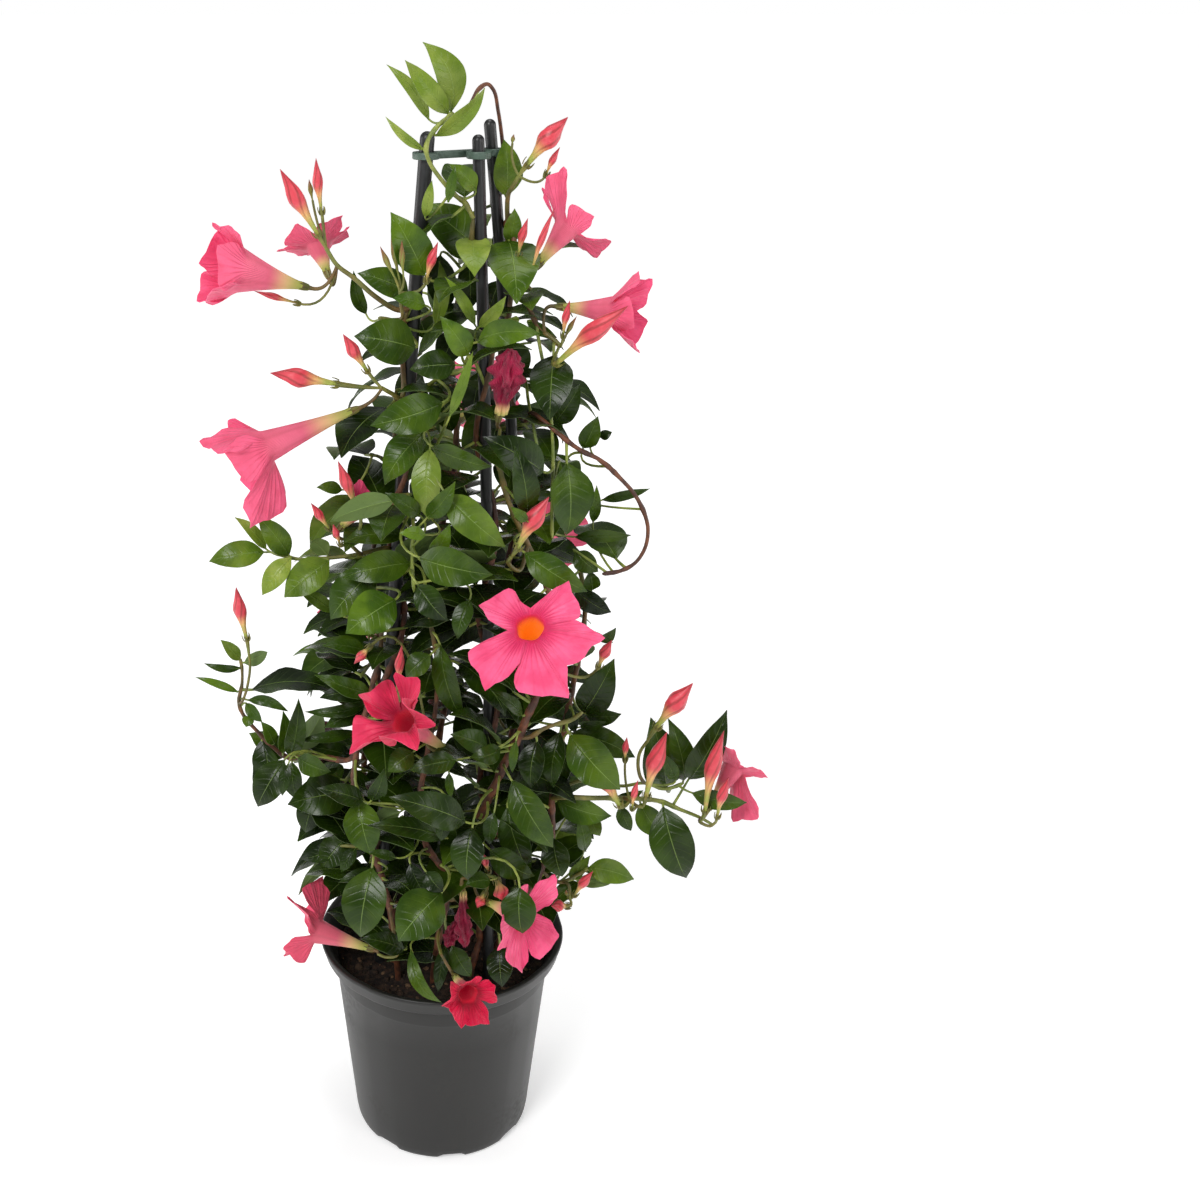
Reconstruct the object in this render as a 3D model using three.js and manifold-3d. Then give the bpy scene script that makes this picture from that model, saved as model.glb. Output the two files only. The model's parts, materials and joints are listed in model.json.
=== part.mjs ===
// A climbing mandevilla in its nursery pot: pot, soil, three canes with a clip, twining vines with their
// leaves, bud sprays and trumpet blooms. Millimetres, +Z up, origin at the middle of the pot's underside.
import * as THREE from "three";
import { mergeVertices } from "three/addons/utils/BufferGeometryUtils.js";
import Module from "manifold-3d";

const wasm = await Module();
wasm.setup();

// ---------------------------------------------------------------- driving sizes, mm
const POT = {
  rimRadius: 85, // outside of the rolled lip: a standard 17 cm nursery pot
  height: 152,
  baseRadius: 62.2,
  collarRadius: 75.5, // body just under the lip
  lipDrop: 11, // height of the flared lip
  lipSlope: 3, // the collar ends this far under the lip
  lipFoot: 2.5, // the lip's foot, its widest line, its top edge and its inner edge, in from the rim
  lipWidest: 0.6,
  lipTop: 1.8,
  lipInner: 5.5,
  lipRound: 2,
  wall: 1.8,
  floor: 2.2,
  floorRounding: 4,
  footRounding: 5,
  sides: 32,
  notches: 8, // drain notches round the foot
  notchWidth: 15,
  notchHeight: 4,
  notchTurn: 0.11,
};
const SOIL = {
  drop: 17, crown: 4, crownShare: 0.55, gap: 0.35, sideGap: 0.6, cornerGap: 0.7, footGap: 0.8,
    holeGap: 0.5,
  holeEase: 0.4, holeLength: 60, holeSides: 6,
};
const CANE_SIDES = 8;
const CANE_TIP = { back: 0.6, radius: 0.5 }; // a cane's rounded top, as shares of its radius
const CANES = {
  // axis from the foot in the soil to the rounded top
  cane_left: { radius: 4.2, foot: [-46, -18, 12], knee: [-34, -18, 330], top: [-7.7, -12, 687] },
  cane_front: { radius: 3.5, foot: [31, -38, 12], knee: [30, -30, 330], top: [20.3, -8, 685] },
  cane_back: { radius: 3.5, foot: [46, 20, 12], knee: [52, 20, 330], top: [27, 9, 692] },
};
const CLIP = { height: 674, thick: 4, ringWidth: 3, barWidth: 5, clearance: 0.5, curveSegments: 4 };
const BLADE = 0.7; // leaf blade thickness
const PETAL = 0.8;
const MEET = 0.35; // gap between pieces that touch
const SLIVER = 0.15;

// ---------------------------------------------------------------- front elevation set-out
// Stems, leaves and flowers are set out on a front elevation drawn in perspective. A mark is
// [across, down, front]: two distances on a drawing of 1200 units, and how far the mark stands toward
// the viewer from the pot's middle, in mm.
const VIEW = { eye: [0, -853, 751], pitch: 0.39, focal: 1444, across: 441.8, down: 600 };

function vec(p) {
  return new THREE.Vector3(...p);
}

function mark(across, down, front) {
  const side = (across - VIEW.across) / VIEW.focal;
  const rise = (VIEW.down - down) / VIEW.focal;
  const ray = new THREE.Vector3(
    side,
    Math.cos(VIEW.pitch) + rise * Math.sin(VIEW.pitch),
    rise * Math.cos(VIEW.pitch) - Math.sin(VIEW.pitch),
  );
  const eye = vec(VIEW.eye);
  return eye.addScaledVector(ray, (-front - VIEW.eye[1]) / ray.y);
}

// Size in mm of one drawing unit at a point.
function unitAt(point) {
  const away = point.clone().sub(vec(VIEW.eye));
  return (away.y * Math.cos(VIEW.pitch) - away.z * Math.sin(VIEW.pitch)) / VIEW.focal;
}

// The bush's outside: its radius by height, and its middle, which leans a little to the right.
const GIRTH = [
  [120, 60], [190, 95], [240, 112], [300, 112], [380, 102], [450, 90], [520, 76], [600, 56], [680, 34],
    [740, 10],
];
const LEAN = 12 / 680;

function girth(z) {
  if (z <= GIRTH[0][0]) return GIRTH[0][1];
  for (let i = 1; i < GIRTH.length; i++) {
    const [z0, r0] = GIRTH[i - 1];
    const [z1, r1] = GIRTH[i];
    if (z <= z1) return r0 + ((r1 - r0) * (z - z0)) / (z1 - z0);
  }
  return GIRTH.at(-1)[1];
}

// A mark whose front is given as a share of the bush's depth there: 1 on its skin, 0 in its middle.
function markInBush(across, down, layer, lean = 0) {
  let front = 0;
  for (let pass = 0; pass < 4; pass++) {
    const at = mark(across, down, front);
    const dx = at.x - LEAN * at.z;
    const deep = Math.sqrt(Math.max(girth(at.z) ** 2 - dx * dx, 0));
    front = layer * deep;
  }
  return mark(across, down, front + lean);
}

// A draw between 0 and 1 that depends only on its seed.
function draw(seed) {
  let t = (seed * 2654435761 + 0x6d2b79f5) | 0;
  t = Math.imul(t ^ (t >>> 15), t | 1);
  t ^= t + Math.imul(t ^ (t >>> 7), t | 61);
  return ((t ^ (t >>> 14)) >>> 0) / 4294967296;
}

// ---------------------------------------------------------------- solids
function meshGeometry(points, faces) {
  const flat = points.flatMap((p) => [p.x, p.y, p.z]);
  return new THREE.BufferGeometry()
    .setAttribute("position", new THREE.Float32BufferAttribute(flat, 3))
    .setIndex(faces.flat());
}

function solidOf(geometry) {
  const bare = geometry.clone();
  bare.deleteAttribute("normal");
  bare.deleteAttribute("uv");
  const merged = mergeVertices(bare, 1e-3);
  return new wasm.Manifold(
    new wasm.Mesh({
      numProp: 3,
      vertProperties: new Float32Array(merged.attributes.position.array),
      triVerts: new Uint32Array(merged.index.array),
    }),
  );
}

function geometryOf(solid) {
  const mesh = solid.getMesh();
  const positions = new Float32Array(mesh.numVert * 3);
  for (let i = 0; i < mesh.numVert; i++) {
    positions.set(mesh.vertProperties.subarray(i * mesh.numProp, i * mesh.numProp + 3), i * 3);
  }
  return new THREE.BufferGeometry()
    .setAttribute("position", new THREE.BufferAttribute(positions, 3))
    .setIndex(new THREE.BufferAttribute(new Uint32Array(mesh.triVerts), 1));
}

// Points on a surface and its triangles made into a thin closed body, alike on both faces.
function thicken(points, faces, thickness) {
  const normals = points.map(() => new THREE.Vector3());
  const ab = new THREE.Vector3();
  const ac = new THREE.Vector3();
  for (const [a, b, c] of faces) {
    ab.subVectors(points[b], points[a]);
    ac.subVectors(points[c], points[a]);
    ab.cross(ac);
    for (const i of [a, b, c]) normals[i].add(ab);
  }
  const half = (i) => (Array.isArray(thickness) ? thickness[i] : thickness) / 2;
  const upper = points.map((p, i) => p.clone().addScaledVector(normals[i].normalize(), half(i)));
  const lower = points.map((p, i) => p.clone().addScaledVector(normals[i], -half(i)));
  const n = points.length;
  const edges = new Set(faces.flatMap(([a, b, c]) => [`${a},${b}`, `${b},${c}`, `${c},${a}`]));
  const walls = [];
  for (const [a, b, c] of faces) {
    for (const [i, j] of [[a, b], [b, c], [c, a]]) {
      if (!edges.has(`${j},${i}`)) walls.push([n + i, n + j, j], [n + i, j, i]);
    }
  }
  const under = faces.map(([a, b, c]) => [n + a, n + c, n + b]);
  return meshGeometry([...upper, ...lower], [...faces, ...under, ...walls]);
}

// Triangles between two rows of points, each row running from left to right.
function lace(from, to) {
  const faces = [];
  let i = 0;
  let j = 0;
  while (i < from.length - 1 || j < to.length - 1) {
    const alongFrom = (i + 1) / (from.length - 1 || 1);
    const alongTo = (j + 1) / (to.length - 1 || 1);
    if (j === to.length - 1 || (i < from.length - 1 && alongFrom <= alongTo)) {
      faces.push([from[i], from[i + 1], to[j]]);
      i++;
    } else {
      faces.push([from[i], to[j + 1], to[j]]);
      j++;
    }
  }
  return faces;
}

// A closed tube through the points, with a radius at each, on frames carried along without twist.
function tube(points, radii, sides) {
  const tangents = points.map((p, i) =>
    new THREE.Vector3()
      .subVectors(points[Math.min(i + 1, points.length - 1)], points[Math.max(i - 1, 0)])
      .normalize(),
  );
  const seed = Math.abs(tangents[0].z) < 0.9 ? new THREE.Vector3(0, 0, 1) : new THREE.Vector3(1, 0, 0);
  let normal = new THREE.Vector3().crossVectors(tangents[0], seed).normalize();
  const turn = new THREE.Quaternion();
  const rings = points.map((p, i) => {
    if (i) normal = normal.clone().applyQuaternion(turn.setFromUnitVectors(tangents[i - 1], tangents[i]));
    const across = new THREE.Vector3().crossVectors(tangents[i], normal);
    return Array.from({ length: sides }, (_, k) => {
      const angle = (2 * Math.PI * k) / sides;
      return p
        .clone()
        .addScaledVector(normal, radii[i] * Math.cos(angle))
        .addScaledVector(across, radii[i] * Math.sin(angle));
    });
  });
  const faces = [];
  for (let i = 0; i < rings.length - 1; i++) {
    for (let k = 0; k < sides; k++) {
      const a = i * sides + k;
      const b = i * sides + ((k + 1) % sides);
      faces.push([a, b, b + sides], [a, b + sides, a + sides]);
    }
  }
  const last = (rings.length - 1) * sides;
  for (let k = 1; k < sides - 1; k++) {
    faces.push([0, k + 1, k], [last, last + k, last + k + 1]);
  }
  return meshGeometry(rings.flat(), faces);
}

function curvePoints(points, pieces) {
  return new THREE.CatmullRomCurve3(points, false, "centripetal").getPoints(pieces);
}

function taper(from, to, count) {
  return Array.from({ length: count }, (_, i) => from + ((to - from) * i) / (count - 1));
}

// ---------------------------------------------------------------- pot, soil, canes, clip
function potSolid() {
  const { rimRadius, height, baseRadius, collarRadius, lipDrop, wall, floor, footRounding, sides } = POT;
  const lipFoot = height - lipDrop;
  const profile = [
    [0, 0],
    [baseRadius - footRounding, 0],
    [baseRadius, footRounding],
    [collarRadius, lipFoot - POT.lipSlope],
    [rimRadius - POT.lipFoot, lipFoot],
    [rimRadius - POT.lipWidest, height - POT.lipRound],
    [rimRadius - POT.lipTop, height],
    [rimRadius - POT.lipInner, height - POT.lipRound],
    [collarRadius - wall, lipFoot - POT.lipSlope],
    [baseRadius - wall, footRounding + floor],
    [baseRadius - wall - POT.floorRounding, floor],
    [0, floor],
  ].map(([r, z]) => new THREE.Vector2(r, z));
  let pot = solidOf(new THREE.LatheGeometry(profile, sides).rotateX(Math.PI / 2));
  for (let k = 0; k < POT.notches; k++) {
    const notch = new THREE.BoxGeometry(footRounding * 2, POT.notchWidth, POT.notchHeight * 2);
    notch.translate(baseRadius - 1, 0, 0);
    notch.rotateZ(-Math.PI / 2 + POT.notchTurn + (2 * Math.PI * k) / POT.notches);
    pot = pot.subtract(solidOf(notch));
  }
  return pot;
}

function potInnerRadius(z) {
  const { baseRadius, collarRadius, footRounding, floor, height, lipDrop, wall } = POT;
  const low = footRounding + floor;
  const high = height - lipDrop - POT.lipSlope;
  return baseRadius - wall + ((collarRadius - baseRadius) * (z - low)) / (high - low);
}

function soilSolid(holes) {
  const top = POT.height - SOIL.drop;
  const low = POT.floor + SOIL.gap;
  const profile = [
    [0, low],
    [POT.baseRadius - POT.wall - POT.floorRounding - SOIL.footGap, low],
    [potInnerRadius(POT.footRounding + POT.floor) - SOIL.cornerGap,
      POT.footRounding + POT.floor + SOIL.holeEase],
    [potInnerRadius(top) - SOIL.sideGap, top],
    [potInnerRadius(top) * SOIL.crownShare, top + SOIL.crown],
    [0, top + SOIL.crown],
  ].map(([r, z]) => new THREE.Vector2(r, z));
  let soil = solidOf(new THREE.LatheGeometry(profile, POT.sides).rotateX(Math.PI / 2));
  for (const hole of holes) soil = soil.subtract(hole);
  return soil;
}

function caneAxis(name) {
  const { foot, knee, top } = CANES[name];
  return new THREE.QuadraticBezierCurve3(
    vec(foot),
    // the middle control point that puts the knee on the curve
    vec(knee).multiplyScalar(2).addScaledVector(vec(foot), -0.5).addScaledVector(vec(top), -0.5),
    vec(top),
  );
}

function caneAt(name, z) {
  const axis = caneAxis(name);
  let low = 0;
  let high = 1;
  for (let i = 0; i < 40; i++) {
    const middle = (low + high) / 2;
    if (axis.getPoint(middle).z < z) low = middle;
    else high = middle;
  }
  return axis.getPoint(low);
}

function caneSolid(name, grow = 0) {
  const radius = CANES[name].radius + grow;
  const axis = caneAxis(name);
  const points = axis.getPoints(4);
  const end = points.at(-1);
  const radii = points.map(() => radius);
  points[0].z -= grow;
  points.splice(-1, 1, end.clone().addScaledVector(axis.getTangent(1), -radius * CANE_TIP.back));
  points.push(end);
  radii.push(radius * CANE_TIP.radius);
  return solidOf(tube(points, radii, CANE_SIDES));
}

function clipSolid() {
  const { height, thick, ringWidth, barWidth, clearance } = CLIP;
  const seats = Object.keys(CANES).map((name) => caneAt(name, height));
  const slab = (shape) => {
    const flat = { depth: thick, bevelEnabled: false, curveSegments: CLIP.curveSegments };
    return solidOf(new THREE.ExtrudeGeometry(shape, flat).translate(0, 0, height - thick / 2));
  };
  let clip = null;
  Object.keys(CANES).forEach((name, i) => {
    const ring = new THREE.Shape();
    ring.absarc(seats[i].x, seats[i].y, CANES[name].radius + clearance + ringWidth, 0, 2 * Math.PI);
    const piece = slab(ring);
    clip = clip ? clip.add(piece) : piece;
  });
  for (const [a, b] of [[0, 2], [1, 2]]) {
    const along = new THREE.Vector2(seats[b].x - seats[a].x, seats[b].y - seats[a].y);
    const side = new THREE.Vector2(-along.y, along.x).setLength(barWidth / 2);
    const bar = new THREE.Shape([
      new THREE.Vector2(seats[a].x + side.x, seats[a].y + side.y),
      new THREE.Vector2(seats[a].x - side.x, seats[a].y - side.y),
      new THREE.Vector2(seats[b].x - side.x, seats[b].y - side.y),
      new THREE.Vector2(seats[b].x + side.x, seats[b].y + side.y),
    ]);
    clip = clip.add(slab(bar));
  }
  for (const name of Object.keys(CANES)) clip = clip.subtract(caneSolid(name, clearance));
  return clip;
}

// ---------------------------------------------------------------- stems
// The vines that rise from the soil. One with a cane twines round it from z[0] to z[1]. A free one
// runs through its marks.
const VINES = {
  vine_left: { cane: "cane_left", foot: [-34, -20], z: [165, 590],
    turns: 3.6, phase: 0.3, r: [2.3, 1.5] },
  vine_front: { cane: "cane_front", foot: [20, -38], z: [165, 640],
    turns: 4.2, phase: 2.6, r: [2.3, 1.4] },
  vine_back: { cane: "cane_back", foot: [40, 30], z: [165, 648], turns: 3.8, phase: 3.4, r: [2.3, 1.5] },
  vine_centre: {
    foot: [6, -16],
    r: [2.5, 1.5],
    marks: [
      [466, 880, 30], [472, 838, 46], [484, 808, 60], [497, 780, 68], [508, 756, 74], [519, 737, 78],
      [527, 717, 80], [536, 698, 78], [549, 668, 66], [556, 630, 52], [548, 590, 46], [528, 545, 42],
      [508, 500, 40], [496, 452, 36],
    ],
  },
  vine_low_right: {
    foot: [34, -26],
    r: [2.4, 1.4],
    marks: [
      [522, 905, 44], [541, 870, 50], [551, 838, 52], [552, 797, 50], [558, 760, 42], [566, 718, 36],
      [574, 680, 30], [582, 640, 26], [585, 600, 22], [578, 560, 18],
    ],
  },
  vine_low_left: {
    foot: [-30, -40],
    r: [2.2, 1.2],
    marks: [
      [389, 905, 54], [380, 872, 54], [366, 830, 56], [354, 790, 58], [358, 745, 58], [371, 690, 56],
      [381, 645, 48], [378, 600, 42], [368, 565, 38],
    ],
  },
  vine_low_front: {
    foot: [-6, -46],
    r: [2.2, 1.1],
    marks: [
      [441, 925, 62], [447, 898, 68], [446, 872, 72], [436, 860, 73], [425, 842, 72], [420, 800, 68],
      [426, 760, 62], [434, 720, 58], [437, 690, 54], [436, 655, 50], [430, 620, 46], [424, 580, 44],
    ],
  },
  vine_rear: {
    foot: [2, 40],
    r: [2.4, 1.4],
    marks: [
      [446, 870, -46], [436, 770, -48], [450, 660, -44], [438, 560, -42], [456, 450, -34],
        [452, 350, -26],
      [462, 270, -20],
    ],
  },
  vine_rear_left: {
    foot: [-34, 22],
    r: [2.2, 1.3],
    marks: [[376, 860, -28], [364, 760, -34], [380, 660, -30], [372, 560, -24], [392, 470, -22],
      [396, 390, -16]],
  },
};
// Side stems set out by hand: each grows from the nearest point of its parent.
const SIDE_STEMS = {
  top_stem: {
    parent: "vine_front", r: [1.3, 1.0],
    marks: [[465, 203, 14], [455, 195, 20], [440, 178, 24], [430, 163, 26], [426, 150, 26],
      [429, 138, 24], [437, 127, 21], [446, 119, 16], [452, 113, 12]],
  },
  arch: {
    parent: "vine_back", r: [1.3, 0.9],
    marks: [[504, 190, -14], [503, 150, -21], [501, 130, -20], [498, 110, -12], [494, 91, -5],
      [487, 84, -2], [478, 90, 0], [470, 104, 2], [462, 112, 2]],
  },
  right_stem: {
    parent: "vine_back", r: [1.6, 1.1],
    marks: [[511, 216, -3], [514, 235, 0], [513, 262, 6], [520, 290, 10], [530, 310, 14], [538, 326, 16],
      [552, 338, 18], [560, 347, 20]],
  },
  hanging_long: {
    parent: "right_stem", r: [1.1, 0.9],
    marks: [[538, 336, 18], [548, 390, 28], [553, 450, 36], [552, 500, 42], [552, 540, 46]],
  },
  hanging_short: { parent: "vine_back", r: [1.1, 0.9], marks: [[522, 375, 0], [529, 405, 22],
    [538, 450, 34]] },
  woody_loop: {
    parent: "vine_back", r: [1.4, 1.1],
    marks: [
      [522, 420, 4], [532, 413, 26], [546, 423, 36], [560, 435, 40], [580, 450, 42], [600, 460, 40],
        [620, 478, 38],
      [635, 495, 36], [645, 515, 34], [648, 530, 34], [645, 548, 35], [635, 563, 36], [620, 571, 38],
        [602, 574, 38],
    ],
  },
  left_sprig: { parent: "vine_left", r: [1.5, 0.9], marks: [[388, 548, 16], [360, 554, 24],
    [329, 558, 27], [298, 559, 27], [270, 552, 27]] },
  low_left_sprig: {
    parent: "vine_low_left", r: [1.7, 0.8],
    marks: [[348, 760, 50], [322, 757, 44], [300, 757, 38], [287, 757, 36], [273, 747, 36],
      [257, 731, 36], [244, 716, 36], [239, 703, 36], [242, 684, 36], [242, 669, 36], [240, 658, 36]],
  },
  right_branch: {
    parent: "vine_low_right", r: [1.9, 0.9],
    marks: [[562, 797, 58], [590, 798, 60], [621, 798, 62], [659, 801, 62], [679, 809, 62],
      [701, 818, 62], [713, 825, 62]],
  },
  right_branch_upper: {
    parent: "vine_low_right", r: [1.3, 0.9],
    marks: [[565, 787, 50], [580, 781, 50], [600, 782, 52], [622, 786, 54], [645, 783, 56],
      [665, 789, 56], [684, 783, 56]],
  },
  right_cluster: { parent: "vine_centre", r: [1.4, 1.0], marks: [[530, 737, 78], [543, 729, 80],
    [557, 724, 78], [571, 720, 76], [583, 712, 74]] },
  low_right_twig: { parent: "vine_low_right", r: [1.2, 0.8], marks: [[552, 880, 52], [562, 882, 56],
    [573, 877, 58], [590, 868, 58]] },
  low_left_twig: { parent: "vine_low_left", r: [1.2, 0.9], marks: [[368, 850, 52], [352, 846, 48],
    [340, 846, 44]] },
  centre_pale: { parent: "vine_front", r: [1.1, 0.9], marks: [[470, 355, 20], [461, 385, 30],
    [450, 412, 36], [440, 440, 42]] },
  left_pale: { parent: "vine_left", r: [1.1, 0.9], marks: [[404, 496, 22], [413, 520, 44],
    [412, 560, 54], [414, 592, 56]] },
  rear_stem: { parent: "vine_rear", r: [1.4, 1.0], marks: [[462, 600, -52], [490, 588, -60],
    [515, 580, -64]] },
  upper_twig: { parent: "vine_left", r: [1.2, 0.9], marks: [[405, 330, 18], [392, 320, 24],
    [378, 318, 26]] },
};
// Side stems by rule: from a vine, every step of height, out to a share of the bush's radius.
const SHOOTS = [
  { vine: "vine_left", z: [240, 560], step: 100, reach: 0.6 },
  { vine: "vine_back", z: [205, 600], step: 78, reach: 0.64 },
  { vine: "vine_rear", z: [195, 590], step: 46, reach: 0.68 },
  { vine: "vine_rear_left", z: [190, 500], step: 52, reach: 0.68 },
];
const SHOOT = {
  r: [1.2, 0.9], rise: 20, riseLeast: 0.7, riseMore: 0.6, sag: 3, swing: [0.5, 0.8],
  tries: [0, 25, -25, 50, -50, 80, -80],
};

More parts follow.
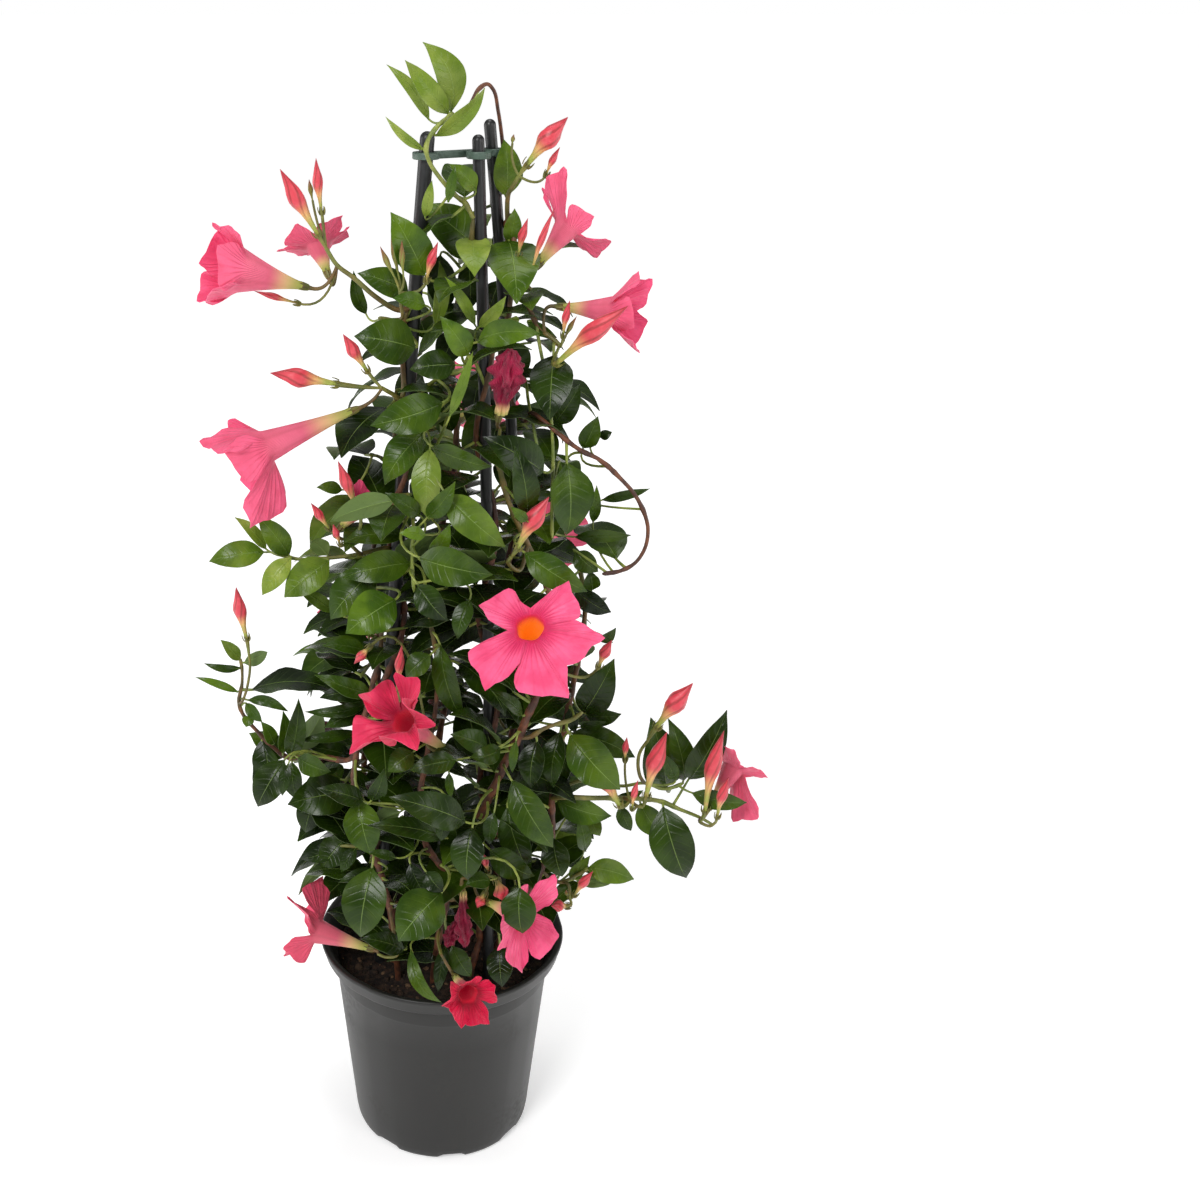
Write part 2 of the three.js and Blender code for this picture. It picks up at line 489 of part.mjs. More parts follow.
// ---------------------------------------------------------------- leaves set out by hand
// [across and down of the leaf's base, of its tip, width on the drawing, layer in the bush, lean of the
// tip toward the viewer (mm), roll (degrees), sway of the midrib to one side, arch]
const BUSH_LEAVES = [
  // crown
  [451, 112, 424, 42, 30, 0.3, 2, 15, -0.16, 0.08], [449, 114, 406, 60, 22, 0.45, 6, 20, 0.05, 0.08],
  [429, 120, 387, 65, 13, 0.5, 4, 0, -0.08, 0.1], [424, 150, 386, 117, 9, 0.5, 4, 0, 0.06, 0.1],
  [436, 136, 486, 90, 20, 0.6, 4, 35, 0, 0.1], [476, 190, 450, 164, 20, 0.35, 6, 20, 0, 0.12],
  [506, 196, 505, 140, 30, -0.2, 2, 20, 0, 0.1],
  // upper
  [424, 275, 392, 213, 38, 0.45, 6, 10, 0, 0.12], [486, 257, 421, 204, 45, -0.3, 0, 15, 0, 0.12],
  [425, 217, 432, 181, 11, 0.6, 4, 0, 0, 0.1], [448, 202, 455, 166, 10, 0.6, 2, 0, 0, 0.05],
  [408, 292, 358, 273, 28, 0.55, 8, 15, 0, 0.15], [366, 314, 354, 271, 14, 0.4, 4, 10, 0.1, 0.1],
  [425, 305, 393, 298, 18, 0.8, 8, 20, 0, 0.12], [435, 325, 441, 262, 18, 0.2, 0, 35, 0, 0.1],
  [475, 325, 446, 277, 12, 0.6, 4, 20, 0, 0.1], [479, 327, 506, 297, 14, 0.7, 6, 20, 0, 0.12],
  [468, 355, 441, 317, 25, 0.9, 8, 10, 0, 0.16], [478, 342, 540, 334, 26, 0.85, 8, 10, 0.14, 0.2],
  [527, 322, 557, 338, 12, 0.4, 4, 10, 0, 0.1], [509, 243, 515, 209, 18, 0, 2, 15, 0, 0.1],
  // middle
  [415, 348, 355, 336, 45, 0.55, 10, 10, 0, 0.15], [455, 365, 410, 369, 30, 0.7, 6, 15, 0, 0.12],
  [442, 403, 371, 425, 38, 0.8, 12, 5, 0.05, 0.15], [425, 432, 384, 484, 36, 0.6, 10, 25, 0, 0.14],
  [430, 449, 428, 520, 30, 0.85, 10, 15, 0, 0.14], [432, 447, 491, 468, 24, 0.85, 10, 30, 0.05, 0.14],
  [543, 472, 484, 437, 36, 0.8, 10, 10, 0, 0.16], [527, 512, 516, 447, 27, 0.95, 6, 15, 0, 0.14],
  [428, 517, 455, 483, 20, 0.95, 8, 15, 0, 0.14], [450, 416, 473, 352, 11, 0.9, 4, 10, 0, 0.05],
  [553, 424, 580, 385, 24, 0.3, 4, 15, 0, 0.12], [583, 448, 598, 417, 20, 0.3, 4, 10, 0, 0.12],
  [600, 437, 612, 432, 10, 0.2, 2, 0, 0, 0.1], [560, 462, 557, 508, 11, 0.6, 4, 10, 0, 0.1],
  [565, 468, 572, 523, 25, 0.6, 6, 20, 0, 0.14], [602, 500, 650, 489, 10, 0.3, 4, 10, 0, 0.08],
  [575, 537, 631, 536, 14, 0.35, 6, 20, 0.05, 0.12], [593, 522, 597, 486, 11, 0.4, 4, 10, 0, 0.1],
  [525, 553, 587, 592, 30, 0.95, 10, 10, 0, 0.16], [575, 552, 598, 572, 22, 0.5, 4, 15, 0, 0.12],
  [592, 590, 590, 571, 17, 0.6, 2, 10, 0, 0.1], [527, 521, 511, 507, 10, 0.95, 4, 0, 0, 0.1],
  [529, 520, 543, 508, 9, 0.95, 4, 0, 0, 0.1],
  // left of the middle
  [342, 490, 317, 487, 13, 0.3, 4, 20, 0, 0.12], [395, 500, 330, 521, 26, 0.55, 8, 160, 0, 0.12],
  [420, 515, 386, 493, 18, 0.85, 8, 10, 0, 0.14], [447, 495, 505, 547, 34, 0.95, 12, 10, 0, 0.16],
  [425, 535, 400, 533, 14, 0.9, 6, 15, 0, 0.12], [432, 556, 450, 525, 18, 0.95, 8, 15, 0, 0.14],
  [405, 535, 343, 541, 24, 0.65, 8, 25, 0, 0.14], [410, 563, 343, 577, 32, 0.85, 12, 10, 0, 0.15],
  [375, 571, 330, 619, 40, 0.6, 10, 15, 0, 0.15], [395, 600, 346, 633, 44, 0.8, 14, 10, 0, 0.16],
  [420, 558, 492, 575, 38, 0.9, 14, 10, 0, 0.16], [418, 585, 447, 621, 28, 0.95, 10, 15, 0, 0.15],
  [470, 600, 457, 639, 20, 0.9, 8, 20, 0, 0.14], [367, 652, 323, 645, 16, 0.5, 8, 25, 0, 0.14],
  // lower left
  [350, 792, 288, 804, 40, 0.45, 10, 10, 0, 0.16], [363, 801, 318, 788, 21, 0.8, 10, 10, 0, 0.14],
  [372, 800, 384, 770, 18, 0.9, 6, 20, 0, 0.12], [316, 796, 305, 833, 26, 0.2, 6, 15, 0, 0.12],
  [345, 832, 299, 858, 19, 0.35, 8, 15, 0.2, 0.2], [358, 800, 371, 855, 36, 0.85, 12, 10, 0, 0.16],
  [346, 838, 322, 869, 30, 0.4, 8, 15, 0, 0.14], [347, 852, 298, 893, 16, 0.35, 8, 150, 0, 0.14],
  [356, 848, 341, 872, 14, 0.55, 6, 15, 0, 0.12], [352, 757, 308, 747, 18, 0.35, 8, 15, 0, 0.14],
  [357, 732, 299, 740, 12, 0.4, 8, 15, 0.05, 0.1], [370, 712, 324, 727, 20, 0.5, 8, 20, 0, 0.12],
  [369, 702, 305, 711, 13, 0.5, 8, 15, 0.12, 0.12], [370, 692, 316, 674, 20, 0.6, 10, 25, 0.14, 0.18],
  [371, 693, 320, 697, 22, 0.45, 8, 20, 0, 0.14],
  // centre
  [430, 655, 406, 678, 24, 0.75, 4, 20, 0, 0.14], [440, 645, 463, 720, 26, 0.6, 6, 25, 0, 0.14],
  [500, 748, 470, 757, 20, 0.85, 6, 20, 0.2, 0.2], [487, 748, 451, 734, 24, 0.8, 6, 15, 0, 0.14],
  [456, 760, 410, 770, 22, 0.95, 8, 10, 0, 0.14], [413, 752, 388, 772, 24, 0.9, 8, 10, 0, 0.14],
  [465, 822, 390, 797, 34, 0.85, 12, 10, 0, 0.16], [445, 838, 368, 825, 22, 0.8, 12, 20, 0, 0.14],
  [400, 812, 370, 828, 20, 0.7, 6, 150, 0, 0.14], [449, 773, 451, 798, 9, 0.9, 4, 10, 0, 0.1],
  [446, 816, 441, 841, 15, 0.98, 4, 10, 0, 0.12], [472, 828, 467, 880, 34, 0.92, 10, 15, 0, 0.16],
  [494, 813, 489, 845, 15, 0.92, 4, 15, 0, 0.12], [512, 781, 553, 848, 34, 0.92, 12, 10, 0, 0.16],
  [507, 808, 530, 872, 30, 0.75, 10, 20, 0, 0.14], [537, 741, 531, 788, 27, 0.85, 8, 20, 0, 0.14],
  [560, 732, 552, 788, 24, 0.8, 8, 20, 0, 0.14], [570, 752, 560, 786, 18, 0.55, 4, 20, 0, 0.12],
  [516, 741, 512, 773, 9, 0.95, 4, 10, 0, 0.1],
  // right
  [583, 712, 614, 660, 34, 0.75, 8, 10, 0, 0.16], [586, 714, 621, 715, 20, 0.55, 6, 30, 0, 0.12],
  [570, 708, 575, 733, 13, 0.8, 4, 10, 0, 0.1], [580, 727, 606, 722, 10, 0.7, 4, 20, 0, 0.1],
  [570, 735, 620, 790, 42, 0.7, 14, 10, 0, 0.16], [572, 733, 635, 758, 28, 0.5, 10, 15, 0.1, 0.14],
  [573, 739, 597, 784, 20, 0.75, 6, 30, 0, 0.12], [557, 800, 611, 817, 28, 0.55, 10, 20, 0, 0.14],
  [588, 812, 600, 836, 18, 0.45, 4, 20, 0, 0.12], [584, 850, 578, 815, 16, 0.6, 4, 20, 0, 0.12],
  [553, 838, 562, 877, 28, 0.75, 6, 15, 0, 0.14], [522, 716, 492, 690, 14, 0.85, 4, 25, 0, 0.14],
  [575, 590, 611, 613, 22, 0.6, 4, 20, 0, 0.12], [598, 640, 616, 628, 13, 0.5, 2, 40, 0, 0.2],
  // foot
  [372, 868, 360, 938, 44, 0.9, 14, 10, 0, 0.16], [378, 873, 339, 882, 14, 0.8, 8, 20, 0, 0.14],
  [441, 893, 398, 941, 48, 0.98, 14, 10, 0, 0.16], [396, 858, 368, 852, 10, 0.9, 4, 15, 0, 0.1],
  [410, 864, 425, 895, 18, 0.85, 6, 15, 0, 0.12], [426, 872, 443, 892, 20, 0.9, 6, 15, 0, 0.12],
  [515, 885, 527, 932, 30, 0.9, 8, 10, 0, 0.14], [490, 880, 466, 884, 18, 0.95, 6, 20, 0, 0.12],
  [490, 850, 534, 877, 28, 0.8, 10, 20, 0, 0.14], [556, 875, 528, 899, 26, 0.5, 6, 20, 0, 0.14],
];
// The same rows for the sprigs that leave the bush, with the base's distance toward the viewer (mm)
// in place of the layer.
const SPRIG_LEAVES = [
  [266, 549, 236, 517, 14, 27, 4, 30, 0, 0.1], [289, 555, 258, 516, 24, 27, 4, 10, 0, 0.1],
  [264, 552, 209, 561, 27, 27, 4, 15, 0, 0.12], [291, 558, 262, 595, 22, 27, 6, 15, 0, 0.12],
  [329, 561, 284, 597, 34, 27, 8, 10, 0, 0.12], [334, 612, 296, 587, 14, 24, 4, 10, 0, 0.1],
  [328, 555, 311, 540, 18, 24, 4, 160, 0, 0.1],
  [240, 660, 221, 640, 13, 36, 3, 15, 0, 0.1], [244, 663, 268, 652, 14, 36, 3, 160, 0, 0.08],
  [241, 668, 204, 663, 8, 36, 3, 10, 0.1, 0.1], [238, 692, 195, 677, 8, 36, 3, 10, 0, 0.1],
  [246, 703, 262, 722, 12, 36, 4, 20, 0, 0.1], [250, 716, 246, 727, 12, 36, 4, 10, 0, 0.1],
  [248, 700, 288, 712, 11, 38, 4, 10, 0.12, 0.1], [274, 744, 262, 722, 14, 38, 4, 20, 0, 0.1],
  [283, 753, 284, 712, 17, 40, 4, 25, 0, 0.12], [290, 756, 299, 700, 20, 44, 6, 15, 0, 0.12],
  [298, 750, 322, 712, 24, 34, 2, 160, 0, 0.12], [262, 740, 255, 793, 30, 34, 6, 20, 0.22, 0.12],
  [284, 757, 250, 733, 26, 30, 2, 20, 0, 0.1], [284, 760, 257, 807, 32, 44, 8, 10, 0, 0.14],
  [288, 764, 282, 796, 12, 46, 6, 10, 0, 0.1], [292, 762, 297, 800, 20, 34, 6, 20, 0, 0.12],
  [298, 758, 330, 772, 22, 42, 8, 20, 0, 0.12],
  [640, 803, 664, 837, 26, 56, 6, 20, 0, 0.14], [663, 807, 686, 879, 43, 66, 10, 10, 0, 0.16],
  [692, 793, 747, 803, 20, 52, 2, 20, 0, 0.12], [620, 806, 631, 831, 15, 62, 4, 15, 0, 0.12],
  [666, 787, 652, 720, 42, 54, 6, 10, 0, 0.14], [684, 780, 670, 720, 26, 48, 2, 20, 0, 0.12],
  [689, 779, 727, 711, 30, 58, 6, 15, 0, 0.14], [676, 780, 660, 752, 14, 60, 4, 10, 0, 0.1],
  [615, 801, 643, 791, 12, 56, 4, 20, 0, 0.1],
  [588, 868, 634, 880, 25, 60, 6, 15, 0.1, 0.14], [576, 880, 619, 878, 14, 54, 4, 160, 0, 0.1],
  [570, 878, 590, 856, 13, 52, 4, 10, 0, 0.1], [578, 882, 552, 905, 18, 48, 4, 20, 0, 0.12],
  [404, 950, 362, 938, 22, 68, 6, 20, 0, 0.12], [411, 950, 441, 1003, 14, 76, 16, 10, -0.12, 0.2],
  [446, 946, 438, 992, 14, 74, 12, 10, 0, 0.14], [452, 946, 471, 977, 22, 70, 6, 20, 0, 0.12],
  [500, 946, 502, 987, 26, 74, 12, 10, 0, 0.14],
];
const SHIFTS = [0, 5, -5, 10, -10, 16, -16, 22, -22]; // mm along the sight line, tried in this order
// A leaf's stations are [share of its length, share of its width]. A small one has a single station.
const LEAF = {
  fold: 0.16, rootHalf: 0.3, rootThick: 0.6, neckHalf: 0.8, neckThick: 1.2, tipThick: 0.6,
    shortPetiole: 11,
  stations: [[0.27, 1], [0.68, 0.86]], small: 15, smallStations: [[0.4, 1]],
};
// Leaves by rule, in opposite pairs on the side stems and vines of the bush's back and inside.
const PAIR = {
  length: 46, vary: [0.78, 0.4], slim: 0.54, petiole: 6, spread: 58, droop: -0.25, droopVary: 0.7,
    tilt: 0.5,
  arch: 0.1, overSoil: 8, most: 1.18, frontFrom: -12, frontMost: 0.6,
  tries: [0, 24, -24, 48, -48, 76, -76, 110, -110],
};
const CROWN = { from: 560, share: 0.8 }; // above this height leaves by rule are smaller
// Single leaves by rule, which fill the inside and the far side. A try is a draw of place and heading.
// It is kept where it stands clear of all else and a stem is within reach.
const FILL = {
  tries: 900, most: 52, z: [176, 640], far: [0.4, 0.95], inside: [0.15, 0.5], swing: 70, reach: 20,
  vary: [0.8, 0.4], fall: [-0.65, 0.9], tilt: 0.6, overSoil: 10,
};

// ---------------------------------------------------------------- sprays and blooms set out by hand
// A bud's rings are [share of its length, share of its radius]. A small one has fewer.
const BUD = {
  pedicel: 0.8, thinnest: 0.4, small: 4, sides: 5, smallSides: 4,
  rings: [[0.02, 0.3], [0.6, 1], [1, 0.12]], smallRings: [[0.02, 0.4], [0.55, 1], [1, 0.12]],
};
const CALYX = { length: 6, neck: 1.2, mouth: 2.6 };
// A corolla's tube has a foot and a waist. A lobe parts from the next one past the mouth, and its left
// side, tip and right side are [share of its length, share of it to one side].
const COROLLA = {
  foot: 2, waist: 2.2, waistShare: 0.32, waistAt: 0.5, notch: 0.2, halfSector: 36,
  left: [0.62, -0.5], tip: [1.08, 0.2], right: [0.7, 0.48],
};
const WILT = { radii: [0.35, 0.45, 0.9, 1, 0.25], sway: 0.3, sides: 5 };
// A spray's stalk grows from its parent stem. A bud is [across and down of its base, of its tip, width
// on the drawing, front of its base, lean of its tip].
const SPRAYS = {
  spray_left_top: {
    parent: "vine_left", r: [1.7, 1.2],
    marks: [[398, 310, 22], [376, 297, 27], [354, 278, 30], [337, 265, 32], [326, 248, 33]],
    buds: [[319, 236, 280, 169, 19, 34, 6], [322, 214, 316, 158, 12, 30, 2],
      [313, 203, 309, 179, 6, 27, 0], [300, 304, 254, 291, 8, 24, 4]],
  },
  spray_left_mid: {
    parent: "vine_left", r: [1.6, 1.2],
    marks: [[402, 398, 26], [391, 393, 34], [382, 388, 38]],
    buds: [[368, 372, 343, 334, 15, 38, 6], [338, 384, 270, 373, 22, 40, 10]],
  },
  spray_left_low: {
    parent: "left_sprig", r: [1.3, 1.1],
    marks: [[358, 552, 34], [352, 546, 38], [347, 540, 40]],
    buds: [[359, 512, 338, 461, 14, 54, 4], [330, 530, 311, 503, 10, 36, 2],
      [341, 546, 333, 524, 8, 42, 2]],
  },
  spray_far_left: {
    parent: "low_left_sprig", r: [0.9, 0.8],
    marks: [[243, 700, 42], [247, 688, 43], [250, 668, 43], [249, 655, 43]],
    buds: [[247, 640, 236, 587, 15, 43, 4]],
  },
  spray_top_right: {
    parent: "vine_back", r: [1.5, 1.2],
    marks: [[508, 196, 4], [513, 186, 8], [519, 176, 10]],
    buds: [[526, 166, 568, 117, 23, 11, 6], [545, 177, 560, 147, 8, 8, 2], [512, 146, 514, 134, 5, 4, 0]],
  },
  spray_right_upper: {
    parent: "right_stem", r: [1.4, 1.2],
    marks: [[517, 275, 14], [522, 268, 16], [526, 284, 18], [531, 290, 18]],
    buds: [[518, 258, 528, 218, 10, 18, 4], [530, 278, 555, 208, 8, 26, 4]],
  },
  spray_right: {
    parent: "right_stem", r: [1.4, 1.1],
    marks: [[545, 333, 24], [553, 339, 27], [560, 345, 30]],
    buds: [[556, 364, 628, 306, 22, 40, 22], [563, 338, 570, 300, 9, 44, 2],
      [563, 342, 577, 316, 6, 38, 4]],
  },
  spray_centre_top: {
    parent: "upper_twig", r: [1.2, 1.0],
    marks: [[402, 318, 30], [401, 305, 34], [400, 292, 36]],
    buds: [[396, 280, 380, 246, 7, 36, 4], [400, 282, 391, 232, 7, 32, 2],
      [404, 280, 402, 240, 7, 38, 4], [426, 283, 438, 242, 11, 34, 2]],
  },
  spray_centre: {
    parent: "vine_centre", r: [1.3, 1.0],
    marks: [[497, 448, 42], [499, 438, 46], [500, 428, 48]],
    buds: [],
  },
  spray_middle: {
    parent: "vine_centre", r: [1.4, 1.1],
    marks: [[520, 570, 54], [508, 562, 66], [512, 556, 70]],
    buds: [[517, 549, 549, 497, 22, 72, 4]],
  },
  spray_star: { parent: "vine_centre", r: [1.5, 1.2], marks: [[553, 668, 72], [549, 672, 78],
    [545, 672, 80]], buds: [[598, 668, 612, 640, 13, 60, 4]] },
  spray_front: {
    parent: "vine_low_front", r: [1.4, 1.1],
    marks: [[428, 745, 72], [440, 752, 76], [449, 750, 78]],
    buds: [[399, 690, 402, 645, 11, 70, 2], [371, 645, 354, 664, 11, 64, 2]],
  },
  spray_foot_left: {
    parent: "vine_low_left", r: [1.2, 1.0],
    marks: [[394, 935, 60], [397, 955, 64], [386, 957, 62], [378, 954, 58]],
    buds: [],
  },
  spray_foot_front: {
    parent: "vine_low_front", r: [1.3, 1.0],
    marks: [[452, 900, 74], [460, 888, 80], [474, 884, 84], [487, 880, 86], [489, 877, 86]],
    buds: [[489, 873, 483, 853, 9, 86, 2], [496, 878, 505, 902, 18, 88, 4],
      [486, 892, 477, 908, 13, 88, 4]],
  },
  spray_foot_low: {
    parent: "vine_low_front", r: [1.2, 1.0],
    marks: [[438, 938, 70], [441, 954, 82]],
    buds: [],
  },
  spray_foot_right: {
    parent: "low_right_twig", r: [1.1, 0.9],
    marks: [[568, 884, 60], [570, 892, 63], [570, 899, 64]],
    buds: [[574, 896, 593, 871, 11, 64, 4], [570, 906, 551, 906, 14, 65, 4],
      [568, 898, 566, 890, 5, 62, 0]],
  },
  spray_rear_high: {
    parent: "vine_rear", r: [1.3, 1.1],
    marks: [[457, 440, -42], [458, 432, -50]],
    buds: [[455, 420, 446, 380, 18, -56, -8], [450, 424, 432, 404, 9, -54, -6]],
  },
  spray_rear_left: {
    parent: "vine_rear_left", r: [1.3, 1.1],
    marks: [[382, 650, -46], [385, 640, -60]],
    buds: [[390, 632, 402, 590, 17, -66, -8], [394, 636, 412, 618, 9, -66, -8]],
  },
  spray_rear_right: {
    parent: "rear_stem", r: [1.2, 1.0],
    marks: [[522, 570, -72], [528, 566, -77]],
    buds: [[526, 556, 518, 516, 18, -78, -8]],
  },
  spray_branch_near: {
    parent: "right_branch", r: [1.3, 1.1],
    marks: [[630, 801, 68], [637, 806, 72], [643, 807, 74]],
    buds: [[646, 798, 667, 732, 20, 74, 4], [620, 806, 596, 761, 22, 72, 4],
      [632, 810, 638, 780, 8, 76, 2], [625, 762, 627, 737, 8, 66, 0]],
  },
  spray_branch_far: {
    parent: "right_branch_upper", r: [1.2, 1.0],
    marks: [[640, 776, 60], [638, 764, 61], [640, 752, 62], [648, 740, 62]],
    buds: [[656, 728, 693, 683, 22, 62, 4]],
  },
  spray_branch_end: {
    parent: "right_branch", r: [1.1, 0.9],
    marks: [[700, 822, 68], [710, 826, 70], [716, 822, 70]],
    buds: [[705, 812, 724, 731, 18, 72, 4], [717, 818, 729, 777, 12, 74, 4]],
  },
};
// [angle about the flower's axis from the highest side, length mm, flare: 0 spread flat, 90 straight out]
function star(phase, length, flare) {
  return [0, 1, 2, 3, 4].map((k) => [phase + 72 * k, length, flare]);
}
// A bloom's calyx and the middle of its mouth, the mouth's radius in mm, and its five lobes.
const BLOOMS = {
  bloom_upper_left: {
    spray: "spray_left_top", calyx: [302, 286, 34], mouth: [240, 271, 46], throat: 12,
    lobes: [[0, 19, 56], [75, 18, 70], [150, 19, 62], [215, 18, 62], [285, 17, 74]],
  },
  bloom_behind_left: { spray: "spray_left_top", calyx: [327, 272, 20], mouth: [318, 246, 12],
    throat: 7, lobes: star(10, 15, 15) },
  bloom_middle_left: {
    spray: "spray_left_mid", calyx: [352, 411, 40], mouth: [268, 446, 52], throat: 9,
    lobes: [[-10, 32, 72], [75, 24, 46], [150, 34, 18], [205, 36, 24], [285, 24, 62]],
  },
  bloom_upper_right: {
    spray: "spray_right_upper", calyx: [540, 263, 18], mouth: [566, 228, 10], throat: 7.5,
    lobes: [[5, 27, 34], [80, 12, 70], [172, 20, 4], [235, 19, 14], [300, 19, 26]],
  },
  bloom_right: {
    spray: "spray_right", calyx: [563, 307, 24], mouth: [612, 311, 34], throat: 8,
    lobes: [[15, 21, 42], [90, 15, 72], [160, 20, 45], [230, 19, 48], [300, 21, 45]],
  },
  bloom_star: {
    spray: "spray_star", calyx: [543, 668, 80], mouth: [530, 628, 112], throat: 8,
    lobes: [[-102, 31, 4], [-42, 23.5, 10], [63, 21.5, 8], [148, 33, 4], [207, 37, 2]],
  },
  bloom_front: {
    spray: "spray_front", calyx: [444, 748, 80], mouth: [404, 722, 108], throat: 7,
    lobes: [[-60, 22, 62], [5, 26, 40], [70, 25, 50], [135, 27, 38], [-130, 23, 60]],
  },
  bloom_foot_left: {
    spray: "spray_foot_left", calyx: [368, 948, 56], mouth: [318, 931, 46], throat: 8,
    lobes: [[35, 25, 30], [-25, 29, 20], [105, 22, 40], [165, 27, 38], [240, 20, 30]],
  },
  bloom_foot_front: {
    spray: "spray_foot_low", calyx: [456, 978, 90], mouth: [468, 994, 114], throat: 6,
    lobes: [[0, 11, 50], [75, 15, 40], [140, 14, 40], [195, 15, 36], [280, 14, 44]],
  },
  bloom_foot_right: {
    spray: "spray_foot_front", calyx: [490, 903, 90], mouth: [522, 917, 108], throat: 8,
    lobes: [[20, 16, 8], [90, 20, 10], [150, 23, 8], [215, 25, 10], [300, 22, 10]],
  },
  bloom_branch: {
    spray: "spray_branch_end", calyx: [712, 804, 60], mouth: [733, 768, 48], throat: 7,
    lobes: [[10, 22, 10], [90, 22, 5], [165, 32, -56], [225, 15, 20], [285, 9, 40]],
  },
  bloom_hidden: { spray: "spray_left_low", calyx: [342, 526, 36], mouth: [360, 508, 36],
    throat: 6, lobes: star(0, 13, 30) },
  // on the far side
  bloom_rear_high: { spray: "spray_rear_high", calyx: [462, 420, -62], mouth: [474, 402, -96],
    throat: 9, lobes: star(20, 23, 30) },
  bloom_rear_left: { spray: "spray_rear_left", calyx: [384, 628, -74], mouth: [366, 612, -108],
    throat: 9, lobes: star(-30, 24, 25) },
  bloom_rear_right: { spray: "spray_rear_right", calyx: [532, 556, -84], mouth: [548, 537, -112],
    throat: 8, lobes: star(10, 24, 35) },
};
// Wilted corollas: [spray, calyx, end, width on the drawing]
const WILTED = {
  bloom_wilted_centre: ["spray_centre", [499, 415, 50], [510, 350, 56], 30],
  bloom_wilted_foot: ["spray_foot_front", [462, 890, 88], [464, 946, 94], 15],
  bloom_wilted_low: ["spray_foot_front", [461, 914, 76], [446, 946, 80], 13],
};

// ---------------------------------------------------------------- building the stems
const soilTop = POT.height - SOIL.drop;
const FOOT_DEPTH = 22; // how deep a stem stands in its hole
const FOOT_RISE = 4; // how far above the soil's crown it stands upright
const TWINE_GAP = 1.1; // between a cane and the vine round it
const TWINE_STEPS = 6; // pieces in a turn round a cane
const STEM_SIDES = 4;
const TWIG_SIDES = 3;

function vineCurve(name) {
  const { cane, foot, z, turns, phase, r, marks } = VINES[name];
  const under = new THREE.Vector3(...foot, soilTop - FOOT_DEPTH);
  const over = new THREE.Vector3(...foot, soilTop + SOIL.crown + FOOT_RISE);
  if (!cane) {
    const way = [over, ...marks.map((m) => mark(...m))];
    return [under, ...curvePoints(way, marks.length)];
  }
  const reach = (CANES[cane].radius + r[0] + TWINE_GAP) / Math.cos(Math.PI / TWINE_STEPS);
  const steps = Math.round(turns * TWINE_STEPS);
  const twine = Array.from({ length: steps + 1 }, (_, i) => {
    const height = z[0] + ((z[1] - z[0]) * i) / steps;
    const angle = phase + (2 * Math.PI * turns * i) / steps;
    return caneAt(cane, height).add(new THREE.Vector3(Math.cos(angle) * reach, Math.sin(angle) * reach,
      0));
  });
  return [under, over, ...twine];
}

function byDistance(points, target) {
  return [...points].sort((a, b) => a.distanceTo(target) - b.distanceTo(target));
}

const placed = []; // { owner, solid, box, leaf } for all that stands so far
const owned = {}; // owner: the solids to be joined in its node

function overlapBox(a, b) {
  return [0, 1, 2].every((k) => a.min[k] <= b.max[k] && b.min[k] <= a.max[k]);
}

// Whether a solid crosses nothing of another node, nor, if asked, another leaf of its own.
function isClear(solid, owner, ownLeaves = false) {
  const box = solid.boundingBox();
  return placed.every(
    (other) =>
      (other.owner === owner && !(ownLeaves && other.leaf)) ||
      !overlapBox(box, other.box) ||
      solid.intersect(other.solid).isEmpty(),
  );
}

function place(owner, solid, leaf = false) {
  placed.push({ owner, solid, box: solid.boundingBox(), leaf });
  (owned[owner] ??= []).push(solid);
}

// The largest closed body of a join, with sealed hollows filled, loose scraps dropped and the slivers
// that joining leaves on flat faces merged.
function oneBody(solids) {
  const bodies = wasm.Manifold.union(solids).decompose();
  const body = bodies.reduce((best, b) => (b.volume() > best.volume() ? b : best));
  return body.asOriginal().simplify(SLIVER);
}

const stems = {}; // name: { owner, points, radii, sides }

function stemSolid({ points, radii, sides }, grow = 0) {
  return solidOf(tube(points, radii.map((r) => r + grow), sides));
}

function addStem(name, owner, points, [from, to], sides = STEM_SIDES) {
  stems[name] = { owner, points, radii: taper(from, to, points.length), sides };
  place(owner, stemSolid(stems[name]));
}

// How many of the parent's points are tried, how near one is reached in any case, and under what
// distance the first mark of a side stem is left out.
const ROOT = { tried: 8, touching: 1, skip: 2.5 };

// The parent's point nearest to a target that can be reached without crossing another node.
function rootOn(parent, target, radius) {
  const { owner, points } = stems[parent];
  const near = byDistance(points.slice(2), target);
  const free = near.slice(0, ROOT.tried).find((point) => {
    if (point.distanceTo(target) < ROOT.touching) return true;
    return isClear(solidOf(tube([point, target], [radius + MEET, radius + MEET], 4)), owner);
  });
  return free ?? near[0];
}

for (const name of Object.keys(CANES)) place(name, caneSolid(name));
place("clip", clipSolid());
for (const name of Object.keys(VINES)) addStem(name, name, vineCurve(name), VINES[name].r);
for (const [name, { parent, r, marks }] of Object.entries(SIDE_STEMS)) {
  const way = marks.map((m) => mark(...m));
  const start = rootOn(parent, way[0], r[0]);
  if (start.distanceTo(way[0]) < ROOT.skip) way.shift();
  addStem(name, stems[parent].owner, [start, ...way], r, TWIG_SIDES);
}
const holes = Object.keys(CANES).map((name) => caneSolid(name, SOIL.holeGap));
for (const name of Object.keys(VINES)) {
  const radius = VINES[name].r[0] + SOIL.holeGap + SOIL.holeEase;
  const hole = new THREE.CylinderGeometry(radius, radius, SOIL.holeLength,
    SOIL.holeSides).rotateX(Math.PI / 2);
  hole.translate(...VINES[name].foot, soilTop - FOOT_DEPTH + SOIL.holeLength / 2 - SOIL.holeGap);
  holes.push(solidOf(hole));
}
place("pot", potSolid());
place("soil", soilSolid(holes));

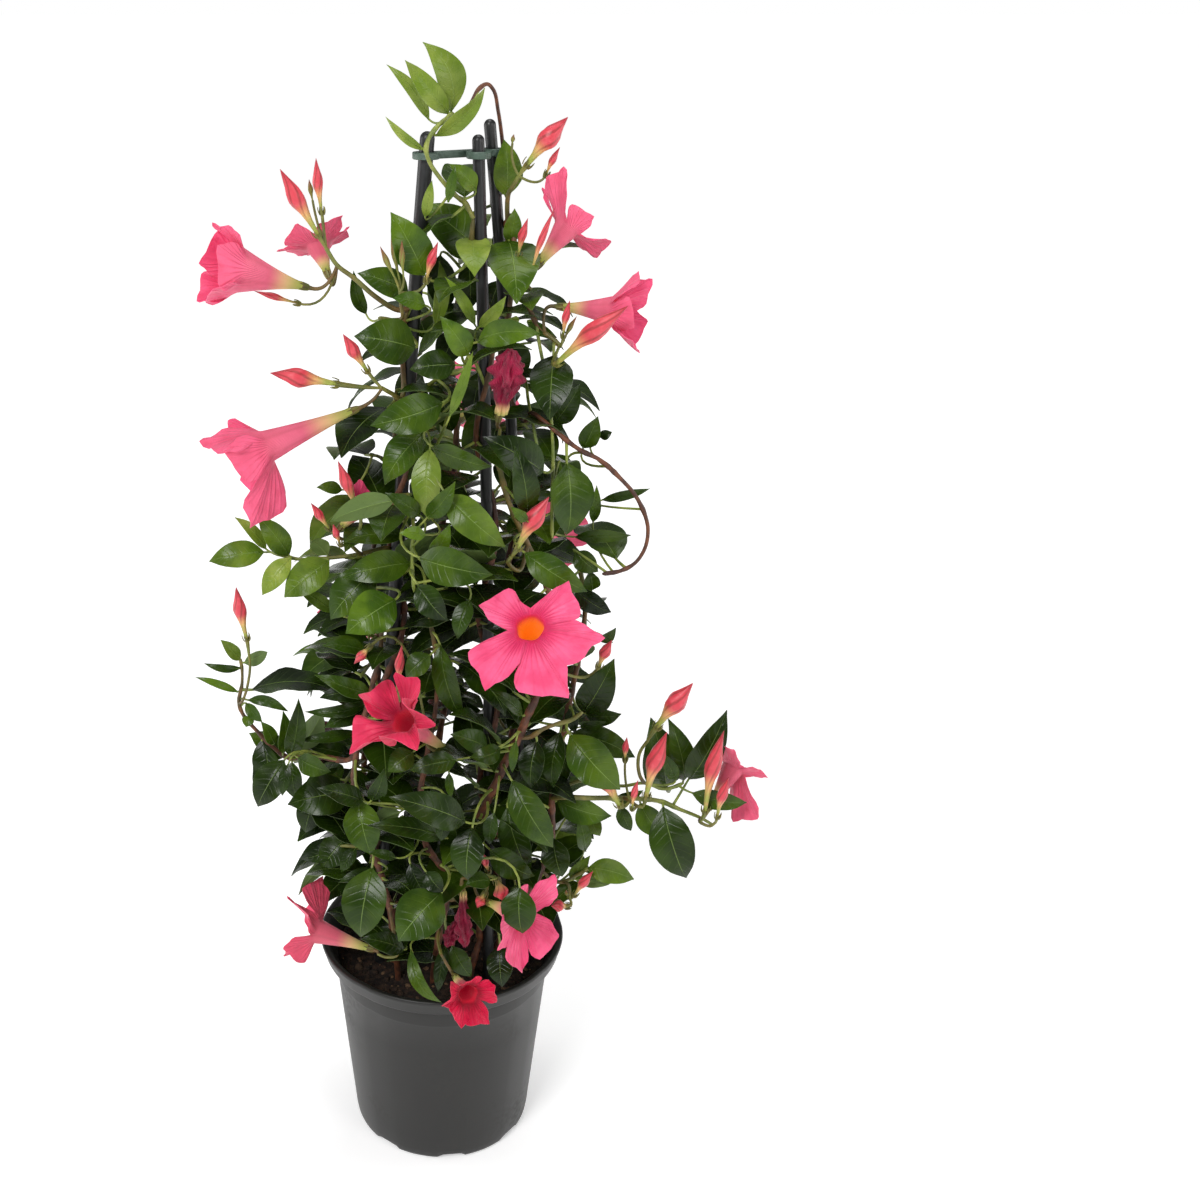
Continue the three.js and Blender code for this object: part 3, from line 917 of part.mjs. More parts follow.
// ---------------------------------------------------------------- side stems by rule
const shoots = [];
SHOOTS.forEach(({ vine, z, step, reach }, v) => {
  for (let height = z[0], k = 0; height <= z[1]; height += step, k++) {
    const from = stems[vine].points.reduce((best, p) =>
      Math.abs(p.z - height) < Math.abs(best.z - height) ? p : best,
    );
    const middle = LEAN * from.z;
    const seed = v * 100 + k;
    const swing = SHOOT.swing[0] + SHOOT.swing[1] * draw(seed);
    const away = Math.atan2(from.y, from.x - middle) + (k % 2 ? 1 : -1) * swing;
    const far = girth(from.z + SHOOT.rise) * reach;
    for (const turn of SHOOT.tries) {
      const angle = away + THREE.MathUtils.degToRad(turn);
      const rise = SHOOT.rise * (SHOOT.riseLeast + SHOOT.riseMore * draw(seed + 50));
      const to = new THREE.Vector3(middle + Math.cos(angle) * far, Math.sin(angle) * far, from.z + rise);
      const half = from.clone().lerp(to, 0.5).add(new THREE.Vector3(0, 0, SHOOT.sag));
      const stem = { owner: vine, points: [from, half, to],
        radii: taper(...SHOOT.r, 3), sides: TWIG_SIDES };
      if (!isClear(stemSolid(stem, MEET), vine)) continue;
      const name = `${vine}_shoot_${k}`;
      addStem(name, vine, stem.points, SHOOT.r, TWIG_SIDES);
      shoots.push(name);
      break;
    }
  }
});

// ---------------------------------------------------------------- buds, calyxes, blooms
// A bud and the pedicel it hangs by, from the spray's stalk.
function budSolid(from, base, tip, radius) {
  const small = radius < BUD.small;
  const rings = small ? BUD.smallRings : BUD.rings;
  const points = [from, ...rings.map(([t]) => base.clone().lerp(tip, t))];
  const radii = [BUD.pedicel, ...rings.map(([, share]) => Math.max(radius * share, BUD.thinnest))];
  return solidOf(tube(points, radii, small ? BUD.smallSides : BUD.sides));
}

function calyxFoot(calyx, mouth) {
  return calyx.clone().sub(mouth).setLength(CALYX.length).add(calyx);
}

function corollaSolid({ calyx, mouth, throat, lobes }) {
  const start = mark(...calyx);
  const centre = mark(...mouth);
  const axis = centre.clone().sub(start).normalize();
  start.addScaledVector(axis, MEET);
  const high = new THREE.Vector3(0, 0, 1).addScaledVector(axis, -axis.z).normalize();
  const side = new THREE.Vector3().crossVectors(axis, high);
  const radial = (degrees) => {
    const angle = THREE.MathUtils.degToRad(degrees);
    return high.clone().multiplyScalar(Math.cos(angle)).addScaledVector(side, Math.sin(angle));
  };
  const sorted = [...lobes].sort((a, b) => ((a[0] + 720) % 360) - ((b[0] + 720) % 360));
  const angles = sorted.map(([angle]) => (angle + 720) % 360);
  const notches = angles.map((angle, i) => {
    const before = i ? angles[i - 1] : angles.at(-1) - 360;
    return (angle + before) / 2;
  });
  const points = [];
  const ring = (t, radius, spokes) =>
    spokes.map((spoke) => {
      points.push(start.clone().lerp(centre, t).addScaledVector(radial(spoke), radius));
      return points.length - 1;
    });
  const foot = ring(0, COROLLA.foot, angles);
  const waist = ring(COROLLA.waistAt, COROLLA.waist + throat * COROLLA.waistShare, angles);
  const rim = ring(1, throat, angles.flatMap((angle, i) => [notches[i], angle]));
  const faces = [];
  for (let k = 0; k < 5; k++) {
    const next = (k + 1) % 5;
    const [here, notch, there] = [rim[2 * k + 1], rim[(2 * k + 2) % 10], rim[(2 * k + 3) % 10]];
    faces.push([foot[k], foot[next], waist[next]], [foot[k], waist[next], waist[k]]);
    faces.push([waist[k], notch, here], [waist[k], waist[next], notch], [waist[next], there, notch]);
  }
  const notchPoints = sorted.map(([, length, flare], i) => {
    const before = sorted[(i + 4) % 5];
    const lean = THREE.MathUtils.degToRad((flare + before[2]) / 2);
    const out = COROLLA.notch * Math.min(length, before[1]);
    points.push(
      centre
        .clone()
        .addScaledVector(radial(notches[i]), throat + out * Math.cos(lean))
        .addScaledVector(axis, out * Math.sin(lean)),
    );
    return points.length - 1;
  });
  sorted.forEach(([angle, length, flare], i) => {
    const lean = THREE.MathUtils.degToRad(flare);
    const outward = radial(angle).multiplyScalar(Math.cos(lean)).addScaledVector(axis, Math.sin(lean));
    const across = new THREE.Vector3().crossVectors(axis, radial(angle));
    const root = centre.clone().addScaledVector(radial(angle), throat);
    const gap = ((angles[(i + 1) % 5] - angle + 360) % 360) / 2;
    const room = Math.min(gap, COROLLA.halfSector) / COROLLA.halfSector;
    const corner = ([out, share], slim) => {
      const at = root.clone().addScaledVector(outward, length * out);
      points.push(at.addScaledVector(across, length * share * slim));
      return points.length - 1;
    };
    const left = corner(COROLLA.left, room);
    const tip = corner(COROLLA.tip, 1);
    const right = corner(COROLLA.right, room);
    const [from, middle, to] = [rim[2 * i], rim[2 * i + 1], rim[(2 * i + 2) % 10]];
    const end = notchPoints[(i + 1) % 5];
    const begin = notchPoints[i];
    faces.push([from, left, begin], [from, middle, left], [middle, tip, left]);
    faces.push([middle, right, tip], [middle, to, right], [to, end, right]);
  });
  return solidOf(thicken(points, faces, PETAL));
}

function wiltedSolid(from, to, width) {
  const base = mark(...from);
  const tip = mark(...to);
  base.addScaledVector(tip.clone().sub(base).normalize(), MEET);
  const radius = (width * unitAt(base)) / 2;
  const points = WILT.radii.map((_, i) => {
    const sway = new THREE.Vector3(draw(i + 7) - 0.5, draw(i + 17) - 0.5, 0);
    const at = base.clone().lerp(tip, i / (WILT.radii.length - 1));
    return at.add(sway.multiplyScalar(radius * WILT.sway));
  });
  return solidOf(tube(points, WILT.radii.map((share) => share * radius), WILT.sides));
}

for (const [name, { parent, r, marks, buds }] of Object.entries(SPRAYS)) {
  const owner = stems[parent].owner;
  const way = marks.map((m) => mark(...m));
  const stalk = [rootOn(parent, way[0], r[0]), ...way];
  const pieces = [solidOf(tube(stalk, taper(...r, stalk.length), STEM_SIDES))];
  const hold = (target) => byDistance(way, target)[0];
  for (const [bx, by, tx, ty, width, front, lean] of buds) {
    const base = mark(bx, by, front);
    const tip = mark(tx, ty, front + lean);
    const radius = (width * unitAt(base)) / 2;
    pieces.push(budSolid(hold(base), base, tip, radius));
  }
  const ends = [
    ...Object.values(BLOOMS).filter((b) => b.spray === name).map((b) => [b.calyx, b.mouth]),
    ...Object.values(WILTED).filter((w) => w[0] === name).map((w) => [w[1], w[2]]),
  ];
  for (const [from, to] of ends) {
    const [calyx, mouth] = [mark(...from), mark(...to)];
    const foot = calyxFoot(calyx, mouth);
    pieces.push(solidOf(tube([hold(foot), foot, calyx], [BUD.pedicel, CALYX.neck, CALYX.mouth],
      STEM_SIDES)));
  }
  let spray = wasm.Manifold.union(pieces);
  for (const stem of Object.values(stems).filter((s) => s.owner === owner)) {
    spray = spray.subtract(stemSolid(stem, MEET + SLIVER));
  }
  place(name, oneBody([spray]));
}
for (const [name, bloom] of Object.entries(BLOOMS)) place(name, corollaSolid(bloom));
for (const [name, [, from, to, width]] of Object.entries(WILTED)) place(name, wiltedSolid(from, to,
  width));

// ---------------------------------------------------------------- leaves
function leafGeometry({ root, base, tip, width, normal, sway, arch }, grow = 0) {
  const along = tip.clone().sub(base);
  const length = along.length();
  along.normalize();
  const up = normal.clone().addScaledVector(along, -normal.dot(along)).normalize();
  const side = new THREE.Vector3().crossVectors(up, along);
  const points = [];
  const thickness = [];
  const add = (p, thick) => {
    points.push(p);
    thickness.push(thick + 2 * grow);
    return points.length - 1;
  };
  const toNeck = base.clone().sub(root);
  const petiole = toNeck.length();
  const turn = new THREE.Quaternion().setFromUnitVectors(along, toNeck.normalize());
  const rootSide = petiole > LEAF.shortPetiole ? side.clone().applyQuaternion(turn) : side;
  const rootHalf = LEAF.rootHalf + grow;
  const atRoot = (s) => add(root.clone().addScaledVector(rootSide, s * rootHalf), LEAF.rootThick);
  const rows = [[1, -1].map(atRoot)];
  if (petiole > LEAF.shortPetiole) {
    const neckHalf = LEAF.neckHalf + grow;
    rows.push([1, -1].map((s) => add(base.clone().addScaledVector(side, s * neckHalf), LEAF.neckThick)));
  }
  const small = width < LEAF.small;
  (small ? LEAF.smallStations : LEAF.stations).forEach(([t, share], k) => {
    const hump = 4 * t * (1 - t) * length;
    const middle = base.clone().lerp(tip, t).addScaledVector(up, arch * hump);
    middle.addScaledVector(side, sway * hump);
    const reach = (width / 2) * share + grow;
    rows.push(
      (k || small ? [1, -1] : [1, 0, -1]).map((s) => {
        const raised = Math.abs(s) * reach * LEAF.fold;
        return add(middle.clone().addScaledVector(side, s * reach).addScaledVector(up, raised), BLADE);
      }),
    );
  });
  rows.push([add(tip.clone().addScaledVector(along, grow), LEAF.tipThick)]);
  const faces = rows.slice(1).flatMap((row, i) => lace(rows[i], row));
  return thicken(points, faces, thickness);
}

const SEATS = { at: [0.3, 0.7], tried: 6 }; // shares of a stem's piece, and how many seats a leaf tries

// Where a leaf may grow on a stem: clear of the rings of its tube.
function seatsOf(points) {
  return points.slice(1).flatMap((p, i) => SEATS.at.map((t) => points[i].clone().lerp(p, t))).slice(2);
}

// The stem seats a leaf's base may grow from, nearest first, each with its node and stem.
function anchors(base) {
  return Object.entries(stems)
    .flatMap(([name, { owner, points }]) =>
      seatsOf(points).map((point) => ({ name, owner, point, far: point.distanceTo(base) })),
    )
    .sort((a, b) => a.far - b.far)
    .slice(0, SEATS.tried);
}

function tryLeaf(leaf, owner, strict) {
  if (!isClear(solidOf(leafGeometry(leaf, MEET)), owner, strict)) return false;
  place(owner, solidOf(leafGeometry(leaf)), true);
  return true;
}

function facingNormal(base, tip, roll) {
  const along = tip.clone().sub(base).normalize();
  const toEye = vec(VIEW.eye).sub(base);
  const facing = toEye.addScaledVector(along, -toEye.dot(along)).normalize();
  return facing.applyAxisAngle(along, THREE.MathUtils.degToRad(roll));
}

// A leaf that stands clear nowhere on its sight line is left out.
function placeSetOutLeaf(row, frontOf) {
  const [bx, by, tx, ty, units, , lean, roll, sway, arch] = row;
  for (const strict of [true, false]) {
    for (const shift of SHIFTS) {
      const front = frontOf(row) + shift;
      const base = mark(bx, by, front);
      const tip = mark(tx, ty, front + lean);
      const width = units * unitAt(base);
      const normal = facingNormal(base, tip, roll);
      const grew = anchors(base).some(({ owner, point }) =>
        tryLeaf({ root: point, base, tip, width, normal, sway, arch }, owner, strict),
      );
      if (grew) return;
    }
  }
}
const frontFirst = [...BUSH_LEAVES].sort((a, b) => b[5] - a[5]);
for (const row of SPRIG_LEAVES) placeSetOutLeaf(row, ([, , , , , front]) => front);
for (const row of frontFirst) placeSetOutLeaf(row, ([bx, by, , , , layer]) => -markInBush(bx, by,
  layer).y);

// A least value and what a draw adds to it.
function between([least, more], rolled) {
  return least + more * rolled;
}

function crownShare(height) {
  return height > CROWN.from ? CROWN.share : 1;
}

function placePair(owner, point, heading, seed) {
  [-1, 1].forEach((sign, s) => {
    const grown = PAIR.length * between(PAIR.vary, draw(seed * 2 + s)) * crownShare(point.z);
    for (const turn of PAIR.tries) {
      const angle = heading + THREE.MathUtils.degToRad(sign * PAIR.spread + turn);
      const fall = PAIR.droop + PAIR.droopVary * (draw(seed * 2 + s + 31) - 0.4);
      const along = new THREE.Vector3(Math.cos(angle), Math.sin(angle), fall).normalize();
      const base = point.clone().addScaledVector(along, PAIR.petiole);
      const tip = base.clone().addScaledVector(along, grown);
      const out = Math.hypot(tip.x - LEAN * tip.z, tip.y);
      if (tip.z < POT.height + PAIR.overSoil || out > girth(tip.z) * PAIR.most) continue;
      if (tip.y < PAIR.frontFrom && out > girth(tip.z) * PAIR.frontMost) continue;
      const normal = new THREE.Vector3(Math.cos(angle) * PAIR.tilt, Math.sin(angle) * PAIR.tilt, 1);
      const leaf = { root: point, base, tip, width: grown * PAIR.slim, normal, sway: 0, arch: PAIR.arch };
      if (tryLeaf(leaf, owner, true)) return;
    }
  });
}
shoots.forEach((name, i) => {
  const { owner, points } = stems[name];
  for (const at of [2, 1]) {
    const ahead = points[at].clone().sub(points[at - 1]);
    const seat = points[at - 1].clone().lerp(points[at], 0.9);
    placePair(owner, seat, Math.atan2(ahead.y, ahead.x) + (at === 1 ? Math.PI / 2 : 0), i * 7 + at);
  }
});

function fillLeaf(k) {
  const roll = (n) => draw(k * 8 + n + 5000);
  const angle = 2 * Math.PI * roll(0);
  const height = FILL.z[0] + (FILL.z[1] - FILL.z[0]) * roll(1);
  const [near, far] = Math.sin(angle) > 0 ? FILL.far : FILL.inside;
  const out = girth(height) * (near + (far - near) * roll(2));
  const base = new THREE.Vector3(LEAN * height + Math.cos(angle) * out, Math.sin(angle) * out, height);
  const heading = angle + THREE.MathUtils.degToRad(FILL.swing * (2 * roll(3) - 1));
  const along = new THREE.Vector3(Math.cos(heading), Math.sin(heading), between(FILL.fall,
    roll(4))).normalize();
  const grown = PAIR.length * between(FILL.vary, roll(5)) * crownShare(height);
  const tip = base.clone().addScaledVector(along, grown);
  const normal = new THREE.Vector3(Math.cos(heading) * FILL.tilt, Math.sin(heading) * FILL.tilt, 1);
  return { base, tip, width: grown * PAIR.slim, normal, sway: 0, arch: PAIR.arch };
}

for (let k = 0, filled = 0; k < FILL.tries && filled < FILL.most; k++) {
  const leaf = fillLeaf(k);
  if (leaf.tip.z < POT.height + FILL.overSoil) continue;
  const seats = anchors(leaf.base).filter(({ far }) => far < FILL.reach);
  if (seats.some(({ owner, point }) => tryLeaf({ root: point, ...leaf }, owner, true))) filled++;
}

// ---------------------------------------------------------------- the scene graph
const FINISH = {
  pot: [0x3c3d3f, 0.42], soil: [0x1d1612, 0.95], cane: [0x17181a, 0.45], clip: [0x4f6257, 0.5],
  vine: [0x3f6a26, 0.4], spray: [0xb5603f, 0.5], bloom: [0xf25d8c, 0.6],
};
const mandevilla = new THREE.Group();
for (const [name, solids] of Object.entries(owned)) {
  const [color, roughness] = FINISH[name.split("_")[0]];
  const material = new THREE.MeshStandardMaterial({ color, roughness, metalness: 0 });
  const mesh = new THREE.Mesh(geometryOf(oneBody(solids)), material);
  mesh.name = name;
  mandevilla.add(mesh);
}

export default mandevilla;
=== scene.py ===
"""A climbing mandevilla in its nursery pot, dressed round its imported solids.

The plan of the plant, in millimetres and in units of a front elevation, is the one that the solids
were made from. Where the plan leaves a choice open, such as which stem a leaf grew from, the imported
solids settle it. Every piece is made in metres, in the frame of the solids.
"""

from __future__ import annotations

import json
import logging
import math
import sys
from collections.abc import Iterable, Sequence
from dataclasses import dataclass, field, replace
from enum import Enum

import bpy
import numpy as np
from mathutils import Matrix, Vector
from mathutils.bvhtree import BVHTree
from mathutils.kdtree import KDTree

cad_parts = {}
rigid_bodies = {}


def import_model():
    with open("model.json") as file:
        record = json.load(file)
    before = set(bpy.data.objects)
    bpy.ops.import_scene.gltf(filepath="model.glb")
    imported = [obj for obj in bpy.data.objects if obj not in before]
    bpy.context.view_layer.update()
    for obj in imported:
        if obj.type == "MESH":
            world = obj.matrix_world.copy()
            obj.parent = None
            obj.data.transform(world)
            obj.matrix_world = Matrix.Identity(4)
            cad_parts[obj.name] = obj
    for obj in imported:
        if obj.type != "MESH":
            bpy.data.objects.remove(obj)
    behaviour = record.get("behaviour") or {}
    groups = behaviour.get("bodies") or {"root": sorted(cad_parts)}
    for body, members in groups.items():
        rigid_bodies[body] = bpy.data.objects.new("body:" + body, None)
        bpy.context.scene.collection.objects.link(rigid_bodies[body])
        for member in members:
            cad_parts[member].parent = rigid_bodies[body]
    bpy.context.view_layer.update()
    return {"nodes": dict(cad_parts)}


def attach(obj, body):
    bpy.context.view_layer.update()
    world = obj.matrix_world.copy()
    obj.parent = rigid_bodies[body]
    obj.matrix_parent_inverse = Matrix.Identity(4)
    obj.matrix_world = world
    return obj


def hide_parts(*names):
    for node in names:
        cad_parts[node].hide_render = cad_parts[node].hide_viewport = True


LOG = logging.getLogger("mandevilla")
MM = 0.001
TURN = 2 * math.pi
MEET = 0.35  # gap between a corolla and its calyx, mm
SOIL_TOP = 135.0
FOOT_DEPTH = 22.0  # how deep a stem stands in the soil, mm
PETALS = 5  # lobes of a flower, and sepals
TWINE_STEPS = 6  # corners that the solids give a turn round a cane

Numbers = tuple[float, ...]
LeafRow = tuple[float, ...]
Inputs = dict[str | int, object]
Colour = tuple[float, float, float, float]


# ---------------------------------------------------------------- the plan
@dataclass(frozen=True)
class CanePlan:
    """A plastic cane: its radius, and three points of its axis from foot to top."""

    name: str
    radius: float
    foot: Numbers
    knee: Numbers
    top: Numbers

    def at(self, share: float) -> np.ndarray:
        """The axis at a share of its run, with the knee at a half.

        Args:
            share: The share, from 0 at the foot to 1 at the top.

        Returns:
            The point.
        """
        foot, knee, top = (np.array(p, float) for p in (self.foot, self.knee, self.top))
        control = 2 * knee - (foot + top) / 2
        back = 1 - share
        return back * back * foot + 2 * back * share * control + share * share * top

    def at_height(self, height: float) -> np.ndarray:
        """The axis at a height in mm.

        Args:
            height: The height.

        Returns:
            The point.
        """
        low, high = 0.0, 1.0
        for _ in range(40):
            middle = (low + high) / 2
            if self.at(middle)[2] < height:
                low = middle
            else:
                high = middle
        return self.at(low)


@dataclass(frozen=True)
class VinePlan:
    """A vine from the soil. One with a cane twines round it, and a free one runs through marks."""

    name: str
    foot: Numbers
    radii: Numbers
    cane: str = ""
    heights: Numbers = ()
    turns: float = 0.0
    phase: float = 0.0
    marks: tuple[Numbers, ...] = ()


@dataclass(frozen=True)
class StemPlan:
    """A side stem that grows from the nearest point of its parent through its marks."""

    name: str
    parent: str
    radii: Numbers
    marks: tuple[Numbers, ...]


@dataclass(frozen=True)
class ShootRun:
    """Side stems by rule: one from a vine at every step of height."""

    vine: str
    lowest: float
    highest: float
    step: float
    reach: float


@dataclass(frozen=True)
class SprayPlan:
    """A flower stalk and its buds: across and down of base and tip, width, front, lean."""

    name: str
    parent: str
    radii: Numbers
    marks: tuple[Numbers, ...]
    buds: tuple[Numbers, ...] = ()


@dataclass(frozen=True)
class BloomPlan:
    """A corolla: its calyx, the middle of its mouth, the mouth's radius in mm and its lobes.

    A lobe is its angle about the flower's axis from the highest side, its length and its flare.
    Depth of colour runs from pale pink at 0 to crimson at 1.
    """

    name: str
    spray: str
    calyx: Numbers
    mouth: Numbers
    throat: float
    lobes: tuple[Numbers, ...]
    depth: float = 0.4
    curl: float = 0.16
    ruffle: float = 0.05
    seed: int = 1


@dataclass(frozen=True)
class WiltedPlan:
    """A spent corolla that hangs rolled up, from its calyx to its end."""

    name: str
    spray: str
    calyx: Numbers
    end: Numbers
    width: float


def star(phase: float, length: float, flare: float) -> tuple[Numbers, ...]:
    """Five lobes alike, a fifth of a turn apart."""
    return tuple((phase + 72 * k, length, flare) for k in range(PETALS))


CANES: tuple[CanePlan, ...] = (
    CanePlan("cane_left", 4.2, (-46, -18, 12), (-34, -18, 330), (-7.7, -12, 687)),
    CanePlan("cane_front", 3.5, (31, -38, 12), (30, -30, 330), (20.3, -8, 685)),
    CanePlan("cane_back", 3.5, (46, 20, 12), (52, 20, 330), (27, 9, 692)),
)
VINES: tuple[VinePlan, ...] = (
    VinePlan("vine_left", foot=(-34, -20), radii=(2.3, 1.5), cane="cane_left", heights=(165, 590), turns=3.6,
        phase=0.3),
    VinePlan("vine_front", foot=(20, -38), radii=(2.3, 1.4), cane="cane_front", heights=(165, 640), turns=4.2,
        phase=2.6),
    VinePlan("vine_back", foot=(40, 30), radii=(2.3, 1.5), cane="cane_back", heights=(165, 648), turns=3.8,
        phase=3.4),
    VinePlan("vine_centre", foot=(6, -16), radii=(2.5, 1.5), marks=((466, 880, 30), (472, 838, 46),
        (484, 808, 60), (497, 780, 68), (508, 756, 74), (519, 737, 78), (527, 717, 80), (536, 698, 78),
        (549, 668, 66), (556, 630, 52), (548, 590, 46), (528, 545, 42), (508, 500, 40), (496, 452, 36))),
    VinePlan("vine_low_right", foot=(34, -26), radii=(2.4, 1.4), marks=((522, 905, 44), (541, 870, 50),
        (551, 838, 52), (552, 797, 50), (558, 760, 42), (566, 718, 36), (574, 680, 30), (582, 640, 26),
        (585, 600, 22), (578, 560, 18))),
    VinePlan("vine_low_left", foot=(-30, -40), radii=(2.2, 1.2), marks=((389, 905, 54), (380, 872, 54),
        (366, 830, 56), (354, 790, 58), (358, 745, 58), (371, 690, 56), (381, 645, 48), (378, 600, 42),
        (368, 565, 38))),
    VinePlan("vine_low_front", foot=(-6, -46), radii=(2.2, 1.1), marks=((441, 925, 62), (447, 898, 68),
        (446, 872, 72), (436, 860, 73), (425, 842, 72), (420, 800, 68), (426, 760, 62), (434, 720, 58),
        (437, 690, 54), (436, 655, 50), (430, 620, 46), (424, 580, 44))),
    VinePlan("vine_rear", foot=(2, 40), radii=(2.4, 1.4), marks=((446, 870, -46), (436, 770, -48),
        (450, 660, -44), (438, 560, -42), (456, 450, -34), (452, 350, -26), (462, 270, -20))),
    VinePlan("vine_rear_left", foot=(-34, 22), radii=(2.2, 1.3), marks=((376, 860, -28), (364, 760, -34),
        (380, 660, -30), (372, 560, -24), (392, 470, -22), (396, 390, -16))),
)
SIDE_STEMS: tuple[StemPlan, ...] = (
    StemPlan("top_stem", "vine_front", radii=(1.3, 1), marks=((465, 203, 14), (455, 195, 20), (440, 178, 24),
        (430, 163, 26), (426, 150, 26), (429, 138, 24), (437, 127, 21), (446, 119, 16), (452, 113, 12))),
    StemPlan("arch", "vine_back", radii=(1.3, 0.9), marks=((504, 190, -14), (503, 150, -21), (501, 130, -20),
        (498, 110, -12), (494, 91, -5), (487, 84, -2), (478, 90, 0), (470, 104, 2), (462, 112, 2))),
    StemPlan("right_stem", "vine_back", radii=(1.6, 1.1), marks=((511, 216, -3), (514, 235, 0), (513, 262, 6),
        (520, 290, 10), (530, 310, 14), (538, 326, 16), (552, 338, 18), (560, 347, 20))),
    StemPlan("hanging_long", "right_stem", radii=(1.1, 0.9), marks=((538, 336, 18), (548, 390, 28),
        (553, 450, 36), (552, 500, 42), (552, 540, 46))),
    StemPlan("hanging_short", "vine_back", radii=(1.1, 0.9), marks=((522, 375, 0), (529, 405, 22),
        (538, 450, 34))),
    StemPlan("woody_loop", "vine_back", radii=(1.4, 1.1), marks=((522, 420, 4), (532, 413, 26),
        (546, 423, 36), (560, 435, 40), (580, 450, 42), (600, 460, 40), (620, 478, 38), (635, 495, 36),
        (645, 515, 34), (648, 530, 34), (645, 548, 35), (635, 563, 36), (620, 571, 38), (602, 574, 38))),
    StemPlan("left_sprig", "vine_left", radii=(1.5, 0.9), marks=((388, 548, 16), (360, 554, 24),
        (329, 558, 27), (298, 559, 27), (270, 552, 27))),
    StemPlan("low_left_sprig", "vine_low_left", radii=(1.7, 0.8), marks=((348, 760, 50), (322, 757, 44),
        (300, 757, 38), (287, 757, 36), (273, 747, 36), (257, 731, 36), (244, 716, 36), (239, 703, 36),
        (242, 684, 36), (242, 669, 36), (240, 658, 36))),
    StemPlan("right_branch", "vine_low_right", radii=(1.9, 0.9), marks=((562, 797, 58), (590, 798, 60),
        (621, 798, 62), (659, 801, 62), (679, 809, 62), (701, 818, 62), (713, 825, 62))),
    StemPlan("right_branch_upper", "vine_low_right", radii=(1.3, 0.9), marks=((565, 787, 50), (580, 781, 50),
        (600, 782, 52), (622, 786, 54), (645, 783, 56), (665, 789, 56), (684, 783, 56))),
    StemPlan("right_cluster", "vine_centre", radii=(1.4, 1), marks=((530, 737, 78), (543, 729, 80),
        (557, 724, 78), (571, 720, 76), (583, 712, 74))),
    StemPlan("low_right_twig", "vine_low_right", radii=(1.2, 0.8), marks=((552, 880, 52), (562, 882, 56),
        (573, 877, 58), (590, 868, 58))),
    StemPlan("low_left_twig", "vine_low_left", radii=(1.2, 0.9), marks=((368, 850, 52), (352, 846, 48),
        (340, 846, 44))),
    StemPlan("centre_pale", "vine_front", radii=(1.1, 0.9), marks=((470, 355, 20), (461, 385, 30),
        (450, 412, 36), (440, 440, 42))),
    StemPlan("left_pale", "vine_left", radii=(1.1, 0.9), marks=((404, 496, 22), (413, 520, 44),
        (412, 560, 54), (414, 592, 56))),
    StemPlan("rear_stem", "vine_rear", radii=(1.4, 1), marks=((462, 600, -52), (490, 588, -60),
        (515, 580, -64))),
    StemPlan("upper_twig", "vine_left", radii=(1.2, 0.9), marks=((405, 330, 18), (392, 320, 24),
        (378, 318, 26))),
)
SHOOT_RUNS: tuple[ShootRun, ...] = (
    ShootRun("vine_left", lowest=240, highest=560, step=100, reach=0.6),
    ShootRun("vine_back", lowest=205, highest=600, step=78, reach=0.64),
    ShootRun("vine_rear", lowest=195, highest=590, step=46, reach=0.68),
    ShootRun("vine_rear_left", lowest=190, highest=500, step=52, reach=0.68),
)
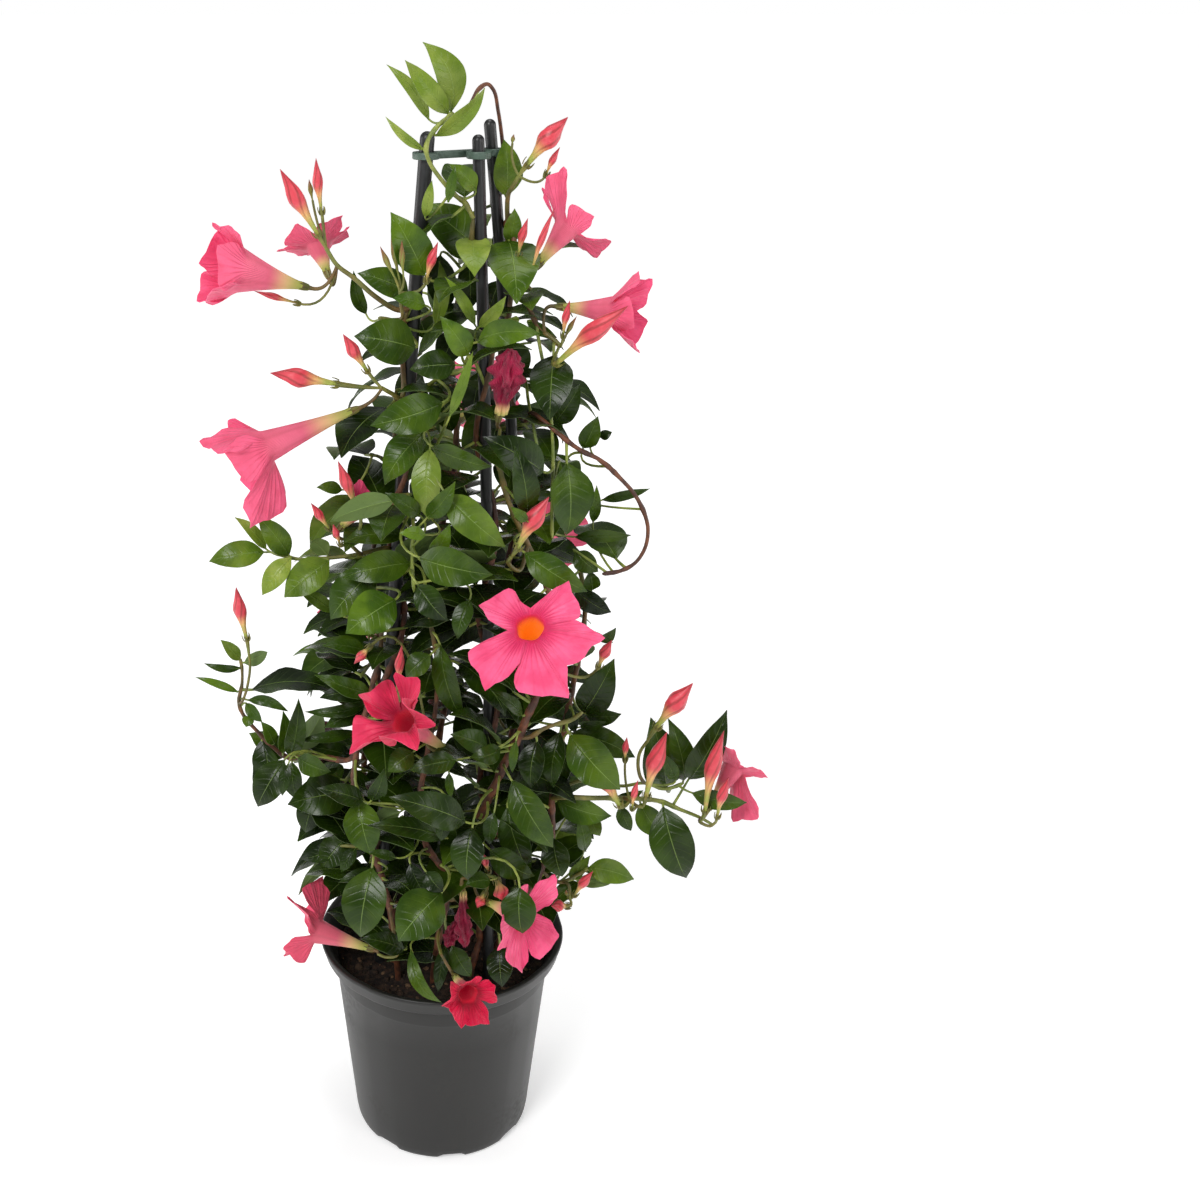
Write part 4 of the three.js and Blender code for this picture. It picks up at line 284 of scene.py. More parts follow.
BUSH_LEAVES: tuple[LeafRow, ...] = (
    (451, 112, 424, 42, 30, 0.3, 2, 15, -0.16, 0.08), (449, 114, 406, 60, 22, 0.45, 6, 20, 0.05, 0.08),
    (429, 120, 387, 65, 13, 0.5, 4, 0, -0.08, 0.1), (424, 150, 386, 117, 9, 0.5, 4, 0, 0.06, 0.1),
    (436, 136, 486, 90, 20, 0.6, 4, 35, 0, 0.1), (476, 190, 450, 164, 20, 0.35, 6, 20, 0, 0.12),
    (506, 196, 505, 140, 30, -0.2, 2, 20, 0, 0.1), (424, 275, 392, 213, 38, 0.45, 6, 10, 0, 0.12),
    (486, 257, 421, 204, 45, -0.3, 0, 15, 0, 0.12), (425, 217, 432, 181, 11, 0.6, 4, 0, 0, 0.1),
    (448, 202, 455, 166, 10, 0.6, 2, 0, 0, 0.05), (408, 292, 358, 273, 28, 0.55, 8, 15, 0, 0.15),
    (366, 314, 354, 271, 14, 0.4, 4, 10, 0.1, 0.1), (425, 305, 393, 298, 18, 0.8, 8, 20, 0, 0.12),
    (435, 325, 441, 262, 18, 0.2, 0, 35, 0, 0.1), (475, 325, 446, 277, 12, 0.6, 4, 20, 0, 0.1),
    (479, 327, 506, 297, 14, 0.7, 6, 20, 0, 0.12), (468, 355, 441, 317, 25, 0.9, 8, 10, 0, 0.16),
    (478, 342, 540, 334, 26, 0.85, 8, 10, 0.14, 0.2, 0.42), (527, 322, 557, 338, 12, 0.4, 4, 10, 0, 0.1),
    (509, 243, 515, 209, 18, 0, 2, 15, 0, 0.1), (415, 348, 355, 336, 45, 0.55, 10, 10, 0, 0.15),
    (455, 365, 410, 369, 30, 0.7, 6, 15, 0, 0.12), (442, 403, 371, 425, 38, 0.8, 12, 5, 0.05, 0.15),
    (425, 432, 384, 484, 36, 0.6, 10, 25, 0, 0.14), (430, 449, 428, 520, 30, 0.85, 10, 15, 0, 0.14),
    (432, 447, 491, 468, 24, 0.85, 10, 30, 0.05, 0.14), (543, 472, 484, 437, 36, 0.8, 10, 10, 0, 0.16),
    (527, 512, 516, 447, 27, 0.95, 6, 15, 0, 0.14), (428, 517, 455, 483, 20, 0.95, 8, 15, 0, 0.14),
    (450, 416, 473, 352, 11, 0.9, 4, 10, 0, 0.05), (553, 424, 580, 385, 24, 0.3, 4, 15, 0, 0.12),
    (583, 448, 598, 417, 20, 0.3, 4, 10, 0, 0.12), (600, 437, 612, 432, 10, 0.2, 2, 0, 0, 0.1),
    (560, 462, 557, 508, 11, 0.6, 4, 10, 0, 0.1), (565, 468, 572, 523, 25, 0.6, 6, 20, 0, 0.14),
    (602, 500, 650, 489, 10, 0.3, 4, 10, 0, 0.08), (575, 537, 631, 536, 14, 0.35, 6, 20, 0.05, 0.12),
    (593, 522, 597, 486, 11, 0.4, 4, 10, 0, 0.1), (525, 553, 587, 592, 30, 0.95, 10, 10, 0, 0.16),
    (575, 552, 598, 572, 22, 0.5, 4, 15, 0, 0.12), (592, 590, 590, 571, 17, 0.6, 2, 10, 0, 0.1),
    (527, 521, 511, 507, 10, 0.95, 4, 0, 0, 0.1), (529, 520, 543, 508, 9, 0.95, 4, 0, 0, 0.1),
    (342, 490, 317, 487, 13, 0.3, 4, 20, 0, 0.12), (395, 500, 330, 521, 26, 0.55, 8, 160, 0, 0.12),
    (420, 515, 386, 493, 18, 0.85, 8, 10, 0, 0.14), (447, 495, 505, 547, 34, 0.95, 12, 10, 0, 0.16),
    (425, 535, 400, 533, 14, 0.9, 6, 15, 0, 0.12), (432, 556, 450, 525, 18, 0.95, 8, 15, 0, 0.14),
    (405, 535, 343, 541, 24, 0.65, 8, 25, 0, 0.14), (410, 563, 343, 577, 32, 0.85, 12, 10, 0, 0.15),
    (375, 571, 330, 619, 40, 0.6, 10, 15, 0, 0.15), (395, 600, 346, 633, 44, 0.8, 14, 10, 0, 0.16),
    (420, 558, 492, 575, 38, 0.9, 14, 10, 0, 0.16), (418, 585, 447, 621, 28, 0.95, 10, 15, 0, 0.15),
    (470, 600, 457, 639, 20, 0.9, 8, 20, 0, 0.14), (367, 652, 323, 645, 16, 0.5, 8, 25, 0, 0.14),
    (350, 792, 288, 804, 40, 0.45, 10, 10, 0, 0.16), (363, 801, 318, 788, 21, 0.8, 10, 10, 0, 0.14),
    (372, 800, 384, 770, 18, 0.9, 6, 20, 0, 0.12), (316, 796, 305, 833, 26, 0.2, 6, 15, 0, 0.12),
    (345, 832, 299, 858, 19, 0.35, 8, 15, 0.2, 0.2), (358, 800, 371, 855, 36, 0.85, 12, 10, 0, 0.16),
    (346, 838, 322, 869, 30, 0.4, 8, 15, 0, 0.14), (347, 852, 298, 893, 16, 0.35, 8, 150, 0, 0.14),
    (356, 848, 341, 872, 14, 0.55, 6, 15, 0, 0.12), (352, 757, 308, 747, 18, 0.35, 8, 15, 0, 0.14),
    (357, 732, 299, 740, 12, 0.4, 8, 15, 0.05, 0.1), (370, 712, 324, 727, 20, 0.5, 8, 20, 0, 0.12),
    (369, 702, 305, 711, 13, 0.5, 8, 15, 0.12, 0.12), (370, 692, 316, 674, 20, 0.6, 10, 25, 0.14, 0.18),
    (371, 693, 320, 697, 22, 0.45, 8, 20, 0, 0.14), (430, 655, 406, 678, 24, 0.75, 4, 20, 0, 0.14),
    (440, 645, 463, 720, 26, 0.6, 6, 25, 0, 0.14), (500, 748, 470, 757, 20, 0.85, 6, 20, 0.2, 0.2),
    (487, 748, 451, 734, 24, 0.8, 6, 15, 0, 0.14), (456, 760, 410, 770, 22, 0.95, 8, 10, 0, 0.14),
    (413, 752, 388, 772, 24, 0.9, 8, 10, 0, 0.14), (465, 822, 390, 797, 34, 0.85, 12, 10, 0, 0.16),
    (445, 838, 368, 825, 22, 0.8, 12, 20, 0, 0.14), (400, 812, 370, 828, 20, 0.7, 6, 150, 0, 0.14),
    (449, 773, 451, 798, 9, 0.9, 4, 10, 0, 0.1), (446, 816, 441, 841, 15, 0.98, 4, 10, 0, 0.12),
    (472, 828, 467, 880, 34, 0.92, 10, 15, 0, 0.16), (494, 813, 489, 845, 15, 0.92, 4, 15, 0, 0.12),
    (512, 781, 553, 848, 34, 0.92, 12, 10, 0, 0.16), (507, 808, 530, 872, 30, 0.75, 10, 20, 0, 0.14),
    (537, 741, 531, 788, 27, 0.85, 8, 20, 0, 0.14), (560, 732, 552, 788, 24, 0.8, 8, 20, 0, 0.14),
    (570, 752, 560, 786, 18, 0.55, 4, 20, 0, 0.12), (516, 741, 512, 773, 9, 0.95, 4, 10, 0, 0.1),
    (583, 712, 614, 660, 34, 0.75, 8, 10, 0, 0.16), (586, 714, 621, 715, 20, 0.55, 6, 30, 0, 0.12),
    (570, 708, 575, 733, 13, 0.8, 4, 10, 0, 0.1), (580, 727, 606, 722, 10, 0.7, 4, 20, 0, 0.1),
    (570, 735, 620, 790, 42, 0.7, 14, 10, 0, 0.16), (572, 733, 635, 758, 28, 0.5, 10, 15, 0.1, 0.14),
    (573, 739, 597, 784, 20, 0.75, 6, 30, 0, 0.12), (557, 800, 611, 817, 28, 0.55, 10, 20, 0, 0.14),
    (588, 812, 600, 836, 18, 0.45, 4, 20, 0, 0.12), (584, 850, 578, 815, 16, 0.6, 4, 20, 0, 0.12),
    (553, 838, 562, 877, 28, 0.75, 6, 15, 0, 0.14), (522, 716, 492, 690, 14, 0.85, 4, 25, 0, 0.14),
    (575, 590, 611, 613, 22, 0.6, 4, 20, 0, 0.12), (598, 640, 616, 628, 13, 0.5, 2, 40, 0, 0.2),
    (372, 868, 360, 938, 44, 0.9, 14, 10, 0, 0.16), (378, 873, 339, 882, 14, 0.8, 8, 20, 0, 0.14),
    (441, 893, 398, 941, 48, 0.98, 14, 10, 0, 0.16), (396, 858, 368, 852, 10, 0.9, 4, 15, 0, 0.1),
    (410, 864, 425, 895, 18, 0.85, 6, 15, 0, 0.12), (426, 872, 443, 892, 20, 0.9, 6, 15, 0, 0.12),
    (515, 885, 527, 932, 30, 0.9, 8, 10, 0, 0.14), (490, 880, 466, 884, 18, 0.95, 6, 20, 0, 0.12),
    (490, 850, 534, 877, 28, 0.8, 10, 20, 0, 0.14), (556, 875, 528, 899, 26, 0.5, 6, 20, 0, 0.14),
)
SPRIG_LEAVES: tuple[LeafRow, ...] = (
    (266, 549, 236, 517, 14, 27, 4, 30, 0, 0.1), (289, 555, 258, 516, 24, 27, 4, 10, 0, 0.1),
    (264, 552, 209, 561, 27, 27, 4, 15, 0, 0.12), (291, 558, 262, 595, 22, 27, 6, 15, 0, 0.12),
    (329, 561, 284, 597, 34, 27, 8, 10, 0, 0.12), (334, 612, 296, 587, 14, 24, 4, 10, 0, 0.1),
    (328, 555, 311, 540, 18, 24, 4, 160, 0, 0.1), (240, 660, 221, 640, 13, 36, 3, 15, 0, 0.1),
    (244, 663, 268, 652, 14, 36, 3, 160, 0, 0.08), (241, 668, 204, 663, 8, 36, 3, 10, 0.1, 0.1),
    (238, 692, 195.7, 677, 8, 36, 3, 10, 0, 0.1), (246, 703, 262, 722, 12, 36, 4, 20, 0, 0.1),
    (250, 716, 246, 727, 12, 36, 4, 10, 0, 0.1), (248, 700, 288, 712, 11, 38, 4, 10, 0.12, 0.1),
    (274, 744, 262, 722, 14, 38, 4, 20, 0, 0.1), (283, 753, 284, 712, 17, 40, 4, 25, 0, 0.12),
    (290, 756, 299, 700, 20, 44, 6, 15, 0, 0.12), (298, 750, 322, 712, 24, 34, 2, 160, 0, 0.12),
    (262, 740, 255, 793, 30, 34, 6, 20, 0.22, 0.12), (284, 757, 250, 733, 26, 30, 2, 20, 0, 0.1),
    (284, 760, 257, 807, 32, 44, 8, 10, 0, 0.14), (288, 764, 282, 796, 12, 46, 6, 10, 0, 0.1),
    (292, 762, 297, 800, 20, 34, 6, 20, 0, 0.12), (298, 758, 330, 772, 22, 42, 8, 20, 0, 0.12),
    (640, 803, 664, 837, 26, 56, 6, 20, 0, 0.14), (663, 807, 686, 879, 43, 66, 10, 10, 0, 0.16),
    (692, 793, 747, 803, 20, 52, 2, 20, 0, 0.12), (620, 806, 631, 831, 15, 62, 4, 15, 0, 0.12),
    (666, 787, 652, 720, 42, 54, 6, 10, 0, 0.14), (684, 780, 670, 720, 26, 48, 2, 20, 0, 0.12),
    (689, 779, 727, 711, 30, 58, 6, 15, 0, 0.14), (676, 780, 660, 752, 14, 60, 4, 10, 0, 0.1),
    (615, 801, 643, 791, 12, 56, 4, 20, 0, 0.1), (588, 868, 634, 880, 25, 60, 6, 15, 0.1, 0.14),
    (576, 880, 619, 878, 14, 54, 4, 160, 0, 0.1), (570, 878, 590, 856, 13, 52, 4, 10, 0, 0.1),
    (578, 882, 552, 905, 18, 48, 4, 20, 0, 0.12), (404, 950, 362, 938, 22, 68, 6, 20, 0, 0.12),
    (411, 950, 441, 1003, 14, 76, 16, 10, -0.12, 0.2), (446, 946, 438, 992, 14, 74, 12, 10, 0, 0.14),
    (452, 946, 471, 977, 22, 70, 6, 20, 0, 0.12), (500, 946, 502, 987, 26, 74, 12, 10, 0, 0.14),
)
FRONT_LEAVES: tuple[LeafRow, ...] = (
    (520, 888, 522, 934, 37, 118, 8, 20, 0, 0.12),
)
CROWN_LEAVES: tuple[LeafRow, ...] = (
    (440, 255, 446, 312, 30, -10, -6, 10, 0, 0.12), (468, 262, 470, 310, 26, -16, 4, -15, 0, 0.1),
    (500, 330, 470, 355, 30, -20, -5, 12, 0, 0.12), (505, 345, 528, 372, 28, -22, -8, -10, 0, 0.1),
    (440, 378, 452, 432, 32, -14, -6, 12, 0, 0.12), (478, 372, 468, 425, 28, -24, 5, -18, 0, 0.1),
    (415, 300, 428, 340, 26, -8, -5, 10, 0, 0.12), (420, 395, 405, 430, 26, -18, -6, 15, 0, 0.1),
    (490, 430, 512, 470, 30, -20, -8, -12, 0, 0.12), (450, 470, 436, 520, 32, -22, -5, 10, 0, 0.1),
    (500, 225, 512, 262, 24, -14, -6, 12, 0, 0.1), (455, 330, 440, 366, 28, -26, 4, -10, 0, 0.1),
    (500, 280, 486, 322, 28, -20, -6, 12, 0, 0.1), (470, 505, 488, 552, 34, -24, -8, -12, 0, 0.12),
    (426, 545, 412, 590, 32, -24, -6, 12, 0, 0.12), (520, 480, 540, 520, 32, -24, -8, 10, 0, 0.12),
)
CROWN_SHIFTS: Numbers = (0, 8, -8, 16, -16, 24, -24, 34, -34, 44, -44)
SPRAYS: tuple[SprayPlan, ...] = (
    SprayPlan("spray_left_top", "vine_left", radii=(1.7, 1.2), marks=((398, 310, 22), (376, 297, 27),
        (354, 278, 30), (337, 265, 32), (326, 248, 33)), buds=((319, 236, 280, 169, 19, 34, 6),
        (322, 214, 316, 158, 12, 30, 2), (313, 203, 309, 179, 6, 27, 0), (300, 304, 254, 291, 8, 24, 4))),
    SprayPlan("spray_left_mid", "vine_left", radii=(1.6, 1.2), marks=((402, 398, 26), (391, 393, 34),
        (382, 388, 38)), buds=((368, 372, 343, 334, 15, 38, 6), (338, 384, 270, 373, 22, 40, 10))),
    SprayPlan("spray_left_low", "left_sprig", radii=(1.3, 1.1), marks=((358, 552, 34), (352, 546, 38),
        (347, 540, 40)), buds=((359, 512, 338, 461, 14, 54, 4), (330, 530, 311, 503, 10, 36, 2),
        (341, 546, 333, 524, 8, 42, 2))),
    SprayPlan("spray_far_left", "low_left_sprig", radii=(0.9, 0.8), marks=((243, 700, 42), (247, 688, 43),
        (250, 668, 43), (249, 655, 43)), buds=((247, 640, 236, 587, 15, 43, 4),)),
    SprayPlan("spray_top_right", "vine_back", radii=(1.5, 1.2), marks=((508, 196, 4), (513, 186, 8),
        (519, 176, 10)), buds=((526, 166, 568, 117, 23, 11, 6), (545, 177, 560, 147, 8, 8, 2),
        (512, 146, 514, 134, 5, 4, 0))),
    SprayPlan("spray_right_upper", "right_stem", radii=(1.4, 1.2), marks=((517, 275, 14), (522, 268, 16),
        (526, 284, 18), (531, 290, 18)), buds=((518, 258, 528, 218, 10, 18, 4),
        (530, 278, 555, 208, 8, 26, 4))),
    SprayPlan("spray_right", "right_stem", radii=(1.4, 1.1), marks=((545, 333, 24), (553, 339, 27),
        (560, 345, 30)), buds=((556, 364, 628, 306, 22, 40, 22), (563, 338, 570, 300, 9, 44, 2),
        (563, 342, 577, 316, 6, 38, 4))),
    SprayPlan("spray_centre_top", "upper_twig", radii=(1.2, 1), marks=((402, 318, 30), (401, 305, 34),
        (400, 292, 36)), buds=((396, 280, 380, 246, 7, 36, 4), (400, 282, 391, 232, 7, 32, 2),
        (404, 280, 402, 240, 7, 38, 4), (426, 283, 438, 242, 11, 34, 2))),
    SprayPlan("spray_centre", "vine_centre", radii=(1.3, 1), marks=((497, 448, 42), (499, 438, 46),
        (500, 428, 48))),
    SprayPlan("spray_middle", "vine_centre", radii=(1.4, 1.1), marks=((520, 570, 54), (508, 562, 66),
        (512, 556, 70)), buds=((517, 549, 549, 497, 22, 72, 4),)),
    SprayPlan("spray_star", "vine_centre", radii=(1.5, 1.2), marks=((553, 668, 72), (549, 672, 78),
        (545, 672, 80)), buds=((598, 668, 612, 640, 13, 60, 4),)),
    SprayPlan("spray_front", "vine_low_front", radii=(1.4, 1.1), marks=((428, 745, 72), (440, 752, 76),
        (449, 750, 78)), buds=((399, 690, 402, 645, 11, 70, 2), (371, 645, 354, 664, 11, 64, 2))),
    SprayPlan("spray_foot_left", "vine_low_left", radii=(1.2, 1), marks=((394, 935, 60), (397, 955, 64),
        (386, 957, 62), (378, 954, 58))),
    SprayPlan("spray_foot_front", "vine_low_front", radii=(1.3, 1), marks=((452, 900, 74), (460, 888, 80),
        (474, 884, 84), (487, 880, 86), (489, 877, 86)), buds=((489, 873, 483, 853, 9, 86, 2),
        (496, 878, 505, 902, 18, 88, 4), (486, 892, 477, 908, 13, 88, 4))),
    SprayPlan("spray_foot_low", "vine_low_front", radii=(1.2, 1), marks=((438, 938, 70), (441, 954, 82))),
    SprayPlan("spray_foot_right", "low_right_twig", radii=(1.1, 0.9), marks=((568, 884, 60), (570, 892, 63),
        (570, 899, 64)), buds=((574, 896, 593, 871, 11, 64, 4), (570, 906, 551, 906, 14, 65, 4),
        (568, 898, 566, 890, 5, 62, 0))),
    SprayPlan("spray_rear_high", "vine_rear", radii=(1.3, 1.1), marks=((457, 440, -42), (458, 432, -50)),
        buds=((455, 420, 446, 380, 18, -56, -8), (450, 424, 432, 404, 9, -54, -6))),
    SprayPlan("spray_rear_left", "vine_rear_left", radii=(1.3, 1.1), marks=((382, 650, -46), (385, 640, -60)),
        buds=((390, 632, 402, 590, 17, -66, -8), (394, 636, 412, 618, 9, -66, -8))),
    SprayPlan("spray_rear_right", "rear_stem", radii=(1.2, 1), marks=((522, 570, -72), (528, 566, -77)),
        buds=((526, 556, 518, 516, 18, -78, -8),)),
    SprayPlan("spray_branch_near", "right_branch", radii=(1.3, 1.1), marks=((630, 801, 68), (637, 806, 72),
        (643, 807, 74)), buds=((646, 798, 667, 732, 20, 74, 4), (620, 806, 596, 761, 22, 72, 4),
        (632, 810, 638, 780, 8, 76, 2), (625, 762, 627, 737, 8, 66, 0))),
    SprayPlan("spray_branch_far", "right_branch_upper", radii=(1.2, 1), marks=((640, 776, 60), (638, 764, 61),
        (640, 752, 62), (648, 740, 62)), buds=((656, 728, 693, 683, 22, 62, 4),)),
    SprayPlan("spray_branch_end", "right_branch", radii=(1.1, 0.9), marks=((700, 822, 68), (710, 826, 70),
        (716, 822, 70)), buds=((705, 812, 724, 731, 18, 72, 4), (717, 818, 729, 777, 12, 74, 4))),
)
BLOOMS: tuple[BloomPlan, ...] = (
    BloomPlan("bloom_upper_left", "spray_left_top", calyx=(302, 286, 34), mouth=(240, 271, 46), throat=12,
        lobes=((0, 19, 56, 10), (75, 18, 70), (150, 19, 62), (215, 18, 62), (285, 17, 74)), curl=0.1),
    BloomPlan("bloom_behind_left", "spray_left_top", calyx=(327, 272, 20), mouth=(318, 246, 12), throat=7,
        lobes=star(10, 15, 15), depth=0.5, ruffle=0.1),
    BloomPlan("bloom_middle_left", "spray_left_mid", calyx=(352, 411, 40), mouth=(268, 446, 52), throat=9,
        lobes=((-10, 32, 72), (75, 24, 46), (150, 34, 18, -45), (205, 36, 24, 50), (285, 24, 62))),
    BloomPlan("bloom_upper_right", "spray_right_upper", calyx=(540, 263, 18), mouth=(566, 228, 10),
        throat=7.5, lobes=((5, 27, 34, 20, 0.6), (80, 12, 70), (172, 20, 4, -25), (235, 19, 14),
        (300, 19, 26))),
    BloomPlan("bloom_right", "spray_right", calyx=(563, 307, 24), mouth=(612, 311, 34), throat=8,
        lobes=((15, 21, 42), (90, 15, 72), (160, 20, 45), (230, 19, 48), (300, 21, 45))),
    BloomPlan("bloom_star", "spray_star", calyx=(543, 668, 80), mouth=(530, 628, 112), throat=8,
        lobes=((-102, 31, 4), (-42, 23.5, 10), (63, 21.5, 8), (148, 33, 4), (207, 37, 2)), curl=0.02,
        depth=0.28),
    BloomPlan("bloom_front", "spray_front", calyx=(444, 748, 80), mouth=(404, 722, 108), throat=7,
        lobes=((-60, 18, 62, 30), (5, 22, 46, -30), (70, 22, 44), (135, 25, 34, 14), (-130, 21, 56, -14)),
        depth=0.85, curl=-0.12, ruffle=0.34),
    BloomPlan("bloom_foot_left", "spray_foot_left", calyx=(368, 948, 56), mouth=(318, 931, 46), throat=8,
        lobes=((35, 26, 22, -35), (-25, 27, 30, 60, 0.6), (105, 22, 40), (165, 27, 30, 25),
        (240, 18, 34, 40)), depth=0.75),
    BloomPlan("bloom_foot_front", "spray_foot_low", calyx=(456, 978, 90), mouth=(468, 994, 114), throat=6,
        lobes=((0, 11, 50), (75, 15, 40), (140, 14, 40), (195, 15, 36), (280, 14, 44)), depth=1.0, curl=0.05,
        ruffle=0.16),
    BloomPlan("bloom_foot_right", "spray_foot_front", calyx=(490, 903, 90), mouth=(522, 917, 108), throat=8,
        lobes=((20, 16, 8), (90, 20, 10), (150, 23, 8), (215, 25, 10), (300, 22, 10)), depth=0.35),
    BloomPlan("bloom_branch", "spray_branch_end", calyx=(712, 804, 60), mouth=(733, 768, 48), throat=7,
        lobes=((10, 25, 2), (90, 14, 14), (165, 32, -56), (225, 15, 20), (285, 9, 40)), depth=0.5),
    BloomPlan("bloom_hidden", "spray_left_low", calyx=(342, 526, 36), mouth=(360, 508, 36), throat=6,
        lobes=star(0, 13, 30)),
    BloomPlan("bloom_rear_high", "spray_rear_high", calyx=(462, 420, -62), mouth=(474, 402, -96), throat=9,
        lobes=star(20, 23, 30)),
    BloomPlan("bloom_rear_left", "spray_rear_left", calyx=(384, 628, -74), mouth=(366, 612, -108), throat=9,
        lobes=star(-30, 24, 25)),
    BloomPlan("bloom_rear_right", "spray_rear_right", calyx=(532, 556, -84), mouth=(548, 537, -112), throat=8,
        lobes=star(10, 24, 35), curl=-0.05),
)
WILTED: tuple[WiltedPlan, ...] = (
    WiltedPlan("bloom_wilted_centre", "spray_centre", calyx=(499, 415, 50), end=(510, 350, 56), width=30),
    WiltedPlan("bloom_wilted_foot", "spray_foot_front", calyx=(462, 890, 88), end=(464, 946, 94), width=15),
    WiltedPlan("bloom_wilted_low", "spray_foot_front", calyx=(461, 914, 76), end=(446, 946, 80), width=13),
)
SHIFTS: Numbers = (0, 5, -5, 10, -10, 16, -16, 22, -22)  # tried along the sight line, mm
GIRTH: tuple[Numbers, ...] = (
    (120, 60), (190, 95), (240, 112), (300, 112), (380, 102), (450, 90), (520, 76), (600, 56),
    (680, 34), (740, 10),
)
LEAN = 12 / 680  # how far the bush's middle moves right for each mm of height
LEAF_FOLD = 0.16
SMALL_LEAF = 15.0
WIDEST_AT = 0.27
SMALL_WIDEST_AT = 0.4
SHOOT_RADII: Numbers = (1.2, 0.9)
SHOOT_RISE = 20.0
SHOOT_TRIES: Numbers = (0, 25, -25, 50, -50, 80, -80)
PAIR_LENGTH = 46.0
PAIR_SLIM = 0.54
PAIR_SPREAD = 58.0
PAIR_DROOP = -0.25
PAIR_TRIES: Numbers = (0, 24, -24, 48, -48, 76, -76, 110, -110)
FILL_TRIES = 900
FILL_HEIGHTS: Numbers = (176, 640)
FILL_FAR: Numbers = (0.4, 0.95)
FILL_INSIDE: Numbers = (0.15, 0.5)
FILL_SWING = 70.0
DEEP_STEP = 17.0  # between the pairs deep in the bush, mm
DEEP_HEIGHTS: Numbers = (150, 668)
DEEP_LENGTH = 52.0
DEEP_SLIM = 0.62
DEEP_TURNS: Numbers = (0, 25, -25, 50, -50, 75, -75)
DEEP_GIRTH = 0.98
CROWN_FROM = 560.0  # leaves by rule are smaller above this height
LOW_LIMIT = 160.0
NEW_GROWTH: tuple[Numbers, ...] = (  # side, height, reach and how young, where leaves are lighter
    (-118, 435, 50, 0.6), (108, 240, 22, 0.6), (160, 300, 45, 0.3), (55, 462, 20, 0.75),
    (-14, 478, 24, 0.5), (80, 470, 35, 0.4), (30, 600, 30, 0.8), (-128, 345, 30, 0.45),
)


# ---------------------------------------------------------------- numbers of the rules, mm and radians
OVER_SOIL = 8.0  # where a vine's free run starts, over the soil
TWINE_GAP = 1.1  # between a cane and its vine in the solids
HUG_GAP = 0.35  # and in the scene
HUG_STEPS = 5  # points of the scene for one corner of the solids
FREE_STEPS = 7
SIDE_STEPS = 6
FOOT_STEPS = 16
FREE_WOOD: Numbers = (0.95, 0.35)  # how woody a stem is at its foot and at its end
TWINED_WOOD: Numbers = (0.9, 0.4)
SHOOT_WOOD: Numbers = (0.4, 0.15)
USUAL_WOOD: Numbers = (0.45, 0.3)
SIDE_WOOD: dict[str, Numbers] = {
    "arch": (0.55, 0.8), "woody_loop": (0.5, 0.75), "right_branch": (0.4, 0.15),
    "right_branch_upper": (0.35, 0.15), "hanging_long": (0.15, 0.05), "top_stem": (0.3, 0.1),
    "centre_pale": (0.1, 0.0), "left_pale": (0.1, 0.0), "hanging_short": (0.2, 0.1),
    "left_sprig": (0.4, 0.2), "low_left_sprig": (0.7, 0.35), "right_stem": (0.5, 0.45),
}
JOIN_TESTS: Numbers = (0.5, 0.8)  # where along a stem it is looked for in the solids
JOIN_SLACK: Numbers = (1.05, 0.15)  # how far off it may be: a share of its radius, and more
ROOT_TRIES = 8
ROOT_TOUCH = 1.0
SAME_POINT = 2.5  # a first mark nearer than this to the root is the root
SHOOT_SWING: Numbers = (0.5, 0.8)  # the least turn from straight out, and what a draw adds
SHOOT_LIFT: Numbers = (0.7, 0.6)  # the least share of the usual rise, and what a draw adds
SHOOT_BOW = 3.0
SEAT_TRIES = 6
SEAT_NEAR = 6.0  # a seat this near to a leaf's base needs no petiole in the solids
SEAT_GAP = 0.85
HELD_REACH = 0.45
TOP_GROWTH: Numbers = (0.75, 560, 150)  # how young leaves are near the top, from where, and over what
GROWTH_EDGE = 1.6  # how far past its reach new growth fades out
ODD_YOUNG: Numbers = (0.34, 2.6)  # the share and the power of a leaf's own draw
FRONT_YOUNG = 0.2
CROWN_YOUNG = 0.1
PAIR_AT = 0.9  # where along a piece of a shoot its pair grows
PAIR_STALK = 6.0
PAIR_GROWN: Numbers = (0.78, 0.4)
PAIR_SWAY: Numbers = (0.7, 0.4)
PAIR_LIE = 0.5  # how far the face of a leaf by rule leans out
CROWN_SHARE = 0.8
FILL_LIE = 0.6
FILL_RISE: Numbers = (0.9, 0.65)
FILL_GROWN: Numbers = (0.8, 0.4)
RULE_ARCH = 0.1
DEEP_GROWN: Numbers = (0.72, 0.38)
DEEP_CROWN_SHARE = 0.86
DEEP_TURN = 1.9  # between one deep pair and the next
DEEP_AHEAD = 0.3
DEEP_OUTWARD = 0.45
DEEP_FALL = 0.5
DEEP_STALK: Numbers = (7, 9)  # the least, and what a draw adds
DEEP_LIE = 0.7
DEEP_YOUNG = 0.5
CLEAR_START = 3.5  # how far from its seat a leaf is first looked at for room
CLEAR_GAP = 1.2
LEAF_APART = 9.0  # leaves whose middles are farther apart than this never meet
FLAT_APART = 1.0
SIDE_APART = 0.75
VEIN_COUNT = 9.0  # side veins of a leaf
VEIN_SLANT = 1.6
VEIN_BEND = 1.25


# ---------------------------------------------------------------- measures
def unit(vector: np.ndarray) -> np.ndarray:
    """The vector at length one."""
    return vector / max(float(np.linalg.norm(vector)), 1e-12)


def distance(a: np.ndarray, b: np.ndarray) -> float:
    """How far apart two points are."""
    return float(np.linalg.norm(a - b))


def nearest(points: Iterable[np.ndarray], target: np.ndarray) -> np.ndarray:
    """The one of some points that is nearest to a target."""
    return min(points, key=lambda p: distance(p, target))


